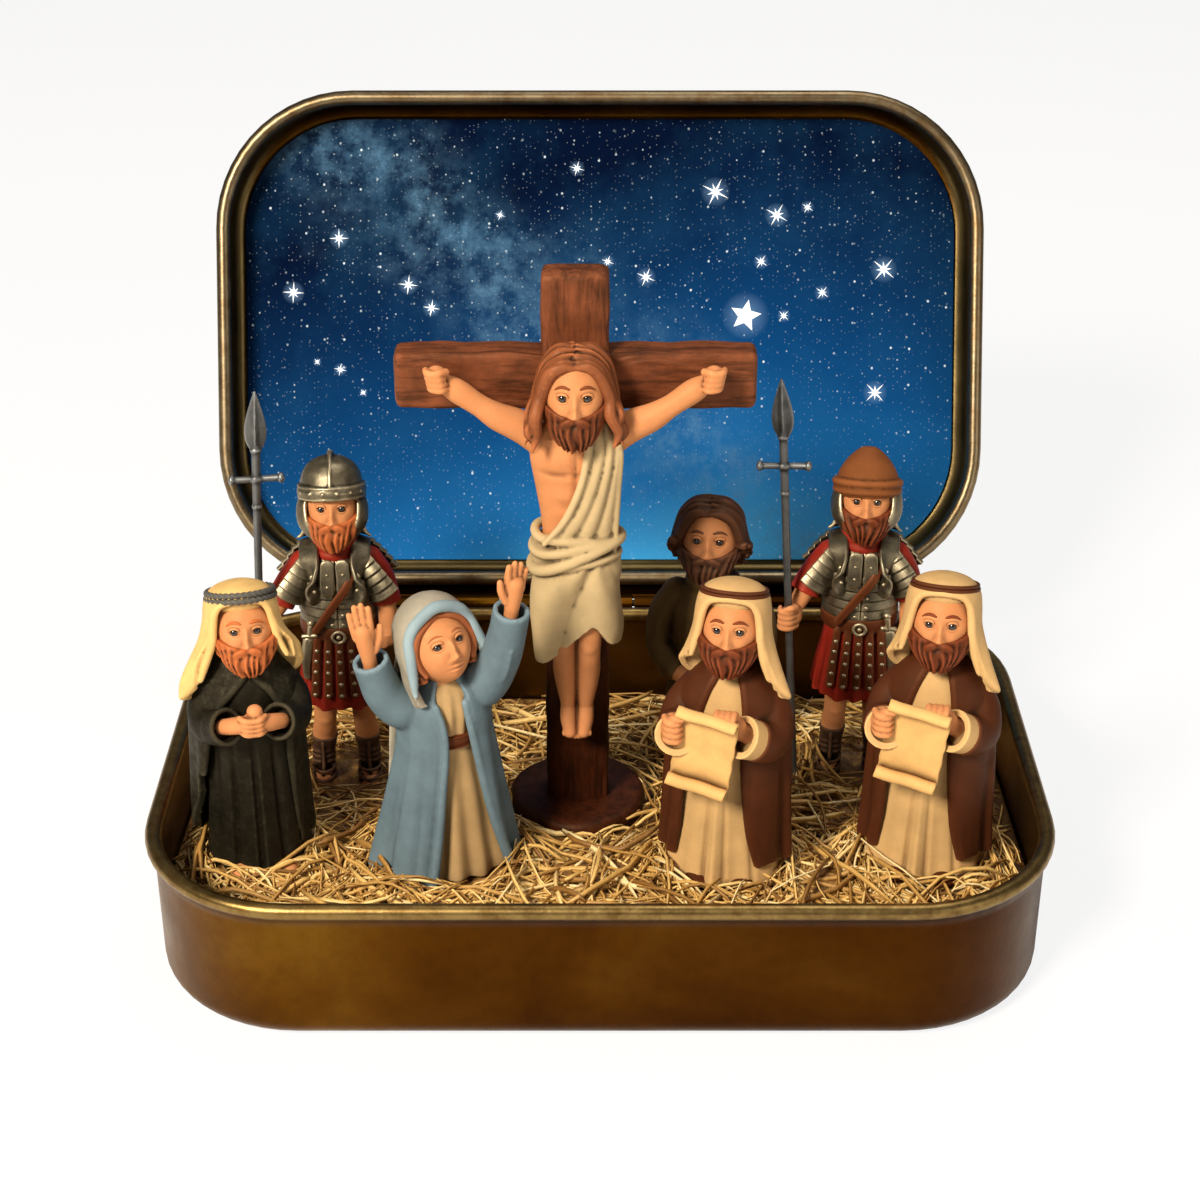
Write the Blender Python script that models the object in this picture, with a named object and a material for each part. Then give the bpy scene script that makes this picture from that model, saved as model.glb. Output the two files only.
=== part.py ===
"""Pocket nativity tin: a hinged tin whose open lid backs eight loose clay figures that stand on straw.

Sizes are in metres, +Z is up and -Y is the front. The origin is the middle of the underside of the tin.
Each figure is modelled about the middle of its own foot, and its pieces hang on an empty at that place.
"""

import bmesh
import bpy
import numpy as np

for old in list(bpy.data.objects):
    bpy.data.objects.remove(old, do_unlink=True)

# Gap between pieces that touch on the real object, and the length in which small forms of the figures are told
CLEARANCE = 0.0003
STEP = 0.0010

# Reach of a cut that goes right through a figure
OUTSIDE = 0.0200

# Tin: two pressed trays with a rolled bead, joined by a hinge along the back
TIN_WIDTH = 0.100
TIN_DEPTH = 0.065
BASE_HEIGHT = 0.018
CORNER_RADIUS = 0.0175
WALL = 0.0004
BEAD_RADIUS = 0.0009
BOTTOM_ROUND = 0.0025
LID_SETBACK = 0.001
LID_HEIGHT = 0.008
LID_OPENING = 114.0
CARD_THICKNESS = 0.0005
HINGE_LENGTH = 0.060
HINGE_KNUCKLES = 7
HINGE_REACH = 0.0012
HINGE_DROP = 0.0004
KNUCKLE_RADIUS = 0.0009
PIN_RADIUS = 0.00045
PIN_PLAY = 0.0001
PIN_END = 0.0004
LEAF_THICKNESS = 0.0005
BASE_LEAF_HEIGHT = 0.0095
LID_LEAF_HEIGHT = 0.0070

# Straw bed: its surface rises from the back to the front, with a mound round each figure
STRAW_FRONT = 0.0100
STRAW_BACK = 0.0050
STRAW_SLOPE = 0.7
STRAW_NEST = 0.0003
STRAW_CORE = 0.0015

# Where the figures stand: the foot told from the nearest side and the nearest long edge of the tin, its level,
# and the turn about +Z in degrees. The cross is told from the middle of the tin.
FRONT_LEVEL = 0.0110
BACK_LEVEL = 0.0060
CROSS_LEVEL = 0.0080
ELDER_INSET = (0.0118, 0.0207)
MARY_INSET = (0.0331, 0.0197)
SCRIBE_INSET = (0.0360, 0.0183)
READER_INSET = (0.0137, 0.0196)
SENTRY_INSET = (0.0193, 0.0215)
GUARD_INSET = (0.0192, 0.0197)
ONLOOKER_INSET = (0.0366, 0.0177)
CROSS_PLACE = (-0.0026, 0.0015)
ELDER_TURN = 12.0
MARY_TURN = 16.0
SCRIBE_TURN = -12.0
SENTRY_TURN = 4.0
GUARD_TURN = -6.0
ONLOOKER_TURN = -8.0

# Cross: two clay bars halved into each other on a round plinth
PLINTH_RADIUS = 0.0079
PLINTH_HEIGHT = 0.0026
UPRIGHT_WIDTH = 0.0072
BAR_DEPTH = 0.0040
CROSS_HEIGHT = 0.0675
BEAM_LENGTH = 0.0386
BEAM_WIDTH = 0.0064
BEAM_TOP = 0.0586
SOCKET_DEPTH = 0.0010
BAR_ROUNDING = 0.0005

# Crucified figure
CORPUS_CHEST = 0.0049
CORPUS_WAIST = 0.0036
CORPUS_DEPTH = 0.0021
CORPUS_HIP_LEVEL = 0.0370
CORPUS_SHOULDER_LEVEL = 0.0500
CORPUS_ARM = 0.0013
CORPUS_FIST_SPREAD = 0.0146
CORPUS_FIST_LEVEL = 0.0571
CORPUS_FIST = 0.0015
CORPUS_THIGH = 0.0017
CORPUS_ANKLE = 0.0011
CORPUS_FOOT_LEVEL = 0.0145
CORPUS_HEAD = (0.0036, 0.0035, 0.0048)
CORPUS_HEAD_LEVEL = 0.0560
CORPUS_HAIR = 0.0009
DRAPE_THICKNESS = 0.0009
DRAPE_HEM_LEFT = 0.0225
DRAPE_HEM_RIGHT = 0.0256
DRAPE_WIDTH = 0.0054

# Robed men: gown and cloak half widths, and the levels of waist, shoulder and neck
GOWN_HEM = 0.0062
GOWN_WAIST = 0.0046
GOWN_WAIST_LEVEL = 0.0170
GOWN_SHOULDER = 0.0044
GOWN_SHOULDER_LEVEL = 0.0220
GOWN_NECK = 0.0019
GOWN_HEIGHT = 0.0258
GOWN_FLATNESS = 0.84
CLOAK_HEM = 0.0073
CLOAK_WAIST = 0.0068
CLOAK_SHOULDER = 0.0060
CLOAK_RISE = 0.0016
CLOAK_THICKNESS = 0.0010
CLOAK_GAP_TOP = 0.0021
CLOAK_GAP_HEM = 0.0046
SLEEVE_RADIUS = 0.0019
CUFF_RADIUS = 0.0024
FIST_RADIUS = 0.0013
SHOE_LENGTH = 0.0022
SHOE_WIDTH = 0.0013
SHOE_HEIGHT = 0.0009
HEAD_SIZE = (0.0031, 0.0032, 0.0041)
HEAD_LEVEL = 0.0306
BEARD_DEPTH = 0.0009
NECK_RADIUS = 0.0016
SCARF_THICKNESS = 0.0008
SCARF_END_LEVEL = 0.0245
SCARF_SPREAD = 0.0050
BROW_RISE = 0.0027
CORD_WIDTH = 0.0015
CORD_THICKNESS = 0.0005

# Scroll held by two of the robed men
SCROLL_WIDTH = 0.0072
SCROLL_LENGTH = 0.0086
SCROLL_THICKNESS = 0.0005
SCROLL_ROLL = 0.0008
SCROLL_TILT = 7.0
SCROLL_TURN = 9.0
SCROLL_CENTRE = (-0.0016, -0.0068, 0.0193)

# Mother: dress, belt, mantle, veil and raised hands
DRESS_HEM = 0.0064
DRESS_WAIST = 0.0034
DRESS_WAIST_LEVEL = 0.0165
DRESS_SHOULDER = 0.0034
DRESS_SHOULDER_LEVEL = 0.0210
DRESS_NECK = 0.0014
DRESS_HEIGHT = 0.0236
BELT_WIDTH = 0.0016
BELT_THICKNESS = 0.0004
MANTLE_HEM = 0.0083
MANTLE_WAIST = 0.0053
MANTLE_SHOULDER = 0.0048
MANTLE_GAP_TOP = 0.0012
MANTLE_GAP_HEM = 0.0034
MARY_HEAD = (0.0033, 0.0034, 0.0043)
MARY_HEAD_LEVEL = 0.0284
MARY_HAIR = 0.0005
VEIL_THICKNESS = 0.0009
VEIL_SPREAD = 0.0054
PALM_SIZE = (0.0012, 0.0008, 0.0024)
WRIST_SEAT = 0.3

# Soldiers
LEG_SPREAD = 0.0020
LEG_RADIUS = 0.0014
FOOT_SIZE = (0.0014, 0.0026, 0.0011)
KILT_HEM = 0.0050
KILT_TOP = 0.0041
KILT_LEVEL = 0.0130
WAIST_LEVEL = 0.0210
CHEST_WIDTH = 0.0041
CHEST_LEVEL = 0.0278
CHEST_HEIGHT = 0.0318
CUIRASS_THICKNESS = 0.0008
BELT_HEIGHT = 0.0019
STRAP_WIDTH = 0.0011
STRAP_SPACING = 0.0020
STRAP_THICKNESS = 0.0005
PAULDRON_SIZE = (0.0020, 0.0024, 0.0017)
ARM_RADIUS = 0.0012
FIST_LEVEL = 0.0231
SOLDIER_HEAD = (0.0030, 0.0031, 0.0042)
SOLDIER_HEAD_LEVEL = 0.0372
HELMET_THICKNESS = 0.0008
BRIM_THICKNESS = 0.0008
SPEAR_LENGTH = 0.0533
SPEAR_RADIUS = 0.0005
SPEAR_FRONT = 0.0040
BLADE_LENGTH = 0.0065
BLADE_WIDTH = 0.0012
GUARD_LEVEL = 0.0426
GUARD_SPAN = 0.0029
SENTRY_SPEAR = (-0.0102, -0.0075)
GUARD_SPEAR = (-0.0068, -0.0103)

# Fineness of the mesh
BODY_SIDES = 14
LIMB_SIDES = 8
HEAD_SIDES = 12
HEAD_RINGS = 7
CORNER_STEPS = 5
FLAT_ANGLE = np.radians(1.5)

# Colour, roughness and metallic value of each finish
FINISHES = {
    "aged brass": ((0.23, 0.15, 0.055), 0.42, 1.0),
    "dark steel": ((0.10, 0.09, 0.075), 0.45, 1.0),
    "printed card": ((0.02, 0.09, 0.24), 0.45, 0.0),
    "straw": ((0.62, 0.42, 0.16), 0.8, 0.0),
    "wood brown clay": ((0.16, 0.055, 0.028), 0.6, 0.0),
    "skin clay": ((0.72, 0.42, 0.24), 0.55, 0.0),
    "brown hair clay": ((0.13, 0.045, 0.022), 0.55, 0.0),
    "cream clay": ((0.72, 0.58, 0.36), 0.65, 0.0),
    "sand clay": ((0.58, 0.42, 0.24), 0.65, 0.0),
    "blue clay": ((0.14, 0.25, 0.34), 0.65, 0.0),
    "charcoal clay": ((0.02, 0.02, 0.017), 0.55, 0.0),
    "rust brown clay": ((0.22, 0.085, 0.045), 0.6, 0.0),
    "olive brown clay": ((0.07, 0.052, 0.024), 0.65, 0.0),
    "red clay": ((0.28, 0.028, 0.018), 0.55, 0.0),
    "leather clay": ((0.10, 0.035, 0.018), 0.5, 0.0),
    "pewter": ((0.34, 0.32, 0.25), 0.35, 1.0),
    "parchment": ((0.74, 0.56, 0.29), 0.6, 0.0),
}


def finish(name):
    """The material of this name, made the first time that it is asked for."""
    material = bpy.data.materials.get(name)
    if material is None:
        colour, roughness, metallic = FINISHES[name]
        material = bpy.data.materials.new(name)
        material.use_nodes = True
        shader = material.node_tree.nodes["Principled BSDF"]
        shader.inputs["Base Color"].default_value = (*colour, 1.0)
        shader.inputs["Roughness"].default_value = roughness
        shader.inputs["Metallic"].default_value = metallic
    return material


# Closed skins: each form is a mesh that can be joined to others or cut by them


def skin(loops):
    """A closed mesh through a stack of loops of points, with a flat cap on both ends."""
    count, sides, _ = loops.shape
    index = np.arange(count * sides).reshape(count, sides)
    faces = [tuple(index[0][::-1]), tuple(index[-1])]
    for low, high in zip(index[:-1], index[1:]):
        after = np.roll(np.arange(sides), -1)
        faces += [(low[i], low[j], high[j], high[i]) for i, j in enumerate(after)]
    mesh = bpy.data.meshes.new("form")
    mesh.from_pydata(loops.reshape(-1, 3).tolist(), [], [[int(i) for i in face] for face in faces])
    shell = bmesh.new()
    shell.from_mesh(mesh)
    bmesh.ops.recalc_face_normals(shell, faces=shell.faces)
    bmesh.ops.triangulate(shell, faces=shell.faces)
    shell.to_mesh(mesh)
    shell.free()
    return mesh


def upright(levels, grow=0.0, sides=BODY_SIDES):
    """An upright form with oval sections: each level is (height, half width, half depth, forward, aside)."""
    rows = np.array([(*level, 0.0, 0.0)[:5] for level in levels])
    angle = np.linspace(0, 2 * np.pi, sides, endpoint=False)
    reach = np.linspace(-grow, grow, len(rows))[:, None]
    height, width, depth, forward, aside = (rows[:, [k]] for k in range(5))
    x = aside + (width + grow) * np.cos(angle)
    y = -forward + (depth + grow) * np.sin(angle)
    z = height + reach + 0 * angle
    return skin(np.stack([x, y, z], axis=2))


def ball(centre, radii, grow=0.0, sides=LIMB_SIDES, rings=6, lean=(0, 0, 0), bumps=()):
    """A rounded lump. Each bump is (direction, height, spread): a swelling of the surface at a direction."""
    latitude = np.radians(np.linspace(-78, 78, rings))[:, None]
    angle = np.linspace(0, 2 * np.pi, sides, endpoint=False) - np.pi / 2
    flat = np.cos(latitude)
    way = np.stack([flat * np.cos(angle), flat * np.sin(angle), np.sin(latitude) + 0 * angle], axis=2)
    swell = np.zeros(way.shape[:2])
    for direction, height, spread in bumps:
        target = np.array(direction) / np.linalg.norm(direction)
        swell += height * np.exp(-((np.arccos(np.clip(way @ target, -1, 1)) / spread) ** 2))
    points = way * (np.array(radii) + grow) + way * swell[:, :, None]
    return skin(points @ turn_matrix(*lean).T + np.array(centre))


def limb(path, radii, grow=0.0, sides=LIMB_SIDES, flatness=1.0):
    """A tapered round bar along a path; flatness scales its thickness against its width."""
    path = np.array(path, float)
    heading = np.gradient(path, axis=0)
    heading /= np.linalg.norm(heading, axis=1)[:, None]
    path[0] -= heading[0] * grow
    path[-1] += heading[-1] * grow
    across = [np.cross(heading[0], [0.0, 1.0, 0.001])]
    for way in heading:
        level = across[-1] - way * (across[-1] @ way)
        across.append(level / np.linalg.norm(level))
    across = np.array(across[1:])
    over = np.cross(heading, across)
    angle = np.linspace(0, 2 * np.pi, sides, endpoint=False)
    radii = (np.array(radii) + 0 * path[:, 0])[:, None, None]
    wide = (radii + grow) * np.cos(angle)[None, :, None] * across[:, None, :]
    thick = (radii * flatness + grow) * np.sin(angle)[None, :, None] * over[:, None, :]
    return skin(path[:, None, :] + wide + thick)


def block(low, high):
    """A box between two corners."""
    (x0, y0, z0), (x1, y1, z1) = low, high
    loop = [(x0, y0), (x1, y0), (x1, y1), (x0, y1)]
    return skin(np.array([[(x, y, z) for x, y in loop] for z in (z0, z1)]))


def prism(outline, front, back):
    """A plate between two y values. Its outline of (x, z) points runs counter-clockwise seen from the front."""
    return skin(np.array([[(x, y, z) for x, z in outline] for y in (front, back)]))


def turn_matrix(x=0.0, y=0.0, z=0.0):
    """Turns by degrees about X, then Y, then Z."""
    a, b, c = np.radians([x, y, z])
    about_x = np.array([[1, 0, 0], [0, np.cos(a), -np.sin(a)], [0, np.sin(a), np.cos(a)]])
    about_y = np.array([[np.cos(b), 0, np.sin(b)], [0, 1, 0], [-np.sin(b), 0, np.cos(b)]])
    about_z = np.array([[np.cos(c), -np.sin(c), 0], [np.sin(c), np.cos(c), 0], [0, 0, 1]])
    return about_z @ about_y @ about_x


def moved(mesh, matrix=None, offset=(0, 0, 0)):
    """The mesh turned by the matrix and then shifted."""
    points = np.empty(len(mesh.vertices) * 3)
    mesh.vertices.foreach_get("co", points)
    points = points.reshape(-1, 3)
    if matrix is not None:
        points = points @ matrix.T
    mesh.vertices.foreach_set("co", (points + np.array(offset)).ravel())
    mesh.update()
    return mesh


def shaped(operation, mesh, others):
    """The mesh after a Boolean operation with each of the others, and without the chips that it cut loose."""
    if not others:
        return mesh
    work = bpy.data.objects.new("work", mesh)
    bpy.context.scene.collection.objects.link(work)
    tools = []
    for other in others:
        tool = bpy.data.objects.new("tool", other)
        bpy.context.scene.collection.objects.link(tool)
        tools.append(tool)
        change = work.modifiers.new("change", "BOOLEAN")
        change.operation = operation
        change.solver = "EXACT"
        change.object = tool
    bpy.context.view_layer.update()
    result = bpy.data.meshes.new_from_object(work.evaluated_get(bpy.context.evaluated_depsgraph_get()))
    for used in [work, *tools]:
        bpy.data.objects.remove(used, do_unlink=True)
    return main_body(result)


def main_body(mesh):
    """The mesh with only its largest connected body, and with flat areas drawn again in few triangles."""
    shell = bmesh.new()
    shell.from_mesh(mesh)
    bmesh.ops.remove_doubles(shell, verts=shell.verts, dist=1e-7)
    unseen = set(shell.verts)
    bodies = []
    while unseen:
        reached = [unseen.pop()]
        for vert in reached:
            linked = {edge.other_vert(vert) for edge in vert.link_edges} & unseen
            unseen -= linked
            reached += linked
        bodies.append(reached)
    largest = max(bodies, key=span)
    chips = [vert for body in bodies if body is not largest for vert in body]
    bmesh.ops.delete(shell, geom=chips, context="VERTS")
    bmesh.ops.dissolve_limit(shell, angle_limit=FLAT_ANGLE, verts=shell.verts, edges=shell.edges)
    bmesh.ops.triangulate(shell, faces=shell.faces)
    shell.to_mesh(mesh)
    shell.free()
    return mesh


def span(verts):
    """The diagonal of the box round these points."""
    points = np.array([vert.co for vert in verts])
    return float(np.linalg.norm(points.max(axis=0) - points.min(axis=0)))


def joined(forms):
    """The forms as one body."""
    return shaped("UNION", forms[0], forms[1:])


def cut(mesh, *groups):
    """The mesh with every form of the groups taken out of it."""
    return shaped("DIFFERENCE", mesh, [form for group in groups for form in group])


def piece(name, mesh, finish_name, parent):
    """A named object of the finished assembly."""
    mesh.name = name
    mesh.materials.clear()
    mesh.materials.append(finish(finish_name))
    mesh.shade_smooth()
    mesh.set_sharp_from_angle(angle=np.radians(40))
    part = bpy.data.objects.new(name, mesh)
    bpy.context.scene.collection.objects.link(part)
    part.parent = parent
    return part


def stand(name, place, level, turn=0.0):
    """The empty that a figure's pieces hang on, at the middle of its foot."""
    empty = bpy.data.objects.new(name, None)
    bpy.context.scene.collection.objects.link(empty)
    empty.location = (*place, level)
    empty.rotation_euler.z = np.radians(turn)
    return empty


# Tin


def rounded_rectangle(half_width, half_depth, radius, height):
    """One loop round a rectangle with round corners, counter-clockwise from above."""
    points = []
    for quarter, (side, end) in enumerate(((1, 1), (-1, 1), (-1, -1), (1, -1))):
        angle = np.radians(90 * quarter + np.linspace(0, 90, CORNER_STEPS + 1))
        x = side * (half_width - radius) + radius * np.cos(angle)
        y = end * (half_depth - radius) + radius * np.sin(angle)
        points.append(np.stack([x, y, height + 0 * x], axis=1))
    return np.concatenate(points)


def tray(width, depth, height):
    """A pressed tray from its outer bottom, up the wall, round the bead and down to the inner floor."""
    bend = np.radians([0, 30, 60, 90])
    inner_round = BOTTOM_ROUND - WALL
    bead_end = 2 * np.pi - np.arccos(-WALL / BEAD_RADIUS)
    bead = np.linspace(-np.pi / 2, bead_end, 9)
    inset = np.concatenate([
        BEAD_RADIUS + BOTTOM_ROUND * (1 - np.sin(bend)),
        BEAD_RADIUS * (1 - np.cos(bead)),
        BEAD_RADIUS + BOTTOM_ROUND - inner_round * np.sin(bend[::-1]),
    ])
    rise = np.concatenate([
        BOTTOM_ROUND * (1 - np.cos(bend)),
        height - BEAD_RADIUS * (1 - np.sin(bead)),
        BOTTOM_ROUND - inner_round * np.cos(bend[::-1]),
    ])
    loops = [
        rounded_rectangle(width / 2 - drawn, depth / 2 - drawn, CORNER_RADIUS - drawn, z)
        for drawn, z in zip(inset, rise)
    ]
    return skin(np.array(loops))


HINGE_Y = TIN_DEPTH / 2 + HINGE_REACH
HINGE_Z = BASE_HEIGHT - HINGE_DROP
LID_WIDTH = TIN_WIDTH - 2 * LID_SETBACK
LID_DEPTH = TIN_DEPTH - 2 * LID_SETBACK
LID_RIM = BASE_HEIGHT + CLEARANCE - HINGE_Z


def leaf(route, own_knuckles):
    """A hinge leaf: a bent strip with knuckles that alternate with the other leaf's, bored for the pin."""
    strip = []
    route = np.array(route)
    heading = np.gradient(route, axis=0)
    side = np.stack([-heading[:, 1], heading[:, 0]], axis=1)
    side *= LEAF_THICKNESS / 2 / np.linalg.norm(side, axis=1)[:, None]
    outline = np.concatenate([route + side, (route - side)[::-1]])
    for x in (-HINGE_LENGTH / 2, HINGE_LENGTH / 2):
        strip.append([(x, y, z) for y, z in outline])
    ends = [(-HINGE_LENGTH / 2, 0, 0), (HINGE_LENGTH / 2, 0, 0)]
    body = joined([skin(np.array(strip)), limb(ends, KNUCKLE_RADIUS, sides=14)])
    length = HINGE_LENGTH / HINGE_KNUCKLES
    reach = KNUCKLE_RADIUS + CLEARANCE
    bore = [(-HINGE_LENGTH, 0, 0), (HINGE_LENGTH, 0, 0)]
    windows = [limb(bore, PIN_RADIUS + PIN_PLAY, sides=14)]
    for k in range(HINGE_KNUCKLES):
        if k not in own_knuckles:
            start = -HINGE_LENGTH / 2 + k * length - CLEARANCE / 2
            windows.append(block((start, -reach, -reach), (start + length + CLEARANCE, reach, reach)))
    return cut(body, windows)


def straw_level(x, y):
    """Height of the straw: a slope from front to back, raised in a mound round the foot of each figure."""
    along = (y + TIN_DEPTH / 2) / TIN_DEPTH
    level = STRAW_FRONT + (STRAW_BACK - STRAW_FRONT) * along
    for place, foot, radius in FOOTPRINTS:
        away = np.hypot(x - place[0], y - place[1]) - radius
        level = np.maximum(level, foot + STRAW_NEST - STRAW_SLOPE * np.maximum(away, 0))
    return level


def inside(side, end, inset):
    """The place told from the side and the long edge of the tin; -1 and 1 choose which of the two."""
    return side * (TIN_WIDTH / 2 - inset[0]), end * (TIN_DEPTH / 2 - inset[1])


ELDER_PLACE = inside(-1, -1, ELDER_INSET)
MARY_PLACE = inside(-1, -1, MARY_INSET)
SCRIBE_PLACE = inside(1, -1, SCRIBE_INSET)
READER_PLACE = inside(1, -1, READER_INSET)
SENTRY_PLACE = inside(-1, 1, SENTRY_INSET)
GUARD_PLACE = inside(1, 1, GUARD_INSET)
ONLOOKER_PLACE = inside(1, 1, ONLOOKER_INSET)


def beside(place, turn, spear):
    """Where the foot of a soldier's spear stands."""
    offset = turn_matrix(z=turn) @ np.array([spear[0], -SPEAR_FRONT, 0.0])
    return place[0] + offset[0], place[1] + offset[1]


FOOTPRINTS = (
    (ELDER_PLACE, FRONT_LEVEL, GOWN_HEM),
    (MARY_PLACE, FRONT_LEVEL, MANTLE_HEM),
    (SCRIBE_PLACE, FRONT_LEVEL, CLOAK_HEM),
    (READER_PLACE, FRONT_LEVEL, CLOAK_HEM),
    (SENTRY_PLACE, BACK_LEVEL, KILT_HEM),
    (GUARD_PLACE, BACK_LEVEL, KILT_HEM),
    (ONLOOKER_PLACE, BACK_LEVEL, GOWN_HEM),
    (CROSS_PLACE, CROSS_LEVEL, PLINTH_RADIUS),
    (beside(SENTRY_PLACE, SENTRY_TURN, SENTRY_SPEAR), BACK_LEVEL, 2 * SPEAR_RADIUS),
    (beside(GUARD_PLACE, GUARD_TURN, GUARD_SPEAR), BACK_LEVEL, 2 * SPEAR_RADIUS),
)


def straw_bed():
    """Straw that fills the floor of the base, with a flat seat under each figure."""
    edge = BEAD_RADIUS + WALL + CLEARANCE
    floor = WALL + CLEARANCE
    middle = TIN_DEPTH / 2 - STRAW_CORE
    insets = [edge + BOTTOM_ROUND, edge, *np.linspace(edge, middle, 8)]
    loops = []
    for k, inset in enumerate(insets):
        loop = rounded_rectangle(
            TIN_WIDTH / 2 - inset, TIN_DEPTH / 2 - inset, max(CORNER_RADIUS - inset, 2 * CLEARANCE), floor
        )
        if k == 1:
            loop[:, 2] = BOTTOM_ROUND
        if k > 1:
            loop[:, 2] = straw_level(loop[:, 0], loop[:, 1])
        loops.append(loop)
    seats = []
    for (x, y), foot, radius in FOOTPRINTS:
        low = foot - CLEARANCE
        levels = [(low, radius + CLEARANCE, radius + CLEARANCE, -y, x)]
        seats.append(upright([*levels, (BASE_HEIGHT, *levels[0][1:])]))
    return cut(skin(np.array(loops)), seats)


def tin():
    """The base, the lid in its opened place, the card in the lid, the hinge and the straw."""
    base = stand("base", (0, 0), 0)
    piece("base_tin", tray(TIN_WIDTH, TIN_DEPTH, BASE_HEIGHT), "aged brass", base)
    piece("straw_bed", straw_bed(), "straw", base)

    hinge = stand("hinge", (0, HINGE_Y), HINGE_Z)
    wall_line = -HINGE_REACH - BEAD_RADIUS + CLEARANCE + LEAF_THICKNESS / 2
    bead_line = -HINGE_REACH + CLEARANCE + LEAF_THICKNESS / 2
    under_bead = HINGE_DROP - 2 * BEAD_RADIUS
    route = [
        (wall_line, -BASE_LEAF_HEIGHT),
        (wall_line, under_bead - 2 * BEAD_RADIUS),
        (bead_line, under_bead - LEAF_THICKNESS / 2),
        (bead_line / 2, -KNUCKLE_RADIUS / 2),
    ]
    piece("base_hinge_leaf", leaf(route, range(0, HINGE_KNUCKLES, 2)), "aged brass", hinge)
    length = HINGE_LENGTH / 2 + PIN_END
    piece("hinge_pin", limb([(-length, 0, 0), (length, 0, 0)], PIN_RADIUS, sides=12), "dark steel", hinge)

    lid = stand("lid", (0, HINGE_Y), HINGE_Z)
    lid.rotation_euler.x = -np.radians(LID_OPENING)
    over = (0, -HINGE_Y, LID_RIM + LID_HEIGHT)
    shell = moved(tray(LID_WIDTH, LID_DEPTH, LID_HEIGHT), np.diag([1, 1, -1]), over)
    shell.flip_normals()
    piece("lid_tin", shell, "aged brass", lid)
    over_bead = LID_RIM + 2 * BEAD_RADIUS
    route = [
        (wall_line - LID_SETBACK, LID_RIM + LID_LEAF_HEIGHT),
        (wall_line - LID_SETBACK, over_bead + 2 * BEAD_RADIUS),
        (bead_line - LID_SETBACK, over_bead + LEAF_THICKNESS),
        (bead_line / 2, KNUCKLE_RADIUS / 2),
    ]
    piece("lid_hinge_leaf", leaf(route, range(1, HINGE_KNUCKLES, 2)), "aged brass", lid)

    edge = BEAD_RADIUS + WALL + CLEARANCE
    rise = LID_RIM + LID_HEIGHT - WALL - CLEARANCE
    half = (LID_WIDTH / 2 - edge - BOTTOM_ROUND / 2, LID_DEPTH / 2 - edge - BOTTOM_ROUND / 2)
    corner = CORNER_RADIUS - edge - BOTTOM_ROUND / 2
    loops = [rounded_rectangle(*half, corner, z) for z in (rise - CARD_THICKNESS, rise)]
    piece("sky_card", moved(skin(np.array(loops)), offset=(0, -HINGE_Y, 0)), "printed card", lid)


# Cross and crucified figure


def bar(low, high):
    """A squared clay bar with softened edges."""
    mesh = block(low, high)
    shell = bmesh.new()
    shell.from_mesh(mesh)
    bmesh.ops.bevel(shell, geom=shell.edges[:], offset=BAR_ROUNDING, segments=1, affect="EDGES")
    shell.to_mesh(mesh)
    shell.free()
    return mesh


def cross_bars(grow=0.0):
    """The two bars whole, before they are halved into each other."""
    half, deep = UPRIGHT_WIDTH / 2 + grow, BAR_DEPTH / 2 + grow
    foot = PLINTH_HEIGHT - SOCKET_DEPTH - grow
    reach, beam_low = BEAM_LENGTH / 2 + grow, BEAM_TOP - BEAM_WIDTH - grow
    return [
        bar((-half, -deep, foot), (half, deep, CROSS_HEIGHT + grow)),
        bar((-reach, -deep, beam_low), (reach, deep, BEAM_TOP + grow)),
    ]


CORPUS_Y = -BAR_DEPTH / 2 - CLEARANCE - CORPUS_DEPTH


def corpus_torso(grow=0.0):
    """Trunk from the hips to the shoulders."""
    forward = -CORPUS_Y
    middle = (CORPUS_HIP_LEVEL + CORPUS_SHOULDER_LEVEL) / 2
    return upright(
        [
            (CORPUS_HIP_LEVEL - 2 * STEP, CORPUS_WAIST * 0.8, CORPUS_DEPTH * 0.8, forward),
            (CORPUS_HIP_LEVEL + 1 * STEP, CORPUS_WAIST, CORPUS_DEPTH, forward),
            (middle, CORPUS_WAIST + 0.4 * STEP, CORPUS_DEPTH, forward),
            (CORPUS_SHOULDER_LEVEL - 3 * STEP, CORPUS_CHEST, CORPUS_DEPTH, forward),
            (CORPUS_SHOULDER_LEVEL, CORPUS_CHEST, CORPUS_DEPTH * 0.9, forward),
            (CORPUS_SHOULDER_LEVEL + 2 * STEP, CORPUS_CHEST * 0.5, CORPUS_DEPTH * 0.6, forward),
        ],
        grow,
    )


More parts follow.
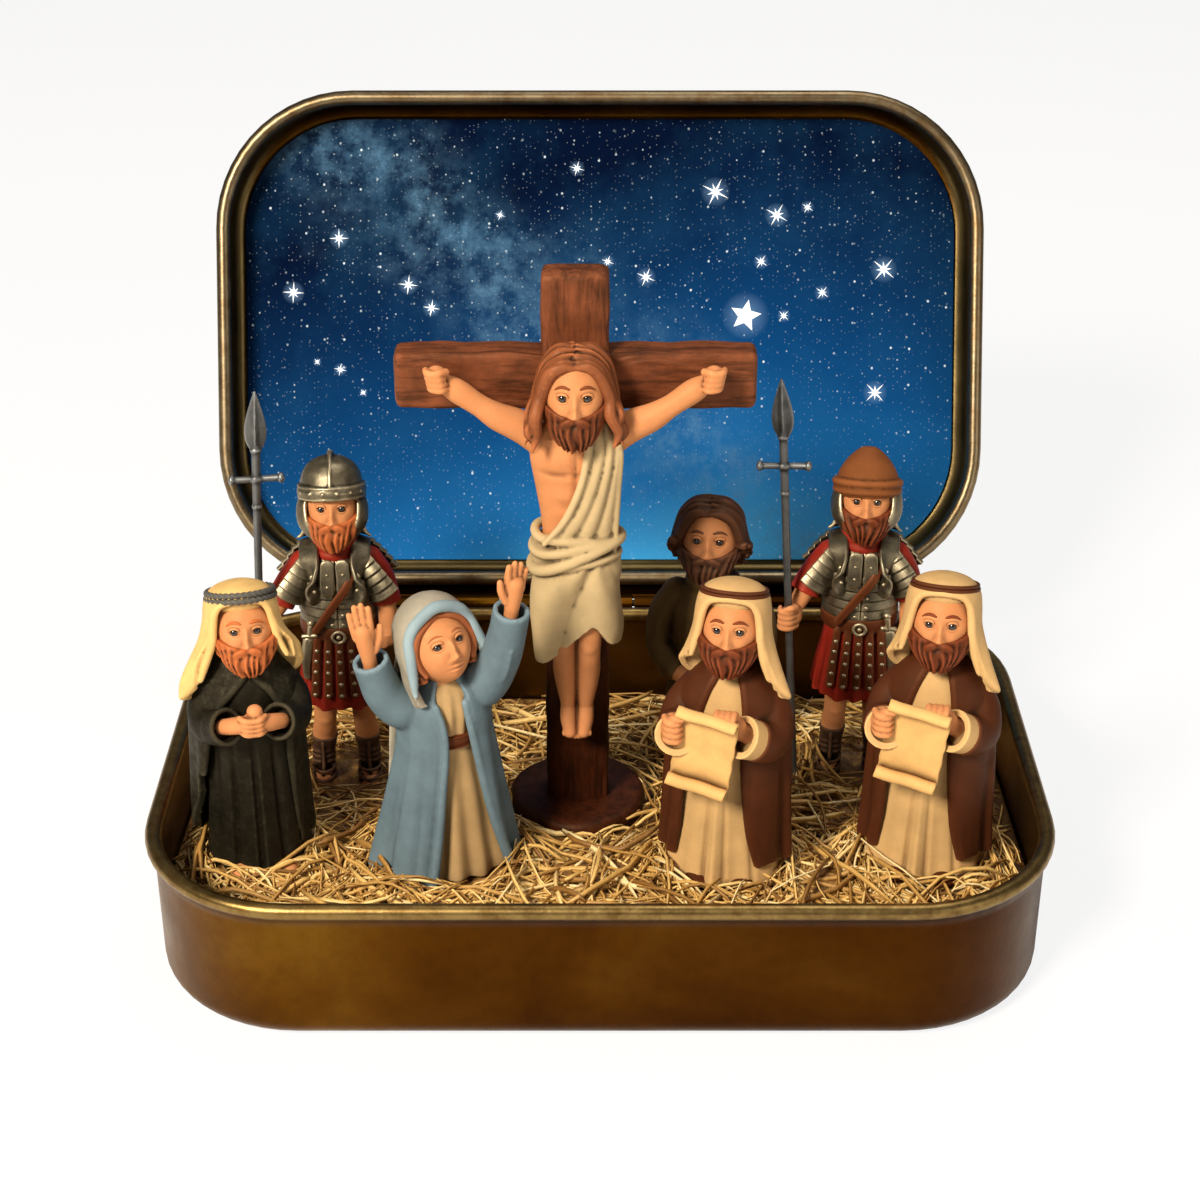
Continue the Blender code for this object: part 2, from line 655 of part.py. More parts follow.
def corpus_limbs(grow=0.0):
    """Arms to the fists, and legs to the feet."""
    forms = []
    shoulder = CORPUS_SHOULDER_LEVEL - CORPUS_ARM
    for side in (-1, 1):
        fist = (side * CORPUS_FIST_SPREAD, CORPUS_Y, CORPUS_FIST_LEVEL)
        middle = (shoulder + CORPUS_FIST_LEVEL) / 2
        elbow = (side * (CORPUS_FIST_SPREAD + CORPUS_CHEST) / 2, CORPUS_Y, middle - 0.6 * STEP)
        arm = [(side * CORPUS_CHEST * 0.6, CORPUS_Y, shoulder - 0.4 * STEP), elbow, fist]
        forms.append(limb(arm, [CORPUS_ARM * 1.25, CORPUS_ARM, CORPUS_ARM * 0.75], grow))
        forms.append(ball(fist, (CORPUS_FIST, CORPUS_FIST, CORPUS_FIST * 1.1), grow))
        apart = side * (CORPUS_THIGH - 0.1 * STEP)
        knee = (apart, CORPUS_Y - 0.6 * STEP, (CORPUS_HIP_LEVEL + CORPUS_FOOT_LEVEL) / 2)
        ankle = (side * CORPUS_ANKLE, CORPUS_Y, CORPUS_FOOT_LEVEL)
        leg = [(apart, CORPUS_Y, CORPUS_HIP_LEVEL), knee, ankle]
        forms.append(limb(leg, [CORPUS_THIGH * 1.1, CORPUS_THIGH * 0.85, CORPUS_ANKLE], grow))
        foot = (side * CORPUS_ANKLE, CORPUS_Y - 0.8 * STEP, CORPUS_FOOT_LEVEL - 0.3 * STEP)
        forms.append(ball(foot, (CORPUS_ANKLE, 1.7 * STEP, 0.9 * STEP), grow))
    return forms


def corpus_head(grow=0.0):
    """Head with its beard, and the neck that seats it on the shoulders."""
    y = -BAR_DEPTH / 2 - 2 * CLEARANCE - CORPUS_HEAD[1]
    beard = ((0, -0.8, -1.0), BEARD_DEPTH * 1.3, 0.7)
    head = ball((0, y, CORPUS_HEAD_LEVEL), CORPUS_HEAD, grow, HEAD_SIDES, HEAD_RINGS, bumps=(beard, NOSE))
    neck = [(0, CORPUS_Y, CORPUS_SHOULDER_LEVEL + 2 * STEP + CLEARANCE), (0, y, CORPUS_HEAD_LEVEL)]
    return [head, limb(neck, NECK_RADIUS, grow)]


NOSE = ((0, -1, -0.12), 0.5 * STEP, 0.2)


def corpus_hair(grow=0.0):
    """Long hair that falls from the crown to the shoulders."""
    wide, deep, tall = (size + CLEARANCE + CORPUS_HAIR for size in CORPUS_HEAD)
    forward = BAR_DEPTH / 2 + 2 * CLEARANCE + CORPUS_HEAD[1]
    top = CORPUS_HEAD_LEVEL + tall
    return [
        upright(
            [
                (CORPUS_SHOULDER_LEVEL - 0.5 * STEP, wide + 0.5 * STEP, deep * 0.5, forward - 1.6 * STEP),
                (CORPUS_HEAD_LEVEL - 3.5 * STEP, wide + 0.5 * STEP, deep * 0.8, forward - 0.8 * STEP),
                (CORPUS_HEAD_LEVEL, wide, deep, forward),
                (CORPUS_HEAD_LEVEL + tall * 0.55, wide * 0.86, deep * 0.88, forward),
                (CORPUS_HEAD_LEVEL + tall * 0.86, wide * 0.52, deep * 0.55, forward),
                (top, wide * 0.2, deep * 0.2, forward),
            ],
            grow,
        )
    ]


def face_window(half, low, high, front, back):
    """The space left open in front of a face: narrower at the top than at the bottom."""
    outline = [(-half, low), (half, low), (half * 0.95, high - half * 0.6), (half * 0.45, high)]
    outline += [(-half * 0.45, high), (-half * 0.95, high - half * 0.6)]
    return prism(outline, front, back)


def drape():
    """Cloth wrapped round the hips and carried over one shoulder."""
    forward = -CORPUS_Y
    deep = CORPUS_DEPTH + CLEARANCE + DRAPE_THICKNESS
    waist = CORPUS_HIP_LEVEL + 3.5 * STEP
    low = DRAPE_HEM_LEFT - 1 * STEP
    wrap = upright(
        [
            (low, DRAPE_WIDTH * 0.94, deep, forward),
            (DRAPE_HEM_RIGHT + 4 * STEP, DRAPE_WIDTH, deep + 0.2 * STEP, forward),
            (waist - 3.5 * STEP, DRAPE_WIDTH, deep + 0.3 * STEP, forward),
            (waist - 1 * STEP, DRAPE_WIDTH * 0.97, deep + 0.3 * STEP, forward),
            (waist, CORPUS_WAIST + CLEARANCE, deep - DRAPE_THICKNESS / 2, forward),
        ]
    )
    high, deepest = DRAPE_HEM_RIGHT + 4.4 * STEP, DRAPE_HEM_LEFT - 4.4 * STEP
    slant = prism([(-OUTSIDE, 0), (OUTSIDE, 0), (OUTSIDE, high), (-OUTSIDE, deepest)], -OUTSIDE, OUTSIDE)
    hollow = upright(
        [
            (low - 1 * STEP, DRAPE_WIDTH * 0.94 - DRAPE_THICKNESS, deep - DRAPE_THICKNESS, forward),
            (waist - 5 * STEP, DRAPE_WIDTH - DRAPE_THICKNESS, deep - DRAPE_THICKNESS, forward),
        ]
    )
    over = corpus_torso(CLEARANCE + DRAPE_THICKNESS)
    reach = CORPUS_CHEST + 3 * STEP
    sash = [
        (-CORPUS_WAIST, waist - 3 * STEP),
        (reach, waist - 3 * STEP),
        (reach, CORPUS_SHOULDER_LEVEL + 4 * STEP),
        (CORPUS_CHEST * 0.42, CORPUS_SHOULDER_LEVEL + 4 * STEP),
        (CORPUS_CHEST * 0.34, CORPUS_SHOULDER_LEVEL - 4 * STEP),
        (-CORPUS_WAIST * 0.1, waist + 2.2 * STEP),
        (-CORPUS_WAIST, waist - 0.5 * STEP),
    ]
    over = shaped("INTERSECT", over, [prism(sash, -OUTSIDE, OUTSIDE)])
    return joined([cut(wrap, [slant, hollow]), over])


def crucifix():
    """Plinth, halved bars, and the figure fixed to them."""
    place = stand("crucifix", CROSS_PLACE, CROSS_LEVEL)
    edge = 0.4 * STEP
    rim = PLINTH_RADIUS - edge
    plinth = upright(
        [(0, rim, rim), (edge, PLINTH_RADIUS, PLINTH_RADIUS),
         (PLINTH_HEIGHT - edge, PLINTH_RADIUS, PLINTH_RADIUS),
         (PLINTH_HEIGHT, rim, rim)],
        sides=24,
    )
    piece("cross_plinth", cut(plinth, cross_bars(CLEARANCE)[:1]), "wood brown clay", place)
    mast, beam = cross_bars()
    beam_low = BEAM_TOP - BEAM_WIDTH
    wide = UPRIGHT_WIDTH / 2 + CLEARANCE
    half_gap = CLEARANCE / 2
    front_half = block(
        (-wide, -BAR_DEPTH, beam_low - CLEARANCE), (wide, half_gap, BEAM_TOP + CLEARANCE)
    )
    back_half = block((-wide, -half_gap, 0), (wide, BAR_DEPTH, CROSS_HEIGHT))
    piece("cross_upright", cut(mast, [front_half]), "wood brown clay", place)
    piece("cross_beam", cut(beam, [back_half]), "wood brown clay", place)
    body = joined([corpus_torso(), *corpus_limbs()])
    piece("corpus_body", cut(body, cross_bars(CLEARANCE)), "skin clay", place)
    head = cut(joined(corpus_head()), [corpus_torso(CLEARANCE)], cross_bars(CLEARANCE))
    piece("corpus_head", head, "skin clay", place)
    brow = CORPUS_HEAD_LEVEL + CORPUS_HEAD[2] * 0.62
    chin = CORPUS_SHOULDER_LEVEL - 4 * STEP
    window = face_window(CORPUS_HEAD[0] * 0.86, chin, brow, -OUTSIDE, -6.2 * STEP)
    hair = cut(
        corpus_hair()[0], corpus_head(CLEARANCE), [corpus_torso(CLEARANCE)], corpus_limbs(CLEARANCE),
        cross_bars(CLEARANCE), [window],
    )
    piece("corpus_hair", hair, "brown hair clay", place)
    cloth = cut(
        drape(), [corpus_torso(CLEARANCE)], corpus_limbs(CLEARANCE),
        corpus_head(CLEARANCE), corpus_hair(CLEARANCE),
        cross_bars(CLEARANCE),
    )
    piece("corpus_drape", cloth, "cream clay", place)


# Robed figures


def gown_levels(hem, waist, waist_level, shoulder, shoulder_level, neck, height, rise=0.3 * STEP):
    """Levels of a gown that narrows to the waist, runs up to the shoulders and rounds over to the neck."""
    levels = []
    for t in (0, 0.3, 0.65):
        levels.append((rise + (waist_level - rise) * t, waist + (hem - waist) * (1 - t) ** 1.4))
    levels.append((waist_level, waist))
    for degrees in (0, 35, 65, 90):
        a = np.radians(degrees)
        level = shoulder_level + (height - shoulder_level) * np.sin(a)
        levels.append((level, neck + (shoulder - neck) * np.cos(a)))
    return [(z, width, width * GOWN_FLATNESS) for z, width in levels]


def gown(grow=0.0, hem=GOWN_HEM):
    """The under gown of the robed men."""
    return [
        upright(
            gown_levels(
                hem, GOWN_WAIST, GOWN_WAIST_LEVEL, GOWN_SHOULDER, GOWN_SHOULDER_LEVEL, GOWN_NECK, GOWN_HEIGHT
            ),
            grow,
        )
    ]


def wrap(outer, inner_inset, gap_top, gap_hem, neck_level):
    """A coat open at the front: a form hollowed by its own shape drawn in, with a slit that widens downwards."""
    shell = upright(outer)
    inner = [(z, w - inner_inset, d - inner_inset) for z, w, d in outer[:-2]]
    low = outer[0][0] - 2 * STEP
    inner[0] = (low, *inner[0][1:])
    slit = [(-gap_hem, low), (gap_hem, low), (gap_top, neck_level), (-gap_top, neck_level)]
    return cut(shell, [upright(inner), prism(slit, -OUTSIDE, -0.8 * STEP)])


def cloak_levels(thickness=0.0):
    """Outer levels of the robed men's cloak."""
    top = GOWN_HEIGHT - CLEARANCE
    return gown_levels(
        CLOAK_HEM, CLOAK_WAIST, GOWN_WAIST_LEVEL, CLOAK_SHOULDER, GOWN_SHOULDER_LEVEL,
        GOWN_NECK + CLEARANCE + CLOAK_THICKNESS + thickness, top, CLOAK_RISE,
    )


def head_forms(
    grow=0.0, size=HEAD_SIZE, level=HEAD_LEVEL, neck_level=GOWN_HEIGHT, beard=BEARD_DEPTH, lean=(0, 0, 0)
):
    """A head with its nose and beard, and the neck that seats it on the shoulders."""
    bumps = (NOSE, ((0, -0.75, -0.85), beard, 0.62))
    forms = [ball((0, 0, level), size, grow, HEAD_SIDES, HEAD_RINGS, lean, bumps)]
    forms.append(limb([(0, 0, neck_level + CLEARANCE), (0, 0, level)], NECK_RADIUS, grow))
    return forms


def scarf_form(grow=0.0):
    """The headscarf as a whole form, before the face is opened: a crown that spreads to the shoulders."""
    wide, deep, tall = (size + CLEARANCE + SCARF_THICKNESS for size in HEAD_SIZE)
    return [
        upright(
            [
                (SCARF_END_LEVEL, SCARF_SPREAD, SCARF_SPREAD * 0.86, -0.4 * STEP),
                (SCARF_END_LEVEL + 3 * STEP, (SCARF_SPREAD + wide) / 2, deep, -0.2 * STEP),
                (HEAD_LEVEL, wide, deep),
                (HEAD_LEVEL + tall * 0.55, wide * 0.9, deep * 0.9),
                (HEAD_LEVEL + tall * 0.86, wide * 0.58, deep * 0.58),
                (HEAD_LEVEL + tall, wide * 0.2, deep * 0.2),
            ],
            grow,
        )
    ]


def scarf(*around):
    """The headscarf cut open over the face and fitted round the head and what is below it."""
    low, high = SCARF_END_LEVEL - 2 * STEP, HEAD_LEVEL + BROW_RISE
    window = face_window(HEAD_SIZE[0] * 0.88, low, high, -OUTSIDE, -0.6 * STEP)
    return cut(scarf_form()[0], head_forms(CLEARANCE), [window], *around)


def scroll_forms(grow=0.0):
    """A sheet of parchment with a roll at its upper and lower edge, tilted as it is held."""
    half, tall, thick = SCROLL_WIDTH / 2 + grow, SCROLL_LENGTH / 2, SCROLL_THICKNESS / 2 + grow
    tilt = turn_matrix(y=SCROLL_TILT, z=-SCROLL_TURN)
    forms = [moved(block((-half, -thick, -tall), (half, thick, tall)), tilt, SCROLL_CENTRE)]
    for end in (-1, 1):
        reach = SCROLL_WIDTH / 2 + 0.1 * STEP
        ends = [(-reach, 0, end * tall), (reach, 0, end * tall)]
        forms.append(moved(limb(ends, SCROLL_ROLL, grow), tilt, SCROLL_CENTRE))
    return forms


def scroll_hands(grow=0.0):
    """Two fists that grip the sides of the scroll, with the wrists that meet behind it."""
    spread = SCROLL_WIDTH / 2 + 0.1 * STEP
    tilt = turn_matrix(y=SCROLL_TILT, z=-SCROLL_TURN)
    forms = []
    for side in (-1, 1):
        centre = tilt @ np.array([side * spread, -0.1 * STEP, SCROLL_LENGTH * 0.26]) + np.array(SCROLL_CENTRE)
        forms.append(ball(centre, (FIST_RADIUS, FIST_RADIUS, FIST_RADIUS * 1.08), grow))
        inner = centre + np.array([0, FIST_RADIUS * 0.95, 0])
        meeting = (SCROLL_CENTRE[0], inner[1] + 0.1 * STEP, inner[2])
        forms.append(limb([inner, meeting], FIST_RADIUS * 0.5, grow, 8))
    return forms


def sleeve(side, cuff, grow=0.0, radius=SLEEVE_RADIUS, mouth=CUFF_RADIUS, elbow=None):
    """A wide sleeve from the shoulder, round the elbow to the cuff."""
    shoulder = (side * (CLOAK_SHOULDER - radius * 0.75), 0.2 * STEP, GOWN_SHOULDER_LEVEL + 0.4 * STEP)
    elbow = elbow or (side * CLOAK_WAIST * 0.86, -1.6 * STEP, GOWN_WAIST_LEVEL + 1.8 * STEP)
    return limb([shoulder, elbow, cuff], [radius, radius * 1.12, mouth], grow)


def shoes(apart, forward):
    """The tips of two shoes that show under the hem of a gown."""
    size = (SHOE_WIDTH, SHOE_LENGTH, SHOE_HEIGHT)
    return [ball((side * apart, -forward, SHOE_HEIGHT), size) for side in (-1, 1)]


def scroll_man(name, place_name, place):
    """A robed man who holds out a scroll."""
    spot = stand(name, place_name, FRONT_LEVEL, place)
    piece(name + "_gown", joined([*gown(), *shoes(2.4 * STEP, GOWN_HEM * 0.74)]), "sand clay", spot)
    cuffs = ((-5.2 * STEP, -5.1 * STEP, 20.7 * STEP), (4 * STEP, -5.1 * STEP, 19.4 * STEP))
    sleeves = [sleeve(side, cuff) for side, cuff in zip((-1, 1), cuffs)]
    coat = wrap(cloak_levels(), CLOAK_THICKNESS, CLOAK_GAP_TOP, CLOAK_GAP_HEM, GOWN_HEIGHT + 1 * STEP)
    coat = joined([coat, *sleeves])
    coat = cut(coat, gown(CLEARANCE), scroll_hands(CLEARANCE), scroll_forms(CLEARANCE), head_forms(CLEARANCE))
    piece(name + "_cloak", coat, "rust brown clay", spot)
    piece(name + "_head", cut(joined(head_forms()), gown(CLEARANCE)), "skin clay", spot)
    outer = [upright(cloak_levels(), CLEARANCE)]
    piece(name + "_headscarf", scarf(outer, gown(CLEARANCE)), "cream clay", spot)
    hands = cut(joined(scroll_hands()), scroll_forms(CLEARANCE), gown(CLEARANCE))
    piece(name + "_hands", hands, "skin clay", spot)
    piece(name + "_scroll", joined(scroll_forms()), "parchment", spot)


def elder():
    """A man in a dark robe and cape, with a headscarf held by a cord and his hands clasped."""
    spot = stand("elder", ELDER_PLACE, FRONT_LEVEL, ELDER_TURN)
    cuffs = [(side * 1.8 * STEP, -5.2 * STEP, 20.7 * STEP) for side in (-1, 1)]
    elbows = [(side * 4.6 * STEP, -2.6 * STEP, 18.3 * STEP) for side in (-1, 1)]
    sleeves = [
        sleeve(side, cuff, radius=SLEEVE_RADIUS * 0.8, mouth=CUFF_RADIUS * 0.85, elbow=elbow)
        for side, cuff, elbow in zip((-1, 1), cuffs, elbows)
    ]
    sleeves_grown = [
        sleeve(side, cuff, CLEARANCE, SLEEVE_RADIUS * 0.8, CUFF_RADIUS * 0.85, elbow)
        for side, cuff, elbow in zip((-1, 1), cuffs, elbows)
    ]
    feet = shoes(2.2 * STEP, GOWN_HEM * 0.7)
    robe = cut(joined([*gown(), *sleeves, *feet]), clasped_hands(CLEARANCE))
    piece("elder_robe", robe, "charcoal clay", spot)
    top = GOWN_SHOULDER_LEVEL + 2.4 * STEP
    cape = wrap(cloak_levels(), CLOAK_THICKNESS, CLOAK_GAP_TOP, CLOAK_GAP_HEM, top)
    cape = cut(cape, gown(CLEARANCE), sleeves_grown, head_forms(CLEARANCE))
    piece("elder_cape", cape, "charcoal clay", spot)
    piece("elder_head", cut(joined(head_forms()), gown(CLEARANCE)), "skin clay", spot)
    outer = [upright(cloak_levels(), CLEARANCE)]
    piece("elder_headscarf", scarf(outer, gown(CLEARANCE)), "cream clay", spot)
    level = HEAD_LEVEL + BROW_RISE
    wide, deep = (size + CLEARANCE * 2 + SCARF_THICKNESS + CORD_THICKNESS for size in HEAD_SIZE[:2])
    cord = upright(
        [
            (level - CORD_WIDTH / 2, wide * 0.93, deep * 0.93),
            (level, wide * 0.94, deep * 0.94),
            (level + CORD_WIDTH / 2, wide * 0.84, deep * 0.84),
        ]
    )
    piece("elder_head_cord", cut(cord, scarf_form(CLEARANCE), head_forms(CLEARANCE)), "charcoal clay", spot)
    piece("elder_hands", joined(clasped_hands()), "skin clay", spot)


def clasped_hands(grow=0.0):
    """Two hands folded over each other in front of the chest."""
    y, z = -6.7 * STEP, 21 * STEP
    return [
        ball((-0.9 * STEP, y, z), (1.9 * STEP, 1.1 * STEP, 1.2 * STEP), grow),
        ball((1.2 * STEP, y, z - 0.1 * STEP), (1.7 * STEP, 1.2 * STEP, 1.2 * STEP), grow),
        ball((0.1 * STEP, y - 0.4 * STEP, z + 1.3 * STEP), (1.1 * STEP, 1.1 * STEP, 1.1 * STEP), grow),
    ]


def onlooker():
    """A bare-headed man in a plain robe, who stands at the back."""
    spot = stand("onlooker", ONLOOKER_PLACE, BACK_LEVEL, ONLOOKER_TURN)
    arms = [
        limb(
            [
                (side * 4.6 * STEP, 0, GOWN_SHOULDER_LEVEL),
                (side * 5.6 * STEP, -0.8 * STEP, GOWN_WAIST_LEVEL),
                (side * 2.6 * STEP, -3.6 * STEP, GOWN_WAIST_LEVEL - 0.8 * STEP),
            ],
            [SLEEVE_RADIUS * 0.9, SLEEVE_RADIUS * 0.9, SLEEVE_RADIUS * 0.8],
        )
        for side in (-1, 1)
    ]
    piece("onlooker_robe", joined([*gown(), *arms]), "olive brown clay", spot)
    piece("onlooker_head", cut(joined(head_forms()), gown(CLEARANCE)), "skin clay", spot)
    brow = HEAD_LEVEL + BROW_RISE
    window = face_window(HEAD_SIZE[0] * 0.86, HEAD_LEVEL - 8 * STEP, brow, -OUTSIDE, -1 * STEP)
    floor = block((-10 * STEP, -10 * STEP, 0), (10 * STEP, 10 * STEP, GOWN_HEIGHT + 0.6 * STEP))
    hair = cut(scarf_form()[0], head_forms(CLEARANCE), [window, floor])
    piece("onlooker_hair", hair, "brown hair clay", spot)


# Mother with raised hands


def dress(grow=0.0):
    """The dress under the mantle."""
    return upright(
        gown_levels(
            DRESS_HEM, DRESS_WAIST, DRESS_WAIST_LEVEL,
            DRESS_SHOULDER, DRESS_SHOULDER_LEVEL, DRESS_NECK, DRESS_HEIGHT,
        ),
        grow,
    )


def belt_band(grow=0.0):
    """The belt as a solid band round the waist of the dress."""
    wide = DRESS_WAIST + CLEARANCE + BELT_THICKNESS
    low = DRESS_WAIST_LEVEL - BELT_WIDTH / 2
    return upright([(low, wide, wide * GOWN_FLATNESS), (low + BELT_WIDTH, wide, wide * GOWN_FLATNESS)], grow)


RIGHT_CUFF = (-7.8 * STEP, -0.6 * STEP, 27.2 * STEP)
LEFT_CUFF = (6.2 * STEP, -3.6 * STEP, 32.2 * STEP)
RIGHT_PALM = (-8.5 * STEP, -0.8 * STEP, 31.6 * STEP)
LEFT_PALM = (6.9 * STEP, -3.8 * STEP, 35.9 * STEP)


def raised_sleeves(grow=0.0):
    """The two wide sleeves of the raised arms."""
    right = [(-3 * STEP, 0, 20.4 * STEP), (-5.7 * STEP, -0.4 * STEP, 22.2 * STEP), RIGHT_CUFF]
    left = [(2.8 * STEP, -0.2 * STEP, 21 * STEP), (5.4 * STEP, -2 * STEP, 25.6 * STEP), LEFT_CUFF]
    return [limb(path, [2.2 * STEP, 2.1 * STEP, 1.8 * STEP], grow) for path in (right, left)]


def palm(centre, cuff, lean, thumb, grow=0.0):
    """An open hand with its thumb apart, and the wrist that is seated in the sleeve."""
    centre = np.array(centre)
    cuff = np.array(cuff)
    matrix = turn_matrix(*lean)
    root = centre + matrix @ np.array([thumb * 0.4 * STEP, 0, -1.2 * STEP])
    tip = centre + matrix @ np.array([thumb * 1.9 * STEP, 0, 1 * STEP])
    return [
        ball(centre, PALM_SIZE, grow, lean=lean),
        limb([root, tip], [0.6 * STEP, 0.5 * STEP], grow, 8),
        limb([cuff + (cuff - centre) * WRIST_SEAT, centre], [1 * STEP, 0.8 * STEP], grow, 8),
    ]


def palms(grow=0.0):
    """The right and the left hand."""
    right = palm(RIGHT_PALM, RIGHT_CUFF, (0, -14, 0), 1, grow)
    return [right, palm(LEFT_PALM, LEFT_CUFF, (0, 12, 0), -1, grow)]


def veil_form(grow=0.0):
    """The veil as a whole form, with its tail down the back."""
    wide, deep, tall = (size + 2 * CLEARANCE + MARY_HAIR + VEIL_THICKNESS for size in MARY_HEAD)
    return [
        upright(
            [
                (DRESS_SHOULDER_LEVEL + 0.6 * STEP, wide * 0.85, deep * 0.8, -1.2 * STEP),
                (MARY_HEAD_LEVEL - 3 * STEP, VEIL_SPREAD, deep, -0.4 * STEP),
                (MARY_HEAD_LEVEL, VEIL_SPREAD, deep),
                (MARY_HEAD_LEVEL + tall * 0.55, wide * 0.88, deep * 0.88),
                (MARY_HEAD_LEVEL + tall * 0.86, wide * 0.56, deep * 0.56),
                (MARY_HEAD_LEVEL + tall, wide * 0.2, deep * 0.2),
            ],
            grow,
        )
    ]


def mary():
    """The mother, who looks up with both arms raised."""
    spot = stand("mary", MARY_PLACE, FRONT_LEVEL, MARY_TURN)
    piece("mary_dress", dress(), "sand clay", spot)
    piece("mary_belt", cut(belt_band(), [dress(CLEARANCE)]), "leather clay", spot)
    levels = gown_levels(
        MANTLE_HEM, MANTLE_WAIST, DRESS_WAIST_LEVEL, MANTLE_SHOULDER, DRESS_SHOULDER_LEVEL,
        DRESS_NECK + CLEARANCE + CLOAK_THICKNESS, DRESS_HEIGHT - CLEARANCE,
    )
    head = head_forms
    sizes = {"size": MARY_HEAD, "level": MARY_HEAD_LEVEL, "neck_level": DRESS_HEIGHT, "beard": 0.0}
    sizes["lean"] = (-12, 0, 0)
    right, left = palms()
    right_grown, left_grown = palms(CLEARANCE)
    mantle = wrap(levels, CLOAK_THICKNESS, MANTLE_GAP_TOP, MANTLE_GAP_HEM, DRESS_HEIGHT + 1 * STEP)
    mantle = joined([mantle, *raised_sleeves()])
    under = [dress(CLEARANCE), belt_band(CLEARANCE)]
    mantle = cut(mantle, under, head(CLEARANCE, **sizes), right_grown, left_grown)
    piece("mary_mantle", mantle, "blue clay", spot)
    piece("mary_head", cut(joined(head(**sizes)), [dress(CLEARANCE)]), "skin clay", spot)
    crown = tuple(size + CLEARANCE + MARY_HAIR for size in MARY_HEAD)
    brow = MARY_HEAD_LEVEL + MARY_HEAD[2] * 0.5
    window = face_window(MARY_HEAD[0] * 0.9, DRESS_SHOULDER_LEVEL, brow, -OUTSIDE, 0.0)
    below = block((-10 * STEP, -10 * STEP, 0), (10 * STEP, 10 * STEP, MARY_HEAD_LEVEL))
    whole = ball((0, 0, MARY_HEAD_LEVEL), crown, 0, HEAD_SIDES, HEAD_RINGS, (-12, 0, 0))
    piece("mary_hair", cut(whole, head(CLEARANCE, **sizes), [window, below]), "brown hair clay", spot)
    opening = face_window(MARY_HEAD[0] * 0.98, 18 * STEP, brow + 1.2 * STEP, -OUTSIDE, -0.4 * STEP)
    hair_grown = ball((0, 0, MARY_HEAD_LEVEL), crown, CLEARANCE, HEAD_SIDES, HEAD_RINGS, (-12, 0, 0))
    mantle_grown = upright(levels, CLEARANCE)
    veil = cut(
        veil_form()[0], head(CLEARANCE, **sizes), [hair_grown, mantle_grown, opening], raised_sleeves(CLEARANCE)
    )
    piece("mary_veil", veil, "cream clay", spot)
    piece("mary_right_hand", joined(right), "skin clay", spot)
    piece("mary_left_hand", joined(left), "skin clay", spot)


# Soldiers


def legs(grow=0.0):
    """Bare legs and sandalled feet, joined at the hips under the kilt."""
    forms = [ball((0, 0, KILT_LEVEL + 5 * STEP), (LEG_SPREAD + 1 * STEP, 2.2 * STEP, 1.9 * STEP), grow)]
    for side in (-1, 1):
        x = side * LEG_SPREAD
        knee, ankle = (x, -0.2 * STEP, KILT_LEVEL * 0.65), (x * 1.05, 0.2 * STEP, 1.2 * STEP)
        path = [(x * 0.85, 0, KILT_LEVEL + 4 * STEP), knee, ankle]
        forms.append(limb(path, [LEG_RADIUS * 1.1, LEG_RADIUS, LEG_RADIUS * 0.95], grow))
        forms.append(ball((x * 1.15, -1.4 * STEP, FOOT_SIZE[2] * 0.98), FOOT_SIZE, grow, rings=5))
    return forms


def kilt(grow=0.0):
    """The skirt of the tunic, from the waist to above the knees."""
    middle = (KILT_HEM + KILT_TOP) / 2
    return [
        upright(
            [
                (KILT_LEVEL, KILT_HEM, KILT_HEM * GOWN_FLATNESS),
                ((KILT_LEVEL + WAIST_LEVEL) / 2, middle + 0.1 * STEP, middle * GOWN_FLATNESS),
                (WAIST_LEVEL, KILT_TOP, KILT_TOP * GOWN_FLATNESS),
            ],
            grow,
        )
    ]


def chest(grow=0.0, extra=0.0, low=None, high=None):
    """The trunk from the belt to the neck, or with extra thickness the plate over it."""
    low = WAIST_LEVEL + CLEARANCE if low is None else low
    high = CHEST_HEIGHT if high is None else high
    slope = (high - CHEST_LEVEL) * 0.6 + CHEST_LEVEL
    return upright(
        [
            (low, CHEST_WIDTH * 0.9 + extra, CHEST_WIDTH * 0.7 + extra),
            (CHEST_LEVEL, CHEST_WIDTH + extra, CHEST_WIDTH * 0.76 + extra),
            (slope, CHEST_WIDTH * 0.9 + extra, CHEST_WIDTH * 0.66 + extra),
            (high, CHEST_WIDTH * 0.5 + extra * 0.8, CHEST_WIDTH * 0.46 + extra * 0.8),
        ],
        grow,
    )


def spear_line(spear):
    """The foot and the tip of a spear that leans from one side place to the other."""
    foot, tip = spear
    return np.array([foot, -SPEAR_FRONT, 0.0]), np.array([tip, -SPEAR_FRONT, SPEAR_LENGTH])


def at_level(spear, level):
    """The point of the spear's axis at this level."""
    foot, tip = spear_line(spear)
    return foot + (tip - foot) * level / SPEAR_LENGTH


def spear_forms(spear, grow=0.0):
    """Shaft, cross guard, collar and leaf blade."""
    blade = SPEAR_LENGTH - BLADE_LENGTH
    shaft = limb([at_level(spear, 0), at_level(spear, blade + 1 * STEP)], SPEAR_RADIUS, grow, 8)
    levels = [blade, blade + 1.2 * STEP, blade + BLADE_LENGTH * 0.4, SPEAR_LENGTH - 0.4 * STEP]
    widths = [SPEAR_RADIUS * 1.4, BLADE_WIDTH * 0.8, BLADE_WIDTH, 0.2 * STEP]
    leaf_blade = limb([at_level(spear, level) for level in levels], widths, grow, 8, flatness=0.55)
    middle = at_level(spear, GUARD_LEVEL)
    reach = np.array([GUARD_SPAN, 0, 0])
    guard = limb([middle - reach, middle, middle + reach], [0.6 * STEP, 0.45 * STEP, 0.6 * STEP], grow, 8)
    return [shaft, leaf_blade, guard]


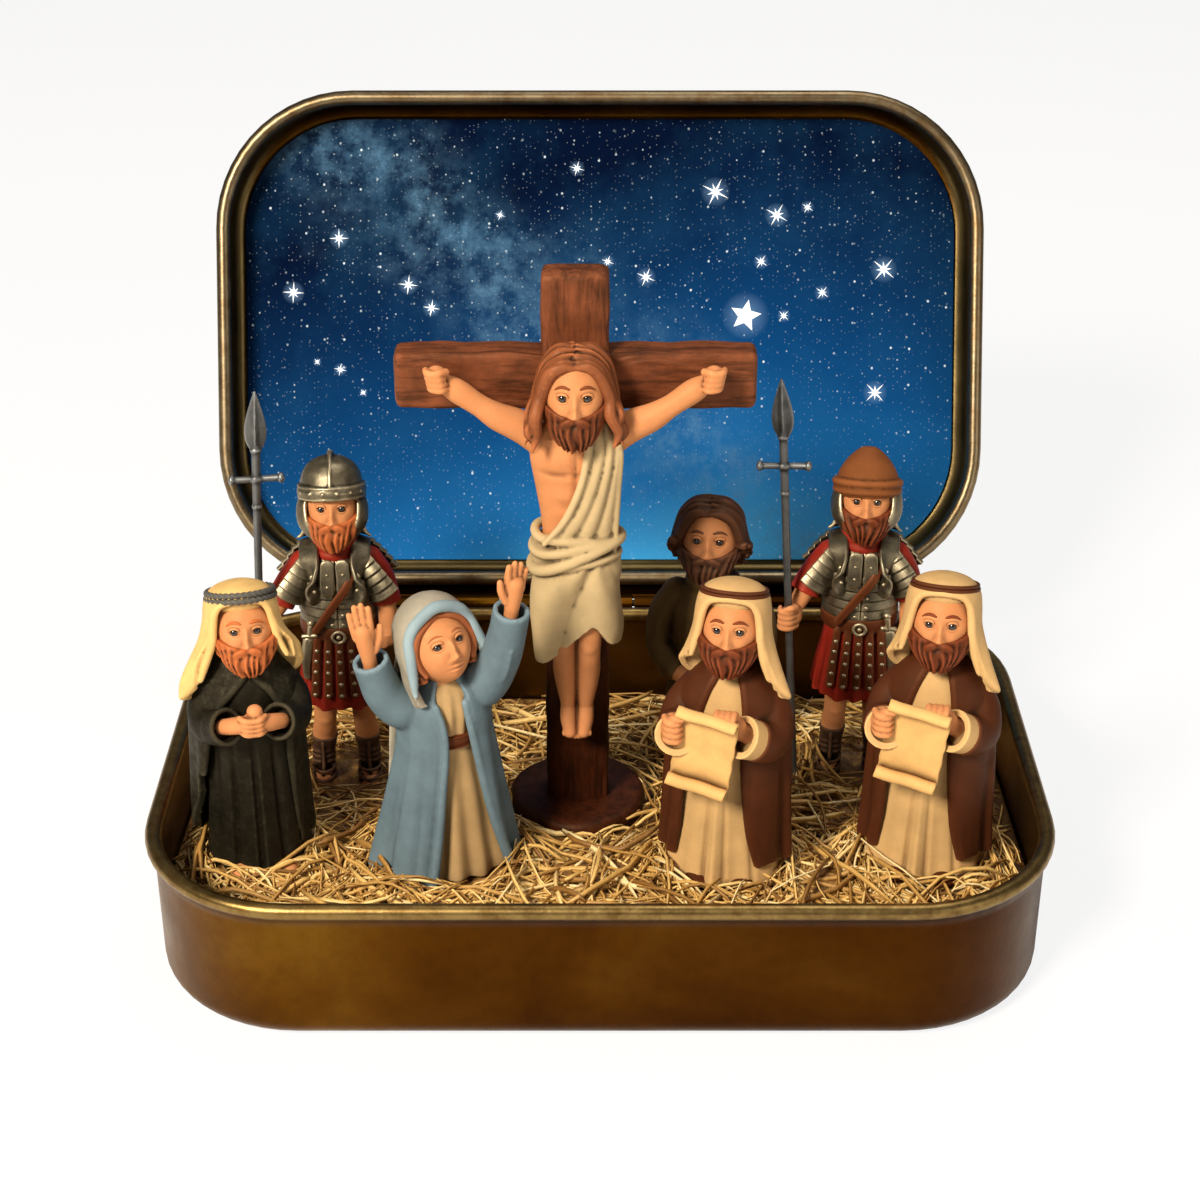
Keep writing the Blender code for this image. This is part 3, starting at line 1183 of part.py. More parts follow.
def arms(spear, grow=0.0):
    """The arm that holds the spear and the arm that hangs down, with their fists."""
    grip = at_level(spear, FIST_LEVEL)
    shoulder = CHEST_WIDTH + 0.7 * STEP
    outer = (grip[0] - shoulder * -1) * 0.5 - shoulder
    top, elbow, hand = CHEST_LEVEL + 1.2 * STEP, CHEST_LEVEL - 3.2 * STEP, WAIST_LEVEL + 0.2 * STEP
    right = [(-shoulder, 0, top), (min(outer, -shoulder - 1 * STEP), -0.6 * STEP, elbow), grip]
    hanging = shoulder + 1.2 * STEP
    left = [(shoulder, 0, top), (hanging, -0.4 * STEP, elbow), (hanging, -1.6 * STEP, hand)]
    radii = [ARM_RADIUS * 1.2, ARM_RADIUS, ARM_RADIUS * 0.9]
    forms = [limb(right, radii, grow), limb(left, radii, grow)]
    forms.append(ball(grip, (1.6 * STEP, 1.6 * STEP, 1.6 * STEP), grow))
    forms.append(ball(left[-1], (1.3 * STEP, 1.5 * STEP, 1.5 * STEP), grow))
    return forms


def soldier_head(grow=0.0):
    """Head, beard and neck of a soldier."""
    return head_forms(grow, SOLDIER_HEAD, SOLDIER_HEAD_LEVEL, CHEST_HEIGHT)


def helmet(pointed):
    """A metal helmet with cheek and neck guards, or a pointed cap with a rolled brim worn over the guards."""
    wide, deep, tall = (size + CLEARANCE + HELMET_THICKNESS for size in SOLDIER_HEAD)
    level = SOLDIER_HEAD_LEVEL
    brow = level + SOLDIER_HEAD[2] * 0.52
    peak = 1.22 if pointed else 1.12
    form = upright(
        [
            (CHEST_HEIGHT + 2.6 * STEP, wide * 0.82, deep * 0.7, -0.6 * STEP),
            (level, wide, deep),
            (brow, wide, deep),
            (brow + tall * 0.28, wide * 0.86, deep * 0.86),
            (brow + tall * 0.5, wide * 0.55, deep * 0.55),
            (level + tall * peak, wide * 0.14, deep * 0.14),
        ]
    )
    half = BRIM_THICKNESS if pointed else BRIM_THICKNESS * 0.7
    reach = 0.6 * STEP if pointed else 0.3 * STEP
    brim = upright(
        [
            (brow - half, wide + reach * 0.4, deep + reach * 0.4),
            (brow, wide + reach, deep + reach),
            (brow + half, wide + reach * 0.4, deep + reach * 0.4),
        ]
    )
    guard = ball((0, deep * 0.72, CHEST_HEIGHT + 4 * STEP), (wide * 1.0, deep * 0.55, 0.7 * STEP))
    high = brow - half - 0.2 * STEP
    window = face_window(SOLDIER_HEAD[0] * 0.8, CHEST_HEIGHT, high, -OUTSIDE, -0.7 * STEP)
    return cut(joined([form, brim, guard]), soldier_head(CLEARANCE)[:1], [window, chest(CLEARANCE)])


def soldier(name, place, turn, spear, pointed):
    """A soldier in a segmented cuirass over a red tunic, who holds a spear."""
    spot = stand(name, place, BACK_LEVEL, turn)
    piece(name + "_legs", joined(legs()), "skin clay", spot)
    piece(name + "_kilt", cut(kilt()[0], legs(CLEARANCE)), "red clay", spot)
    body = joined([chest(), *arms(spear)])
    piece(name + "_body", cut(body, spear_forms(spear, CLEARANCE)), "skin clay", spot)
    extra = CLEARANCE + CUIRASS_THICKNESS
    plate = chest(0.0, extra, WAIST_LEVEL + BELT_HEIGHT + CLEARANCE, CHEST_HEIGHT - CLEARANCE)
    shoulder = CHEST_WIDTH + 1.1 * STEP
    caps = [ball((side * shoulder, 0, CHEST_LEVEL + 1.7 * STEP), PAULDRON_SIZE) for side in (-1, 1)]
    plate = cut(joined([plate, *caps]), [chest(CLEARANCE)], arms(spear, CLEARANCE), soldier_head(CLEARANCE))
    piece(name + "_cuirass", plate, "pewter", spot)
    wide = KILT_TOP + CLEARANCE * 2 + STRAP_THICKNESS
    low = WAIST_LEVEL - 0.6 * STEP
    deep = wide * GOWN_FLATNESS + 0.3 * STEP
    band = upright([(low, wide, deep), (WAIST_LEVEL + BELT_HEIGHT, wide, deep)])
    straps = []
    hem = KILT_HEM * GOWN_FLATNESS + CLEARANCE + STRAP_THICKNESS / 2
    top = KILT_TOP * GOWN_FLATNESS + CLEARANCE + STRAP_THICKNESS / 2
    for k in (-1, 0, 1):
        path = [(k * STRAP_SPACING, -hem, KILT_LEVEL + 0.8 * STEP), (k * STRAP_SPACING * 0.8, -top, WAIST_LEVEL)]
        straps.append(limb(path, STRAP_WIDTH / 2, sides=8, flatness=STRAP_THICKNESS / STRAP_WIDTH))
    belt = cut(joined([band, *straps]), kilt(CLEARANCE), [chest(CLEARANCE)], arms(spear, CLEARANCE))
    piece(name + "_belt", belt, "leather clay", spot)
    piece(name + "_head", cut(joined(soldier_head()), [chest(CLEARANCE)]), "skin clay", spot)
    cap = "rust brown clay" if pointed else "pewter"
    piece(name + "_helmet", helmet(pointed), cap, spot)
    piece(name + "_spear", joined(spear_forms(spear)), "dark steel", spot)


tin()
crucifix()
mary()
elder()
scroll_man("scribe", SCRIBE_PLACE, SCRIBE_TURN)
scroll_man("reader", READER_PLACE, SCRIBE_TURN)
onlooker()
soldier("sentry", SENTRY_PLACE, SENTRY_TURN, SENTRY_SPEAR, False)
soldier("guard", GUARD_PLACE, GUARD_TURN, GUARD_SPEAR, True)
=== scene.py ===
"""A pocket tin that opens as a small stage: clay figures on straw, with a starry night card in the lid.

Shapes are worked out in millimetres and put into the meshes in metres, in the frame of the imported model.
"""

import bmesh
import bpy
import numpy as np
from mathutils import Matrix


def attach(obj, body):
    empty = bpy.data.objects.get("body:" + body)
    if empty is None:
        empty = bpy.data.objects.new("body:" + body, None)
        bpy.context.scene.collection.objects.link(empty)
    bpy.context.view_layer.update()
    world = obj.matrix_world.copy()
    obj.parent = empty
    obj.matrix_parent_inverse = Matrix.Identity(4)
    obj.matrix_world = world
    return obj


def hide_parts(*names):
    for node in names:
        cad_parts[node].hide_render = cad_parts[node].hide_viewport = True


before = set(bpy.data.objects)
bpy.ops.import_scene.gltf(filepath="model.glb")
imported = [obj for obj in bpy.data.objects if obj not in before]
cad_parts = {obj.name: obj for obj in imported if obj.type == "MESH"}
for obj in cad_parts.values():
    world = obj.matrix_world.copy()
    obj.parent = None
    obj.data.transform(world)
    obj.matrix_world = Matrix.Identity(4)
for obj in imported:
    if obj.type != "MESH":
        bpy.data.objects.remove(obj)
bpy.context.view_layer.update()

# Camera and studio
# A long lens looks down on the open tin by 29 degrees. The studio is a white floor under a white sky, with three
# square soft lamps: a warm key lamp at the front left, a weak one at the right and one above.

LENS, LOOK_DOWN = 69.0, 29.0
LAMP_AIM = (0.0, 0.0, 0.03)
SKY_LIGHT = 0.13
FLOOR_REACH, FLOOR_LEVEL, FLOOR_GLOW = 3.0, -0.0001, 0.85

camera = bpy.data.objects.new("camera", bpy.data.cameras.new("camera"))
bpy.context.scene.collection.objects.link(camera)
camera.data.lens = LENS
camera.data.sensor_width = 36.0
camera.data.clip_start = 0.01
camera.data.clip_end = 20.0
camera.location = (0.0, -0.225174, 0.161525)
camera.rotation_euler = (np.radians(90.0 - LOOK_DOWN), 0.0, 0.0)
bpy.context.scene.camera = camera
bpy.context.scene.view_settings.view_transform = "Standard"


def lamp(name, place, size, watts, tint):
    """A square soft lamp at a place, turned so that it looks at the middle of the tin."""
    light = bpy.data.lights.new(name, "AREA")
    light.size = size
    light.energy = watts
    light.color = tint
    thing = bpy.data.objects.new(name, light)
    bpy.context.scene.collection.objects.link(thing)
    way = np.array(LAMP_AIM) - np.array(place)
    up = np.array([0.0, 0.0, 1.0])
    side = np.cross(way, up)
    side /= np.linalg.norm(side)
    back = -way / np.linalg.norm(way)
    over = np.cross(back, side)
    thing.matrix_world = Matrix(
        [[side[k], over[k], back[k], place[k]] for k in range(3)] + [[0.0, 0.0, 0.0, 1.0]]
    )


lamp("key_lamp", (-0.27, -0.40, 0.42), 0.14, 5.9, (1.0, 0.905, 0.76))
lamp("fill_lamp", (0.45, -0.40, 0.20), 0.35, 0.85, (1.0, 0.93, 0.82))
lamp("top_lamp", (0.10, 0.10, 0.55), 0.25, 1.0, (1.0, 0.95, 0.87))


def sky_dome():
    """White where the camera looks past the tin, and a dim warm grey for the light it gives and for reflections."""
    world = bpy.data.worlds.new("studio")
    world.use_nodes = True
    bpy.context.scene.world = world
    tree = world.node_tree
    plain = tree.nodes["Background"]
    plain.inputs["Color"].default_value = (1.0, 0.97, 0.93, 1.0)
    plain.inputs["Strength"].default_value = SKY_LIGHT
    white = tree.nodes.new("ShaderNodeBackground")
    white.inputs["Strength"].default_value = 1.0
    path = tree.nodes.new("ShaderNodeLightPath")
    mix = tree.nodes.new("ShaderNodeMixShader")
    tree.links.new(path.outputs["Is Camera Ray"], mix.inputs[0])
    tree.links.new(plain.outputs[0], mix.inputs[1])
    tree.links.new(white.outputs[0], mix.inputs[2])
    tree.links.new(mix.outputs[0], tree.nodes["World Output"].inputs[0])


sky_dome()


def new_look(name):
    """A new material with its node tree and its main shader."""
    look = bpy.data.materials.new(name)
    look.use_nodes = True
    return look, look.node_tree, look.node_tree.nodes["Principled BSDF"]


floor_mesh = bpy.data.meshes.new("floor")
floor_corners = [(x * FLOOR_REACH, y * FLOOR_REACH, FLOOR_LEVEL) for x, y in ((-1, -1), (1, -1), (1, 1), (-1, 1))]
floor_mesh.from_pydata(floor_corners, [], [(0, 1, 2, 3)])
floor_look, floor_tree, floor_shader = new_look("white floor")
floor_shader.inputs["Base Color"].default_value = (0.93, 0.93, 0.93, 1.0)
floor_shader.inputs["Roughness"].default_value = 0.9
floor_glow = floor_tree.nodes.new("ShaderNodeEmission")
floor_path = floor_tree.nodes.new("ShaderNodeLightPath")
floor_part = floor_tree.nodes.new("ShaderNodeMath")
floor_part.operation = "MULTIPLY"
floor_part.inputs[1].default_value = FLOOR_GLOW
floor_mix = floor_tree.nodes.new("ShaderNodeMixShader")
for start, end in (
    (floor_path.outputs["Is Camera Ray"], floor_part.inputs[0]), (floor_part.outputs[0], floor_mix.inputs[0]),
    (floor_shader.outputs[0], floor_mix.inputs[1]), (floor_glow.outputs[0], floor_mix.inputs[2]),
    (floor_mix.outputs[0], floor_tree.nodes["Material Output"].inputs[0]),
):
    floor_tree.links.new(start, end)
floor_mesh.materials.append(floor_look)
floor_sheet = bpy.data.objects.new("floor", floor_mesh)
bpy.context.scene.collection.objects.link(floor_sheet)

# Tin trays
# Two drawn trays of thin brass-coloured sheet, each with a rim rolled outwards into a bead.
# The lid sits 1 mm inside the base all round and hangs on the hinge at the back.

TIN_WIDTH, TIN_DEPTH, TIN_HEIGHT = 100.0, 65.0, 18.0
LID_SETBACK, LID_HEIGHT = 1.0, 8.0
TIN_CORNER, BEAD, SHEET, BOTTOM_ROUND = 17.5, 0.9, 0.4, 2.5
HINGE_AT = np.array([0.0, 33.7, 17.6])
LID_RIM = 0.7
OPENING = np.radians(114.0)
LID_TURN = np.array([
    [1, 0, 0], [0, np.cos(OPENING), np.sin(OPENING)], [0, -np.sin(OPENING), np.cos(OPENING)],
])
LID_SIZE = (TIN_WIDTH - 2 * LID_SETBACK, TIN_DEPTH - 2 * LID_SETBACK)
LID_TOP = np.array([0, -HINGE_AT[1], LID_RIM + LID_HEIGHT])


def round_rectangle(width, depth, inset, height, steps=14):
    """Loops round a rectangle with round corners: each quarter circle is moved to its corner and drawn in."""
    inset, height = np.atleast_1d(inset), np.atleast_1d(height)
    angle = np.linspace(0, np.pi / 2, steps)[None, :] + np.pi / 2 * np.arange(4)[:, None]
    side = np.array([1, -1, -1, 1])[:, None] + 0 * angle
    end = np.array([1, 1, -1, -1])[:, None] + 0 * angle
    radius = np.maximum(TIN_CORNER - inset, 0.3)[:, None]
    x = side.ravel() * (width / 2 - inset[:, None] - radius) + radius * np.cos(angle.ravel())
    y = end.ravel() * (depth / 2 - inset[:, None] - radius) + radius * np.sin(angle.ravel())
    return np.stack([x, y, height[:, None] + 0 * x], axis=2)


def tray_surface(width, depth, height):
    """A drawn tray as one profile carried round it: bottom, corner arc, wall, bead circle, inner wall and corner."""
    bend = np.linspace(0, np.pi / 2, 9)
    inner = BOTTOM_ROUND - SHEET
    bead_end = 2 * np.pi - np.arccos(-SHEET / BEAD)
    bead = np.linspace(-np.pi / 2, bead_end, 22)
    wall = np.linspace(0.15, 0.9, 5)
    rise_out = BOTTOM_ROUND + (height - 2 * BEAD - BOTTOM_ROUND) * wall
    inset = np.concatenate([
        BEAD + BOTTOM_ROUND * (1 - np.sin(bend)), BEAD + 0 * wall, BEAD * (1 - np.cos(bead)),
        BEAD + SHEET + 0 * wall, BEAD + BOTTOM_ROUND - inner * np.sin(bend[::-1]),
    ])
    rise = np.concatenate([
        BOTTOM_ROUND * (1 - np.cos(bend)), rise_out, height - BEAD * (1 - np.sin(bead)), rise_out[::-1],
        BOTTOM_ROUND - inner * np.cos(bend[::-1]),
    ])
    return round_rectangle(width, depth, inset, rise)


def to_lid(points):
    """Points of the closed lid, told from the hinge, are swung open about it."""
    return points @ LID_TURN.T + HINGE_AT


def from_lid(points):
    """The way back: points of the open lid as points of the closed one, told from the hinge."""
    return (points - HINGE_AT) @ LID_TURN


def grid_shell(grid, capped=True):
    """Points and quads of a grid. Its last column meets the first, and each end row closes on its middle."""
    if capped:
        ends = [
            np.repeat(row.mean(axis=0, keepdims=True), grid.shape[1], axis=0)[None] for row in (grid[0], grid[-1])
        ]
        grid = np.concatenate([ends[0], grid, ends[1]])
    rows, columns = grid.shape[:2]
    index = np.arange(rows * columns).reshape(rows, columns)
    index = np.concatenate([index, index[:, :1]], axis=1)
    low, high = index[:-1], index[1:]
    quads = np.stack([low[:, :-1], low[:, 1:], high[:, 1:], high[:, :-1]], axis=2).reshape(-1, 4)
    return grid.reshape(-1, 3), quads


def shells_mesh(name, shells):
    """One mesh from several shells, with doubled points at the poles merged and every face turned outwards."""
    points, quads, start = [], [], 0
    for shell_points, shell_quads in shells:
        points.append(shell_points)
        quads.append(shell_quads + start)
        start += len(shell_points)
    points, quads = np.concatenate(points), np.concatenate(quads)
    mesh = bpy.data.meshes.new(name)
    mesh.vertices.add(len(points))
    mesh.vertices.foreach_set("co", points.astype(np.float32).ravel())
    mesh.loops.add(quads.size)
    mesh.loops.foreach_set("vertex_index", quads.astype(np.int32).ravel())
    mesh.polygons.add(len(quads))
    mesh.polygons.foreach_set("loop_start", (np.arange(len(quads)) * 4).astype(np.int32))
    mesh.update(calc_edges=True)
    work = bmesh.new()
    work.from_mesh(mesh)
    bmesh.ops.remove_doubles(work, verts=work.verts, dist=0.001)
    bmesh.ops.recalc_face_normals(work, faces=work.faces)
    work.to_mesh(mesh)
    work.free()
    mesh.validate()
    return mesh


def reworked(mesh, steps):
    """The mesh after Blender's own modifiers: steps are (kind, settings)."""
    work = bpy.data.objects.new("work", mesh)
    bpy.context.scene.collection.objects.link(work)
    for kind, settings in steps:
        step = work.modifiers.new("step", kind)
        for key, value in settings.items():
            setattr(step, key, value)
    bpy.context.view_layer.update()
    done = bpy.data.meshes.new_from_object(work.evaluated_get(bpy.context.evaluated_depsgraph_get()))
    done.name = mesh.name
    bpy.data.objects.remove(work, do_unlink=True)
    return done


def welded(mesh, voxel, rounds):
    """The mesh as one even skin: a voxel grid over its shells, then each point drawn to its neighbours' middle."""
    steps = [("REMESH", dict(mode="VOXEL", voxel_size=voxel)), ("SMOOTH", dict(factor=0.5, iterations=rounds))]
    return reworked(mesh, steps)


def relief(mesh, reach=6):
    """How sharply the skin bends at each point: its height over its neighbours' middle, by the square of the edges'
    length, evened out over the neighbours. Half is flat, more is an edge and less is a crease."""
    count = len(mesh.vertices)
    points, ends = np.empty(count * 3, np.float32), np.empty(len(mesh.edges) * 2, np.int32)
    normals = np.empty(count * 3, np.float32)
    mesh.vertices.foreach_get("co", points)
    mesh.vertices.foreach_get("normal", normals)
    mesh.edges.foreach_get("vertices", ends)
    points, normals, ends = points.reshape(-1, 3), normals.reshape(-1, 3), ends.reshape(-1, 2)
    one, two = np.concatenate([ends, ends[:, ::-1]]).T
    near = np.maximum(np.bincount(one, minlength=count), 1)

    def evened(values):
        return np.bincount(one, values[two], count) / near

    middle = np.stack([evened(points[:, k]) for k in range(3)], axis=1)
    length = np.bincount(one, ((points[one] - points[two]) ** 2).sum(axis=1), count) / near
    bend = ((points - middle) * normals).sum(axis=1) / np.maximum(length, 1e-4)
    for _ in range(reach):
        bend = 0.3 * bend + 0.7 * evened(bend)
    mesh.attributes.new("relief", "FLOAT", "POINT").data.foreach_set(
        "value", (0.5 + 0.5 * np.tanh(bend * 0.9)).astype(np.float32),
    )


# The fine skin of a melted piece is thinned to this share of its faces, when it has more than this number.
THINNED_OVER, THINNED_TO = 5000, 0.5
KEPT_WHOLE = ("straw_ground", "straw_long", "straw_short", "straw_loose", "base_tray", "lid_tray")


def piece(name, shells, look, body, nodes=(), voxel=None, rounds=4, place=None, smooth=True):
    """A finished piece: its shells in one mesh, carried to its place in metres, with its material and frame calls."""
    mesh = shells_mesh(name, shells)
    if voxel:
        mesh = welded(mesh, voxel, rounds)
    relief(mesh)
    if len(mesh.polygons) > THINNED_OVER and name not in KEPT_WHOLE:
        mesh = reworked(mesh, [("DECIMATE", dict(ratio=THINNED_TO))])
    points = np.empty(len(mesh.vertices) * 3, np.float32)
    mesh.vertices.foreach_get("co", points)
    points = points.reshape(-1, 3)
    if place:
        points = place(points)
    mesh.vertices.foreach_set("co", (points * 0.001).astype(np.float32).ravel())
    mesh.polygons.foreach_set("use_smooth", np.full(len(mesh.polygons), smooth))
    mesh.materials.clear()
    mesh.materials.append(look)
    mesh.update()
    thing = bpy.data.objects.new(name, mesh)
    bpy.context.scene.collection.objects.link(thing)
    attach(thing, body)
    if nodes:
        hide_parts(*nodes)
    return thing


def add(tree, kind, links=(), **values):
    """A shader node with its settings, and its inputs linked from (output, input name) pairs."""
    node = tree.nodes.new(kind)
    for key, value in values.items():
        if hasattr(node, key):
            setattr(node, key, value)
    for source, target in links:
        tree.links.new(source, node.inputs[target])
    return node


def noise(tree, scale, detail=4.0, rough=0.55, stretch=(1, 1, 1), warp=0.0):
    """Noise in the piece's own place in millimetres, with a size, and a stretch along each axis."""
    where = tree.nodes.get("where") or add(tree, "ShaderNodeTexCoord")
    where.name = "where"
    mapping = add(tree, "ShaderNodeMapping", [(where.outputs["Object"], "Vector")])
    mapping.inputs["Scale"].default_value = [1000.0 * s for s in stretch]
    node = add(tree, "ShaderNodeTexNoise", [(mapping.outputs[0], "Vector")])
    node.inputs["Scale"].default_value = scale
    node.inputs["Detail"].default_value = detail
    node.inputs["Roughness"].default_value = rough
    node.inputs["Distortion"].default_value = warp
    return node.outputs["Fac"]


def ramp(tree, source, stops):
    """A colour ramp over a value: stops are (place, colour or grey)."""
    node = add(tree, "ShaderNodeValToRGB", [(source, "Fac")])
    marks = node.color_ramp.elements
    while len(marks) < len(stops):
        marks.new(0.5)
    for mark, (place, colour) in zip(marks, stops):
        mark.position = place
        colour = (colour,) * 3 if np.isscalar(colour) else colour
        mark.color = (*colour, 1.0)
    return node.outputs["Color"]


def mixed(tree, share, first, second, blend="MIX"):
    """Two colours mixed by a share; each is an output or plain numbers."""
    node = add(tree, "ShaderNodeMix", data_type="RGBA", blend_type=blend)
    for key, value in ((0, share), (6, first), (7, second)):
        if isinstance(value, bpy.types.NodeSocket):
            tree.links.new(value, node.inputs[key])
        elif key == 0:
            node.inputs[0].default_value = value
        else:
            node.inputs[key].default_value = (*value, 1.0)
    return node.outputs[2]


def bumped(tree, shader, height, strength, distance):
    """Gives the shader a bump from a height value, with its distance in millimetres."""
    node = add(tree, "ShaderNodeBump", [(height, "Height")])
    node.inputs["Strength"].default_value = strength
    node.inputs["Distance"].default_value = distance * 0.001
    tree.links.new(node.outputs[0], shader.inputs["Normal"])


def aged_metal(name, painted_side_light, inner, worn_and_highlight):
    """Brass-coloured sheet: brown smoky stains, a tone painted lighter at one side and darker at the other as painted
    light and shade, an inner side with its own tone, and a rim rubbed pale through to the metal and paler still as a
    painted highlight, with bright worn specks and painted highlights on the edges."""
    look, tree, shader = new_look(name)
    shader.inputs["Metallic"].default_value = 1.0
    cloud = ramp(
        tree, noise(tree, 0.05, 4, 0.55, warp=0.4),
        [(0.3, (0.085, 0.030, 0.003)), (0.5, (0.140, 0.058, 0.007)), (0.72, (0.21, 0.105, 0.018))],
    )
    fleck = ramp(tree, noise(tree, 0.6, 6, 0.7), [(0.35, 0.7), (0.6, 1.0)])
    tone = mixed(tree, 0.5, cloud, fleck, "MULTIPLY")
    # Painted light and shade: the tone is lighter at one side of the tray and darker at the other.
    parts = add(tree, "ShaderNodeSeparateXYZ", [(tree.nodes["where"].outputs["Object"], "Vector")])
    across = add(tree, "ShaderNodeMapRange", [(parts.outputs["X"], "Value")])
    across.inputs["From Min"].default_value, across.inputs["From Max"].default_value = -0.05, 0.05
    tone = mixed(
        tree, 1.0, tone, ramp(tree, across.outputs[0], [(0.0, painted_side_light[0]), (0.45, painted_side_light[1]), (1.0, painted_side_light[2])]),
        "MULTIPLY",
    )
    lining = ramp(tree, noise(tree, 0.10, 5, 0.6), [(0.3, np.array(inner) * 0.6), (0.7, inner)])
    tone = mixed(tree, add(tree, "ShaderNodeAttribute", attribute_name="inner_side").outputs["Fac"], tone, lining)
    patches = noise(tree, 0.45, 7, 0.78)
    bend = add(tree, "ShaderNodeAttribute", attribute_name="relief").outputs["Fac"]
    # Wear and painted highlight: pale specks on the tray's edges.
    edge = mixed(
        tree, ramp(tree, patches, [(0.40, 0.25), (0.60, 1.0)]), (0, 0, 0),
        ramp(tree, bend, [(0.56, 0.0), (0.70, 1.0)]),
    )
    tone = mixed(tree, edge, tone, worn_and_highlight)
    # Wear and painted highlight: the rim bead is paler.
    rim = mixed(
        tree, ramp(tree, patches, [(0.34, 0.35), (0.58, 0.95)]), (0, 0, 0),
        add(tree, "ShaderNodeAttribute", attribute_name="rim").outputs["Color"],
    )
    tone = mixed(tree, rim, tone, worn_and_highlight)
    tree.links.new(tone, shader.inputs["Base Color"])
    dull = ramp(tree, noise(tree, 0.12, 6, 0.65), [(0.3, 0.30), (0.7, 0.46)])
    tree.links.new(dull, shader.inputs["Roughness"])
    bumped(tree, shader, noise(tree, 1.6, 5, 0.6), 0.2, 0.10)
    return look


def mark_tray(thing, height, upright):
    """Stores on a tray's points how near they are to its rim bead, and whether they face its inside."""
    mesh = thing.data
    points, normals = np.empty(len(mesh.vertices) * 3, np.float32), np.empty(len(mesh.vertices) * 3, np.float32)
    mesh.vertices.foreach_get("co", points)
    mesh.vertices.foreach_get("normal", normals)
    points, normals = upright(points.reshape(-1, 3) * 1000.0), normals.reshape(-1, 3)
    rim = np.clip((points[:, 2] - height + 1.7) / 0.5, 0, 1)
    inward = -(normals[:, :2] * points[:, :2]).sum(axis=1) / np.maximum(np.linalg.norm(points[:, :2], axis=1), 1.0)
    for mark, values in (("rim", rim), ("inner_side", np.clip(inward * 4, 0, 1) * (1 - rim))):
        mesh.attributes.new(mark, "FLOAT", "POINT").data.foreach_set("value", values.astype(np.float32))


# The base is painted lighter at its left and darker at its right, the lid lighter at its right: painted light and
# shade.
BRASS = aged_metal(
    "aged brass", [(0.90, 0.86, 0.50), (0.50, 0.40, 0.18), (0.30, 0.19, 0.08)], (0.16, 0.078, 0.014),
    (0.255, 0.172, 0.062),
)
LID_BRASS = aged_metal(
    "aged brass lid", [(0.55, 0.50, 0.35), (0.8, 0.75, 0.6), (1.0, 1.0, 1.0)], (0.26, 0.185, 0.075),
    (0.22, 0.172, 0.104),
)

base_tray = piece(
    "base_tray", [grid_shell(tray_surface(TIN_WIDTH, TIN_DEPTH, TIN_HEIGHT))], BRASS, "base", ["base_tin"],
)
mark_tray(base_tray, TIN_HEIGHT, lambda points: points)


def closed_lid(points):
    """A tray that stands upright is turned over and set above the base's rim, told from the hinge."""
    return points * [1, 1, -1] + LID_TOP


lid_shell, lid_quads = grid_shell(tray_surface(*LID_SIZE, LID_HEIGHT))
lid_tray = piece(
    "lid_tray", [(to_lid(closed_lid(lid_shell)), lid_quads)], LID_BRASS, "lid", ["lid_tin"],
)
mark_tray(lid_tray, LID_HEIGHT, lambda points: (from_lid(points) - LID_TOP) * [1, 1, -1])


def dress(node, look):
    """Gives a solid that stays in view its material."""
    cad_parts[node].data.materials.clear()
    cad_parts[node].data.materials.append(look)


dress("base_hinge_leaf", BRASS)
dress("lid_hinge_leaf", BRASS)

# Hinge pin
# A steel wire through the knuckles of both hinge leaves, dark with age.


def dark_steel():
    """Dark steel with brown spots of rust and brighter rubbed patches."""
    look, tree, shader = new_look("dark steel")
    shader.inputs["Metallic"].default_value = 0.85
    tone = ramp(
        tree, noise(tree, 1.1, 5, 0.65),
        [(0.32, (0.030, 0.018, 0.010)), (0.52, (0.06, 0.045, 0.03)), (0.7, (0.12, 0.10, 0.07))],
    )
    tree.links.new(tone, shader.inputs["Base Color"])
    tree.links.new(ramp(tree, noise(tree, 0.8, 4, 0.6), [(0.3, 0.45), (0.7, 0.65)]), shader.inputs["Roughness"])
    bumped(tree, shader, noise(tree, 3.0, 4, 0.6), 0.4, 0.08)
    return look


dress("hinge_pin", dark_steel())

# Night sky card
# A printed card that lies inside the lid: a dark sky that turns blue towards the bottom, a pale band of star dust
# and bright stars. The large stars are printed in a thicker white ink, which also gives off a faint painted glow.

CARD_INSET, CARD_THICK = 2.85, 0.5
CARD_LEVEL = LID_RIM + LID_HEIGHT - SHEET - 0.3
BRIGHT_STARS = (
    (-34, 47, 0.9), (-40, 40, 1.0), (-25, 41, 0.9), (-22, 38, 0.8), (-34, 30, 0.6), (-3, 56, 0.7), (-13, 50, 0.5),
    (1, 44, 0.6), (6, 42, 0.9), (15, 53, 1.3), (23, 50, 1.1), (27, 51, 0.6), (21, 44, 0.7), (29, 40, 0.7),
    (37, 43, 1.2), (24, 37, 0.6), (36, 27, 1.1), (-37, 31, 0.4), (-31, 27, 0.4), (6, 33, 0.6),
)
GUIDE_STAR = (19.0, 37.0, 2.1)


def on_card(across, up, lift=0.0):
    """A point of the card's face: across from its middle and up from the hinge, lifted towards the viewer."""
    across, up = np.broadcast_arrays(np.asarray(across, float), np.asarray(up, float))
    return to_lid(np.stack([across, -up, CARD_LEVEL - CARD_THICK - lift + 0 * across], axis=-1))


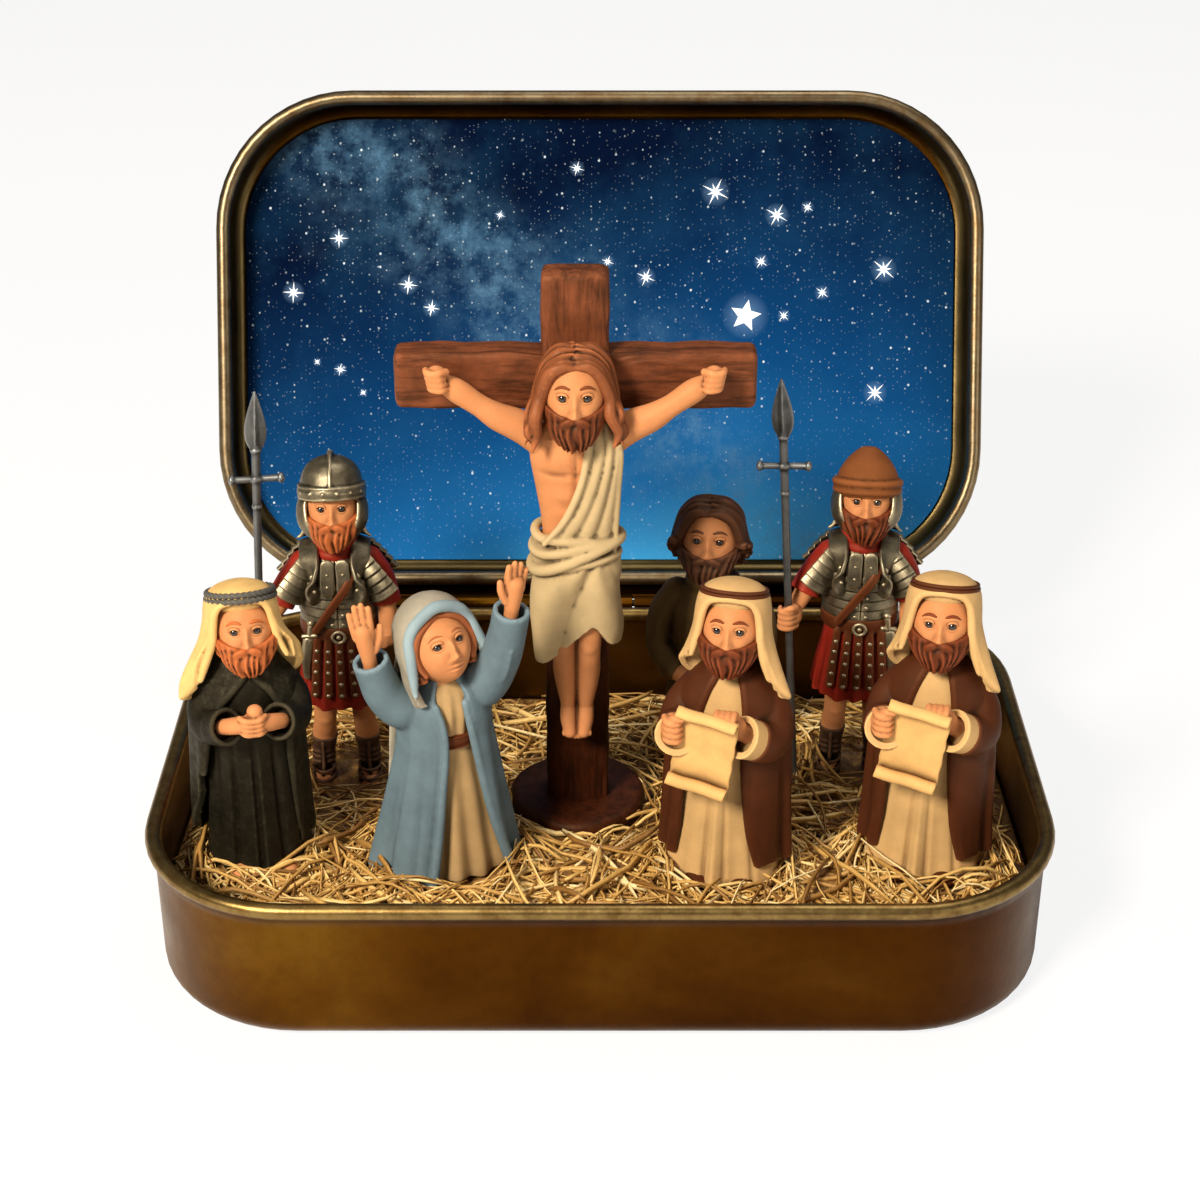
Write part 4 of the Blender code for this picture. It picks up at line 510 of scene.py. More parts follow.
def night_sky():
    """A gradient from near black to blue, a slanting milky band, dust of three sizes and a glow round each star."""
    look, tree, shader = new_look("night sky print")
    shader.inputs["Roughness"].default_value = 0.6
    shader.inputs["Specular IOR Level"].default_value = 0.0
    where = add(tree, "ShaderNodeTexCoord")
    where.name = "where"
    parts = add(tree, "ShaderNodeSeparateXYZ", [(where.outputs["Object"], "Vector")])
    rise = add(tree, "ShaderNodeMapRange", [(parts.outputs["Z"], "Value")])
    rise.inputs["From Min"].default_value = on_card(0, 2)[2] / 1000
    rise.inputs["From Max"].default_value = on_card(0, 62)[2] / 1000
    shifted = add(tree, "ShaderNodeMath", [(parts.outputs["X"], 0)], operation="SUBTRACT")
    shifted.inputs[1].default_value = 0.020
    side = add(tree, "ShaderNodeMath", [(shifted.outputs[0], 0)], operation="ABSOLUTE")
    dark = add(tree, "ShaderNodeMath", [(side.outputs[0], 0), (rise.outputs[0], 2)], operation="MULTIPLY_ADD")
    dark.inputs[1].default_value = 5.0
    sky = ramp(tree, dark.outputs[0], [
        (0.0, (0.075, 0.50, 1.0)), (0.27, (0.011, 0.130, 0.38)), (0.50, (0.0035, 0.050, 0.175)),
        (0.78, (0.0025, 0.019, 0.070)), (1.0, (0.0015, 0.005, 0.022)),
    ])
    slant = add(tree, "ShaderNodeVectorMath", [(where.outputs["Object"], 0)], operation="DOT_PRODUCT")
    slant.inputs[1].default_value = (0.62, 0.0, 0.78)
    waver = add(
        tree, "ShaderNodeMath", [(noise(tree, 0.06, 3, 0.5), 0), (slant.outputs["Value"], 2)],
        operation="MULTIPLY_ADD",
    )
    waver.inputs[1].default_value = 0.02
    band = add(tree, "ShaderNodeMath", [(waver.outputs[0], 0)], operation="SUBTRACT")
    band.inputs[1].default_value = 0.042
    away = add(tree, "ShaderNodeMath", [(band.outputs[0], 0)], operation="ABSOLUTE")
    faded = add(tree, "ShaderNodeMapRange", [(away.outputs[0], "Value")], interpolation_type="SMOOTHSTEP")
    faded.inputs["From Max"].default_value = 0.013
    width = ramp(tree, faded.outputs[0], [(0.0, 0.85), (0.4, 0.4), (1.0, 0.0)])
    cloud = ramp(tree, noise(tree, 0.30, 10, 0.72), [(0.42, 0.05), (0.56, 0.45), (0.72, 1.0)])
    sky = mixed(tree, mixed(tree, 1.0, width, cloud, "MULTIPLY"), sky, (0.095, 0.215, 0.36))
    veil = ramp(tree, noise(tree, 0.08, 7, 0.62), [(0.42, 0.0), (0.75, 0.16)])
    sky = mixed(tree, veil, sky, (0.02, 0.13, 0.30))
    flat = add(tree, "ShaderNodeCombineXYZ", [(parts.outputs["X"], "X"), (parts.outputs["Z"], "Y")])
    for scale, reach, most, least in (
        (420.0, 0.075, 1.0, 0.72), (900.0, 0.12, 0.55, 0.74), (1900.0, 0.17, 0.22, 0.68),
    ):
        cell = add(tree, "ShaderNodeTexVoronoi", [(flat.outputs[0], "Vector")], voronoi_dimensions="2D")
        cell.inputs["Scale"].default_value = scale
        point = ramp(tree, cell.outputs["Distance"], [(0.0, 1.0), (reach * 0.6, 0.7), (reach, 0.0)])
        pick = add(tree, "ShaderNodeSeparateColor", [(cell.outputs["Color"], 0)])
        chosen = ramp(tree, pick.outputs[0], [(least, 0.0), (least + 0.12, 0.35 * most), (1.0, most)])
        sky = mixed(tree, mixed(tree, 1.0, point, chosen, "MULTIPLY"), sky, (0.72, 0.86, 1.0))
    for across, up, size in (*BRIGHT_STARS, GUIDE_STAR):
        near = add(tree, "ShaderNodeVectorMath", [(where.outputs["Object"], 0)], operation="DISTANCE")
        near.inputs[1].default_value = on_card(across, up) / 1000
        shine = add(tree, "ShaderNodeMapRange", [(near.outputs["Value"], "Value")])
        shine.inputs["From Max"].default_value = 0.0015 * size
        glow = ramp(tree, shine.outputs[0], [(0.0, 0.7), (0.4, 0.16), (1.0, 0.0)])
        sky = mixed(tree, glow, sky, (0.30, 0.55, 0.95))
    tree.links.new(sky, shader.inputs["Base Color"])
    return look


card_loops = round_rectangle(
    *LID_SIZE, CARD_INSET + np.array([0.1, 0.0, 0.0, 0.1]),
    CARD_LEVEL + CARD_THICK * np.array([-1.0, -0.8, -0.2, 0.0]),
)
card_points, card_quads = grid_shell(card_loops)
piece(
    "night_sky_card", [(to_lid(card_points - [0, HINGE_AT[1], 0]), card_quads)], night_sky(), "lid", ["sky_card"],
    smooth=False,
)


def star_shell(across, up, size, points, waist, turn):
    """A flat star: long rays with waists between them, every other ray shorter, standing 0.02 mm off the card."""
    angle = np.linspace(0, 2 * np.pi, 2 * points, endpoint=False)
    step = np.arange(2 * points)
    reach = np.where(step % 2 == 0, np.where((step % 4 == 0) | (points == 5), 1.0, 0.6), waist) * size
    rim = [across + reach * np.sin(angle + turn), up + reach * np.cos(angle + turn)]
    loops = np.stack([on_card(*rim, lift) for lift in (-0.05, 0.02)])
    return grid_shell(loops)


ink, ink_tree, ink_shader = new_look("white ink")
ink_colour_and_glow = ramp(ink_tree, noise(ink_tree, 1.2, 2, 0.5), [(0.3, (0.80, 0.90, 1.0)), (0.6, (0.96, 0.98, 1.0))])
ink_tree.links.new(ink_colour_and_glow, ink_shader.inputs["Base Color"])
# Painted glow: the ink gives off a faint light of its own colour.
ink_tree.links.new(ink_colour_and_glow, ink_shader.inputs["Emission Color"])
ink_shader.inputs["Emission Strength"].default_value = 0.35
ink_shader.inputs["Roughness"].default_value = 0.5
stars = [star_shell(x, z, 1.45 * size, 8, 0.2, 0.05 * k) for k, (x, z, size) in enumerate(BRIGHT_STARS)]
stars.append(star_shell(*GUIDE_STAR[:2], GUIDE_STAR[2], 5, 0.45, 0.2))
piece("ink_stars", stars, ink, "lid", (), smooth=False)

# Straw
# Dry grass cut short and scattered over a bed of the same straw, held down by the feet of the figures. The bed is
# painted darker than the loose strands, as painted shade under them.

STRAW_FRONT, STRAW_BACK, STRAW_SLOPE, STRAW_NEST = 10.0, 5.0, 0.7, 0.3
PLACES = {
    "elder": (-38.2, -11.8, 11.0, 12.0), "mary": (-16.9, -12.8, 11.0, 16.0), "scribe": (14.0, -14.2, 11.0, -12.0),
    "reader": (36.3, -12.9, 11.0, -12.0), "sentry": (-30.7, 11.0, 6.0, 4.0), "guard": (30.8, 12.8, 6.0, -6.0),
    "onlooker": (13.4, 14.8, 6.0, -8.0), "crucifix": (-2.6, 1.5, 8.0, 0.0),
}
SEATS = (
    ("elder", 6.2), ("mary", 8.3), ("scribe", 7.3), ("reader", 7.3), ("sentry", 5.0), ("guard", 5.0),
    ("onlooker", 6.2), ("crucifix", 7.9),
)


def straw_height(x, y):
    """Height of the straw: a slope from front to back, with a mound of one slope round each figure's foot."""
    level = STRAW_FRONT + (STRAW_BACK - STRAW_FRONT) * (y + TIN_DEPTH / 2) / TIN_DEPTH
    for name, radius in SEATS:
        px, py, foot, _ = PLACES[name]
        away = np.maximum(np.hypot(x - px, y - py) - radius, 0.0)
        level = np.maximum(level, foot + STRAW_NEST - STRAW_SLOPE * away)
    return level


def dry_straw(spread):
    """Straw: each strand has its own tint from brown through gold to cream, with fine stripes along it. The bed under
    them takes far darker browns, painted shade.
    """
    look, tree, shader = new_look("dry straw")
    if spread:
        tint = add(tree, "ShaderNodeAttribute", attribute_name="tint").outputs["Fac"]
    else:
        tint = noise(tree, 0.9, 6, 0.75, (1, 1, 0.3))
    # The bed under the strands takes far darker browns than the strands themselves: painted shade.
    tone = ramp(
        tree, tint,
        [
            (0.0, (0.22, 0.095, 0.018)), (0.25, (0.46, 0.24, 0.055)), (0.55, (0.76, 0.46, 0.13)),
            (0.8, (0.90, 0.62, 0.23)), (1.0, (0.95, 0.76, 0.40)),
        ] if spread else [(0.3, (0.06, 0.024, 0.005)), (0.5, (0.22, 0.10, 0.022)), (0.7, (0.46, 0.26, 0.07))],
    )
    grain = ramp(tree, noise(tree, 2.2, 3, 0.6), [(0.3, 0.72), (0.7, 1.0)])
    tree.links.new(mixed(tree, 1.0, tone, grain, "MULTIPLY"), shader.inputs["Base Color"])
    shader.inputs["Roughness"].default_value = 0.5
    bumped(tree, shader, noise(tree, 1.4, 5, 0.7), 0.6 if not spread else 0.15, 0.35)
    return look


def straw_surface():
    """Loops of the tin's outline drawn in step by step, each point at the straw's height with small waves added."""
    edge = BEAD + SHEET + 0.3
    insets = np.concatenate([[edge + BOTTOM_ROUND, edge], np.linspace(edge, 31.0, 70)])
    loops = round_rectangle(TIN_WIDTH, TIN_DEPTH, insets, 0.7 + 0 * insets, 40)
    x, y = loops[2:, :, 0], loops[2:, :, 1]
    waves = np.sin(x * 2.1 + 1.7 * np.sin(y * 1.3)) * np.sin(y * 2.7 + 1.1 * np.sin(x * 1.9))
    loops[2:, :, 2] = straw_height(x, y) - 0.35 + 0.28 * waves
    loops[1, :, 2] = BOTTOM_ROUND
    return loops


piece("straw_ground", [grid_shell(straw_surface())], dry_straw(False), "base", ["straw_bed"])


def strands(count, seed, longest, thickest, rise):
    """Thin three-sided stalks. Each bends along a circle arc on the ground, and arches up between its two ends."""
    pick = np.random.default_rng(seed)
    x = pick.uniform(-47.5, 47.5, count)
    y = np.where(pick.random(count) < 0.62, pick.uniform(-30.8, -9.0, count), pick.uniform(-30.8, 30.0, count))
    heading = pick.uniform(0, 2 * np.pi, count)
    length = pick.uniform(0.35, 1.0, count) ** 1.2 * longest
    bend = pick.normal(0, 0.17, count)
    step = np.linspace(-0.5, 0.5, 6)[None, :]
    turn = heading[:, None] + bend[:, None] * step * 2
    px = x[:, None] + length[:, None] * step * np.cos(turn)
    py = y[:, None] + length[:, None] * step * np.sin(turn)
    lift = pick.uniform(0.05, 1.0, count) ** 1.6 * rise
    arch = pick.uniform(0.0, 1.1, count)[:, None] * (1 - 4 * step ** 2) + pick.normal(0, 0.9, count)[:, None] * step
    pz = straw_height(px, py) + lift[:, None] + arch
    inner = BEAD + SHEET + 0.35
    corner = TIN_CORNER - inner
    out_x = np.maximum(np.abs(px) - (TIN_WIDTH / 2 - inner - corner), 0)
    out_y = np.maximum(np.abs(py) - (TIN_DEPTH / 2 - inner - corner), 0)
    kept = (np.hypot(out_x, out_y) < corner).all(axis=1) & (pz.max(axis=1) < 15.5)
    for name, radius in SEATS:
        sx, sy, foot, _ = PLACES[name]
        near = np.hypot(px - sx, py - sy) < radius - 0.9
        kept &= ~(near & (pz > foot - 0.2)).any(axis=1)
    path = np.stack([px, py, pz], axis=2)[kept]
    ahead = np.gradient(path, axis=1)
    side = np.stack([-ahead[..., 1], ahead[..., 0], 0 * ahead[..., 0]], axis=2)
    side /= np.linalg.norm(side, axis=2, keepdims=True)
    over = np.cross(ahead / np.linalg.norm(ahead, axis=2, keepdims=True), side)
    thick = pick.uniform(
        0.09, thickest, len(path),
    )[:, None, None, None] * np.array([0.55, 1, 1, 1, 1, 0.5])[:, None, None]
    around = np.radians([90, 210, 330])[None, None, :, None]
    points = path[:, :, None] + thick * (np.cos(around) * side[:, :, None] + np.sin(around) * over[:, :, None])
    return points, pick.random(len(path))


def strand_mesh(points):
    """Quads along each stalk, and a triangle over each of its ends."""
    count, rows, sides = points.shape[:3]
    index = np.arange(count * rows * sides).reshape(count, rows, sides)
    near, far = index[:, :-1], index[:, 1:]
    quads = np.stack([near, np.roll(near, -1, 2), np.roll(far, -1, 2), far], axis=3).reshape(-1, 4)
    ends = np.concatenate([index[:, 0, ::-1], index[:, -1]])
    return quads, ends


def straw_piece(name, count, seed, longest, thickest, rise, look):
    """The stalks as one mesh on the base, with each stalk's tint kept on its points."""
    points, tint = strands(count, seed, longest, thickest, rise)
    quads, ends = strand_mesh(points)
    mesh = bpy.data.meshes.new(name)
    mesh.vertices.add(points.size // 3)
    mesh.vertices.foreach_set("co", (points * 0.001).astype(np.float32).ravel())
    corners = np.concatenate([quads.ravel(), ends.ravel()]).astype(np.int32)
    mesh.loops.add(len(corners))
    mesh.loops.foreach_set("vertex_index", corners)
    starts = np.concatenate([np.arange(len(quads)) * 4, quads.size + np.arange(len(ends)) * 3])
    mesh.polygons.add(len(starts))
    mesh.polygons.foreach_set("loop_start", starts.astype(np.int32))
    mesh.update(calc_edges=True)
    mesh.validate()
    mesh.attributes.new("tint", "FLOAT", "POINT").data.foreach_set(
        "value", np.repeat(tint, points.shape[1] * points.shape[2]).astype(np.float32))
    mesh.polygons.foreach_set("use_smooth", np.ones(len(mesh.polygons), bool))
    mesh.materials.append(look)
    thing = bpy.data.objects.new(name, mesh)
    bpy.context.scene.collection.objects.link(thing)
    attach(thing, "base")


STRAND_LOOK = dry_straw(True)
straw_piece("straw_long", 3900, 5, 20.0, 0.26, 1.4, STRAND_LOOK)
straw_piece("straw_short", 3000, 8, 9.0, 0.22, 1.2, STRAND_LOOK)
straw_piece("straw_loose", 900, 9, 17.0, 0.38, 2.6, STRAND_LOOK)

# Crucifix
# Two squared bars of reddish brown clay with scored wood grain, halved into each other and let into a round plinth.


def clay(
    name, tone, dark=0.35, light=1.35, mottle=0.25, grain=0.5, rough=0.62, skin=0.0, streak=None, rubbed=0.0,
    foot=None,
):
    """Painted polymer clay: a mottled tone, darker in its creases and hollows as a brown wash and painted shade,
    edges lightened as rubbed paint and a painted highlight, and a fine uneven surface. Streak stretches its grain,
    and foot is the pair of heights between which it darkens towards its foot, a painted shadow."""
    look, tree, shader = new_look(name)
    tone = np.array(tone)
    worn_and_highlight = tuple(np.minimum(tone * light + [0.010, 0.006, 0.003], 1))
    cloud = ramp(
        tree, noise(tree, 0.35, 5, 0.6), [(0.3, tone * (1 - mottle)), (0.7, np.minimum(tone * (1 + mottle), 1))],
    )
    bend = add(tree, "ShaderNodeAttribute", attribute_name="relief").outputs["Fac"]
    # Brown wash and painted shade: the tone darkens where the skin bends inwards.
    crease = ramp(tree, bend, [(0.22, dark), (0.46, 1.0)])
    colour = mixed(tree, 1.0, cloud, crease, "MULTIPLY")
    # Rubbed paint and painted highlight: the tone lightens where the skin bends outwards.
    edge = ramp(tree, bend, [(0.60, 0.0), (0.86, 1.0)])
    colour = mixed(tree, edge, colour, worn_and_highlight)
    if rubbed:
        colour = mixed(tree, ramp(tree, noise(tree, 1.5, 7, 0.78), [(0.48, 0.0), (0.66, rubbed)]), colour, worn_and_highlight)
    # Painted shade with a brown wash: the tone darkens where nearby clay shuts the hollows in.
    hollow = add(tree, "ShaderNodeAmbientOcclusion", only_local=True, samples=6)
    hollow.inputs["Distance"].default_value = 0.0019
    hollow_shade = ramp(
        tree, hollow.outputs["AO"],
        [(0.36, (0.30 * dark + 0.06, 0.20 * dark + 0.03, 0.14 * dark + 0.02)), (0.86, 1.0)],
    )
    colour = mixed(tree, 1.0, colour, hollow_shade, "MULTIPLY")
    if streak:
        lines = ramp(tree, noise(tree, 1.1, 4, 0.7, streak, 0.3), [(0.38, 0.42), (0.56, 1.0)])
        colour = mixed(tree, 1.0, colour, lines, "MULTIPLY")
    # Painted shadow: the tone darkens towards the foot between the two heights.
    if foot:
        parts = add(tree, "ShaderNodeSeparateXYZ", [(tree.nodes["where"].outputs["Object"], "Vector")])
        rise = add(tree, "ShaderNodeMapRange", [(parts.outputs["Z"], "Value")])
        rise.inputs["From Min"].default_value, rise.inputs["From Max"].default_value = foot[0] / 1000, foot[1] / 1000
        colour = mixed(
            tree, 1.0, colour, ramp(tree, rise.outputs[0], [(0.0, (0.30, 0.22, 0.16)), (1.0, (1.0, 1.0, 1.0))]),
            "MULTIPLY",
        )
    tree.links.new(colour, shader.inputs["Base Color"])
    tree.links.new(
        ramp(tree, noise(tree, 0.8, 3), [(0.3, rough - 0.08), (0.7, rough + 0.1)]), shader.inputs["Roughness"],
    )
    shader.inputs["Specular IOR Level"].default_value = 0.22
    shader.inputs["Specular Tint"].default_value = (1.0, 0.78, 0.55, 1)
    if skin:
        shader.inputs["Subsurface Weight"].default_value = skin
        shader.inputs["Subsurface Radius"].default_value = (0.0012, 0.0005, 0.0003)
        shader.inputs["Subsurface Scale"].default_value = 1.0
    bumped(tree, shader, noise(tree, 2.6, 5, 0.65), grain, 0.09)
    return look


WOOD_FINISH = dict(tone=(0.150, 0.042, 0.016), dark=0.25, light=1.9, mottle=0.35, grain=0.6, rough=0.55)
# The mast and plinth darken towards their foot: a painted shadow under the drape and legs.
WOOD = clay("wood clay", **WOOD_FINISH, streak=(1, 1, 0.09), foot=(22, 40))
WOOD_ACROSS = clay("wood clay across", **WOOD_FINISH, streak=(0.09, 1, 1))
SKIN = clay("skin clay", (0.55, 0.222, 0.088), 0.4, 1.12, 0.08, 0.25, 0.5, skin=0.1)
# The hair clay at about half its tone, for the crucified figure's beard: painted shade under the head.
SHADED_BEARD = clay("shaded beard clay", (0.092, 0.022, 0.007), 0.22, 2.0, 0.2, 0.3, 0.5)
HAIR = clay("hair clay", (0.178, 0.053, 0.019), 0.22, 2.0, 0.2, 0.3, 0.5)
CREAM = clay("cream clay", (0.49, 0.36, 0.19), 0.35, 1.15, 0.1, 0.35, 0.6)


def eased(table, count):
    """Rows of numbers made smooth: a cubic curve that goes through each row, read at evenly spaced steps."""
    table = np.asarray(table, float)
    if table.ndim == 1:
        table = table[:, None]
    ends = np.concatenate([2 * table[:1] - table[1:2], table, 2 * table[-1:] - table[-2:-1]])
    step = np.linspace(0, len(table) - 1, count)
    k = np.minimum(step.astype(int), len(table) - 2)
    f = (step - k)[:, None]
    a, b, c, d = (ends[k + j] for j in range(4))
    return b + 0.5 * f * (c - a + f * (2 * a - 5 * b + 4 * c - d + f * (3 * (b - c) + d - a)))


def ridge(value, middle, spread):
    """A bell curve of height one round the middle."""
    return np.exp(-(((value - middle) / spread) ** 2))


def turned(levels, rows=90, columns=120, folds=None):
    """Ovals set on each other. Levels are (z, half width, half depth, y, x). Folds push a point out or up."""
    z, wide, deep, y, x = (column[:, None] for column in eased([(*level, 0.0, 0.0)[:5] for level in levels], rows).T)
    angle = np.linspace(-np.pi, np.pi, columns, endpoint=False)[None, :]
    out, up = folds(angle, z) if folds else (0.0, 0.0)
    return np.stack([
        x + (wide + out) * np.sin(angle), y - (deep + out) * np.cos(angle), z + up + 0 * angle,
    ], axis=2)


def walled(outer, middle, inner):
    """A sheet with a thickness: along its outer face, back along its inner one, closed on its middle at both ends."""
    grid = np.concatenate([outer, inner[:, ::-1]], axis=1)
    closing = np.concatenate([middle, middle[:, ::-1]], axis=1)
    return grid_shell(np.concatenate([closing[:1], grid, closing[-1:]]), capped=False)


def coat(levels, thick, gaps, rows=90, columns=110, folds=None):
    """A cloth shell open at the front: an oval arc from the right edge round the back to the left, and its inside.
    Gaps are (z, left angle, right angle) in degrees from the front."""
    z, wide, deep, y, x = (column[:, None] for column in eased([(*level, 0.0, 0.0)[:5] for level in levels], rows).T)
    gaps = np.array(gaps, float)
    left, right = (np.radians(np.interp(z, gaps[:, 0], gaps[:, k])) for k in (1, 2))
    share = np.linspace(0, 1, columns)[None, :]
    angle = right + share * (2 * np.pi - left - right)
    told = np.where(angle > np.pi, angle - 2 * np.pi, angle)
    out, up = folds(told, z) if folds else (0.0, 0.0)

    def skin(drawn):
        return np.stack([
            x + (wide + out - drawn) * np.sin(angle), y - (deep + out - drawn) * np.cos(angle), z + up + 0 * angle,
        ], axis=2)

    return walled(skin(0.0), skin(thick / 2), skin(thick))


def tube(path, radii, ref=(0, 1, 0), count=24, sides=16, flat=1.0, hollow=None, square=1.0):
    """A smooth pipe: circles square to a smooth path, with rounded tips. A hollow one turns back inside its mouth.
    Square under one makes its section a rounded box."""
    path = eased(path, count)
    radius = eased(radii, count)[:, 0] if np.ndim(radii) else np.full(count, float(radii))
    ahead = np.gradient(path, axis=0)
    ahead /= np.linalg.norm(ahead, axis=1, keepdims=True)
    side = np.cross(ahead, ref)
    side /= np.linalg.norm(side, axis=1, keepdims=True)
    over = np.cross(side, ahead)
    rows = np.arange(count)
    if hollow:
        wall, back = hollow
        inside = rows[::-1][:back]
        rows = np.concatenate([rows, inside])
        radius = np.concatenate([radius, radius[inside] - wall])
    shift = np.zeros(len(rows))
    turn = np.radians([75, 45, 20])
    rows = np.concatenate([[0] * 3, rows, [] if hollow else [rows[-1]] * 3]).astype(int)
    shift = np.concatenate([-radius[0] * np.sin(turn), shift, [] if hollow else radius[-1] * np.sin(turn[::-1])])
    radius = np.concatenate([radius[0] * np.cos(turn), radius, [] if hollow else radius[-1] * np.cos(turn[::-1])])
    angle = np.linspace(0, 2 * np.pi, sides, endpoint=False)[None, :, None]
    centre = path[rows] + ahead[rows] * shift[:, None]
    wide, tall = (np.sign(v) * np.abs(v) ** square for v in (np.cos(angle), np.sin(angle)))
    ring = wide * side[rows][:, None] + flat * tall * over[rows][:, None]
    return grid_shell(centre[:, None] + radius[:, None, None] * ring)


def blob(centre, size, lean=(0, 0, 0), rows=20, columns=28):
    """A rounded lump: an ellipsoid with its poles closed, leant by degrees about X, Y and Z."""
    up = np.linspace(-np.pi / 2, np.pi / 2, rows)[1:-1, None]
    angle = np.linspace(0, 2 * np.pi, columns, endpoint=False)[None, :]
    grid = np.stack([np.cos(up) * np.sin(angle), -np.cos(up) * np.cos(angle), np.sin(up) + 0 * angle], axis=2) * size
    points, quads = grid_shell(grid)
    points[:columns], points[-columns:] = (0, 0, -size[2]), (0, 0, size[2])
    return spin(points, lean) + np.array(centre), quads


def spin(points, lean, pivot=(0, 0, 0)):
    """Points turned by degrees about X, then Y, then Z, round a pivot."""
    turns = [Matrix.Rotation(np.radians(angle), 3, axis) for angle, axis in zip(lean, "XYZ")]
    return (points - np.array(pivot)) @ np.array(turns[2] @ turns[1] @ turns[0]).T + np.array(pivot)


def leant(shells, lean, pivot):
    """All shells turned together round a pivot."""
    return [(spin(points, lean, pivot), quads) for points, quads in shells]


def stood(name):
    """Carries a figure's points from its own foot to its place in the tin."""
    x, y, foot, turn = PLACES[name]
    return lambda points: spin(points, (0, 0, turn)) + np.array([x, y, foot])


def figure(name):
    """A maker of one figure's pieces: told from the figure's own foot, they move with it and stand at its place."""
    def made(part, shells, look, node, slot, voxel=None, rounds=4):
        nodes = [f"{name}_{node}"] if node else ()
        piece(f"{name}_{part}", shells, look, name, nodes, voxel, rounds, stood(name))

    return made


def bar(half_wide, half_deep, start, end, seed, across=False):
    """A squared bar with rounded corners and ends. Its scored grain is waves that drift slowly along it."""
    rows = int((end - start) / 0.22)
    angle = np.linspace(0, 2 * np.pi, 96, endpoint=False)[None, :]
    along = np.linspace(start, end, rows)[:, None]
    power = 0.24
    x = np.sign(np.cos(angle)) * np.abs(np.cos(angle)) ** power
    y = np.sign(np.sin(angle)) * np.abs(np.sin(angle)) ** power
    nearest = np.minimum(along - start, end - along)
    round_end = np.sqrt(np.clip(1 - (1 - np.clip(nearest / 0.9, 0, 1)) ** 2, 0, 1))
    drift = 0.35 * np.sin(along * 0.31 + seed) + 0.2 * np.sin(along * 0.83 + 2 * seed)
    flow = x * half_wide + y * half_deep + drift
    score = np.sin(flow * 4.1 + seed) * 0.5 + np.sin(flow * 7.3 + 1.7 * seed + 0.5 * np.sin(along * 0.55)) * 0.5
    score = 0.10 * score * (0.5 + 0.5 * np.sin(along * 0.21 + flow)) + 0.05 * np.sin(along * 0.9 + seed)
    wide = (half_wide - 0.7 * (1 - round_end)) + score
    deep = (half_deep - 0.7 * (1 - round_end)) + score
    grid = np.stack([x * wide, y * deep, along + 0 * angle], axis=2)
    if across:
        grid = grid[..., [2, 1, 0]]
    return grid_shell(grid)


crucifix = stood("crucifix")


def plinth_folds(angle, z):
    """A gently uneven rim, as rolled by hand."""
    return 0.10 * np.sin(3 * angle + 1) + 0.06 * np.sin(7 * angle + z), 0.03 * np.sin(5 * angle)


plinth = turned(
    [(0.0, 7.3, 7.3), (0.3, 7.8, 7.8), (1.3, 7.95, 7.95), (2.2, 7.75, 7.75), (2.6, 7.1, 7.1), (2.65, 5.5, 5.5)],
    40, 180, plinth_folds,
)
piece("plinth", [grid_shell(plinth)], WOOD, "crucifix", ["cross_plinth"], place=crucifix)
piece("mast", [bar(3.6, 2.0, 1.6, 67.5, 0.7)], WOOD, "crucifix", ["cross_upright"], place=crucifix)
piece(
    "beam", [(p + [0, 0, 55.4], q) for p, q in [bar(3.2, 2.05, -19.3, 19.3, 2.1, across=True)]], WOOD_ACROSS,
    "crucifix", ["cross_beam"], place=crucifix,
)

# Crucified figure
# One body of skin coloured clay on the cross, a head with long parted hair, and a cream drape wound round the hips.

CHEST_Y = -4.5


def trunk_folds(angle, z):
    """Chest muscles, collar bones, ribs, a navel and a line down the middle, as soft swellings of an oval trunk."""
    x = np.sin(angle) * 4.6
    front = np.clip(np.cos(angle), 0, 1)
    out = 0.50 * ridge(np.abs(x), 2.1, 1.5) * ridge(z, 48.3, 1.35)
    out = out - 0.38 * ridge(np.abs(x), 2.1, 1.8) * ridge(z, 46.7, 0.35)
    out = out - 0.30 * ridge(x, 0.0, 0.35) * ridge(z, 47.0, 3.4)
    out = out + 0.16 * ridge(np.abs(x), 1.3, 1.0) * (np.sin(z * 2.6) * ridge(z, 43.6, 2.2))
    out = out - 0.28 * ridge(x, 0.0, 0.28) * ridge(z, 41.6, 0.35)
    out = out + 0.22 * ridge(np.abs(x), 2.2, 1.4) * ridge(z, 50.6, 0.35)
    return out * front, 0 * angle


def sided(side, path):
    """A path told for the viewer's right, or with side -1 the same one on the left."""
    return np.array(path) * [side, 1, 1]


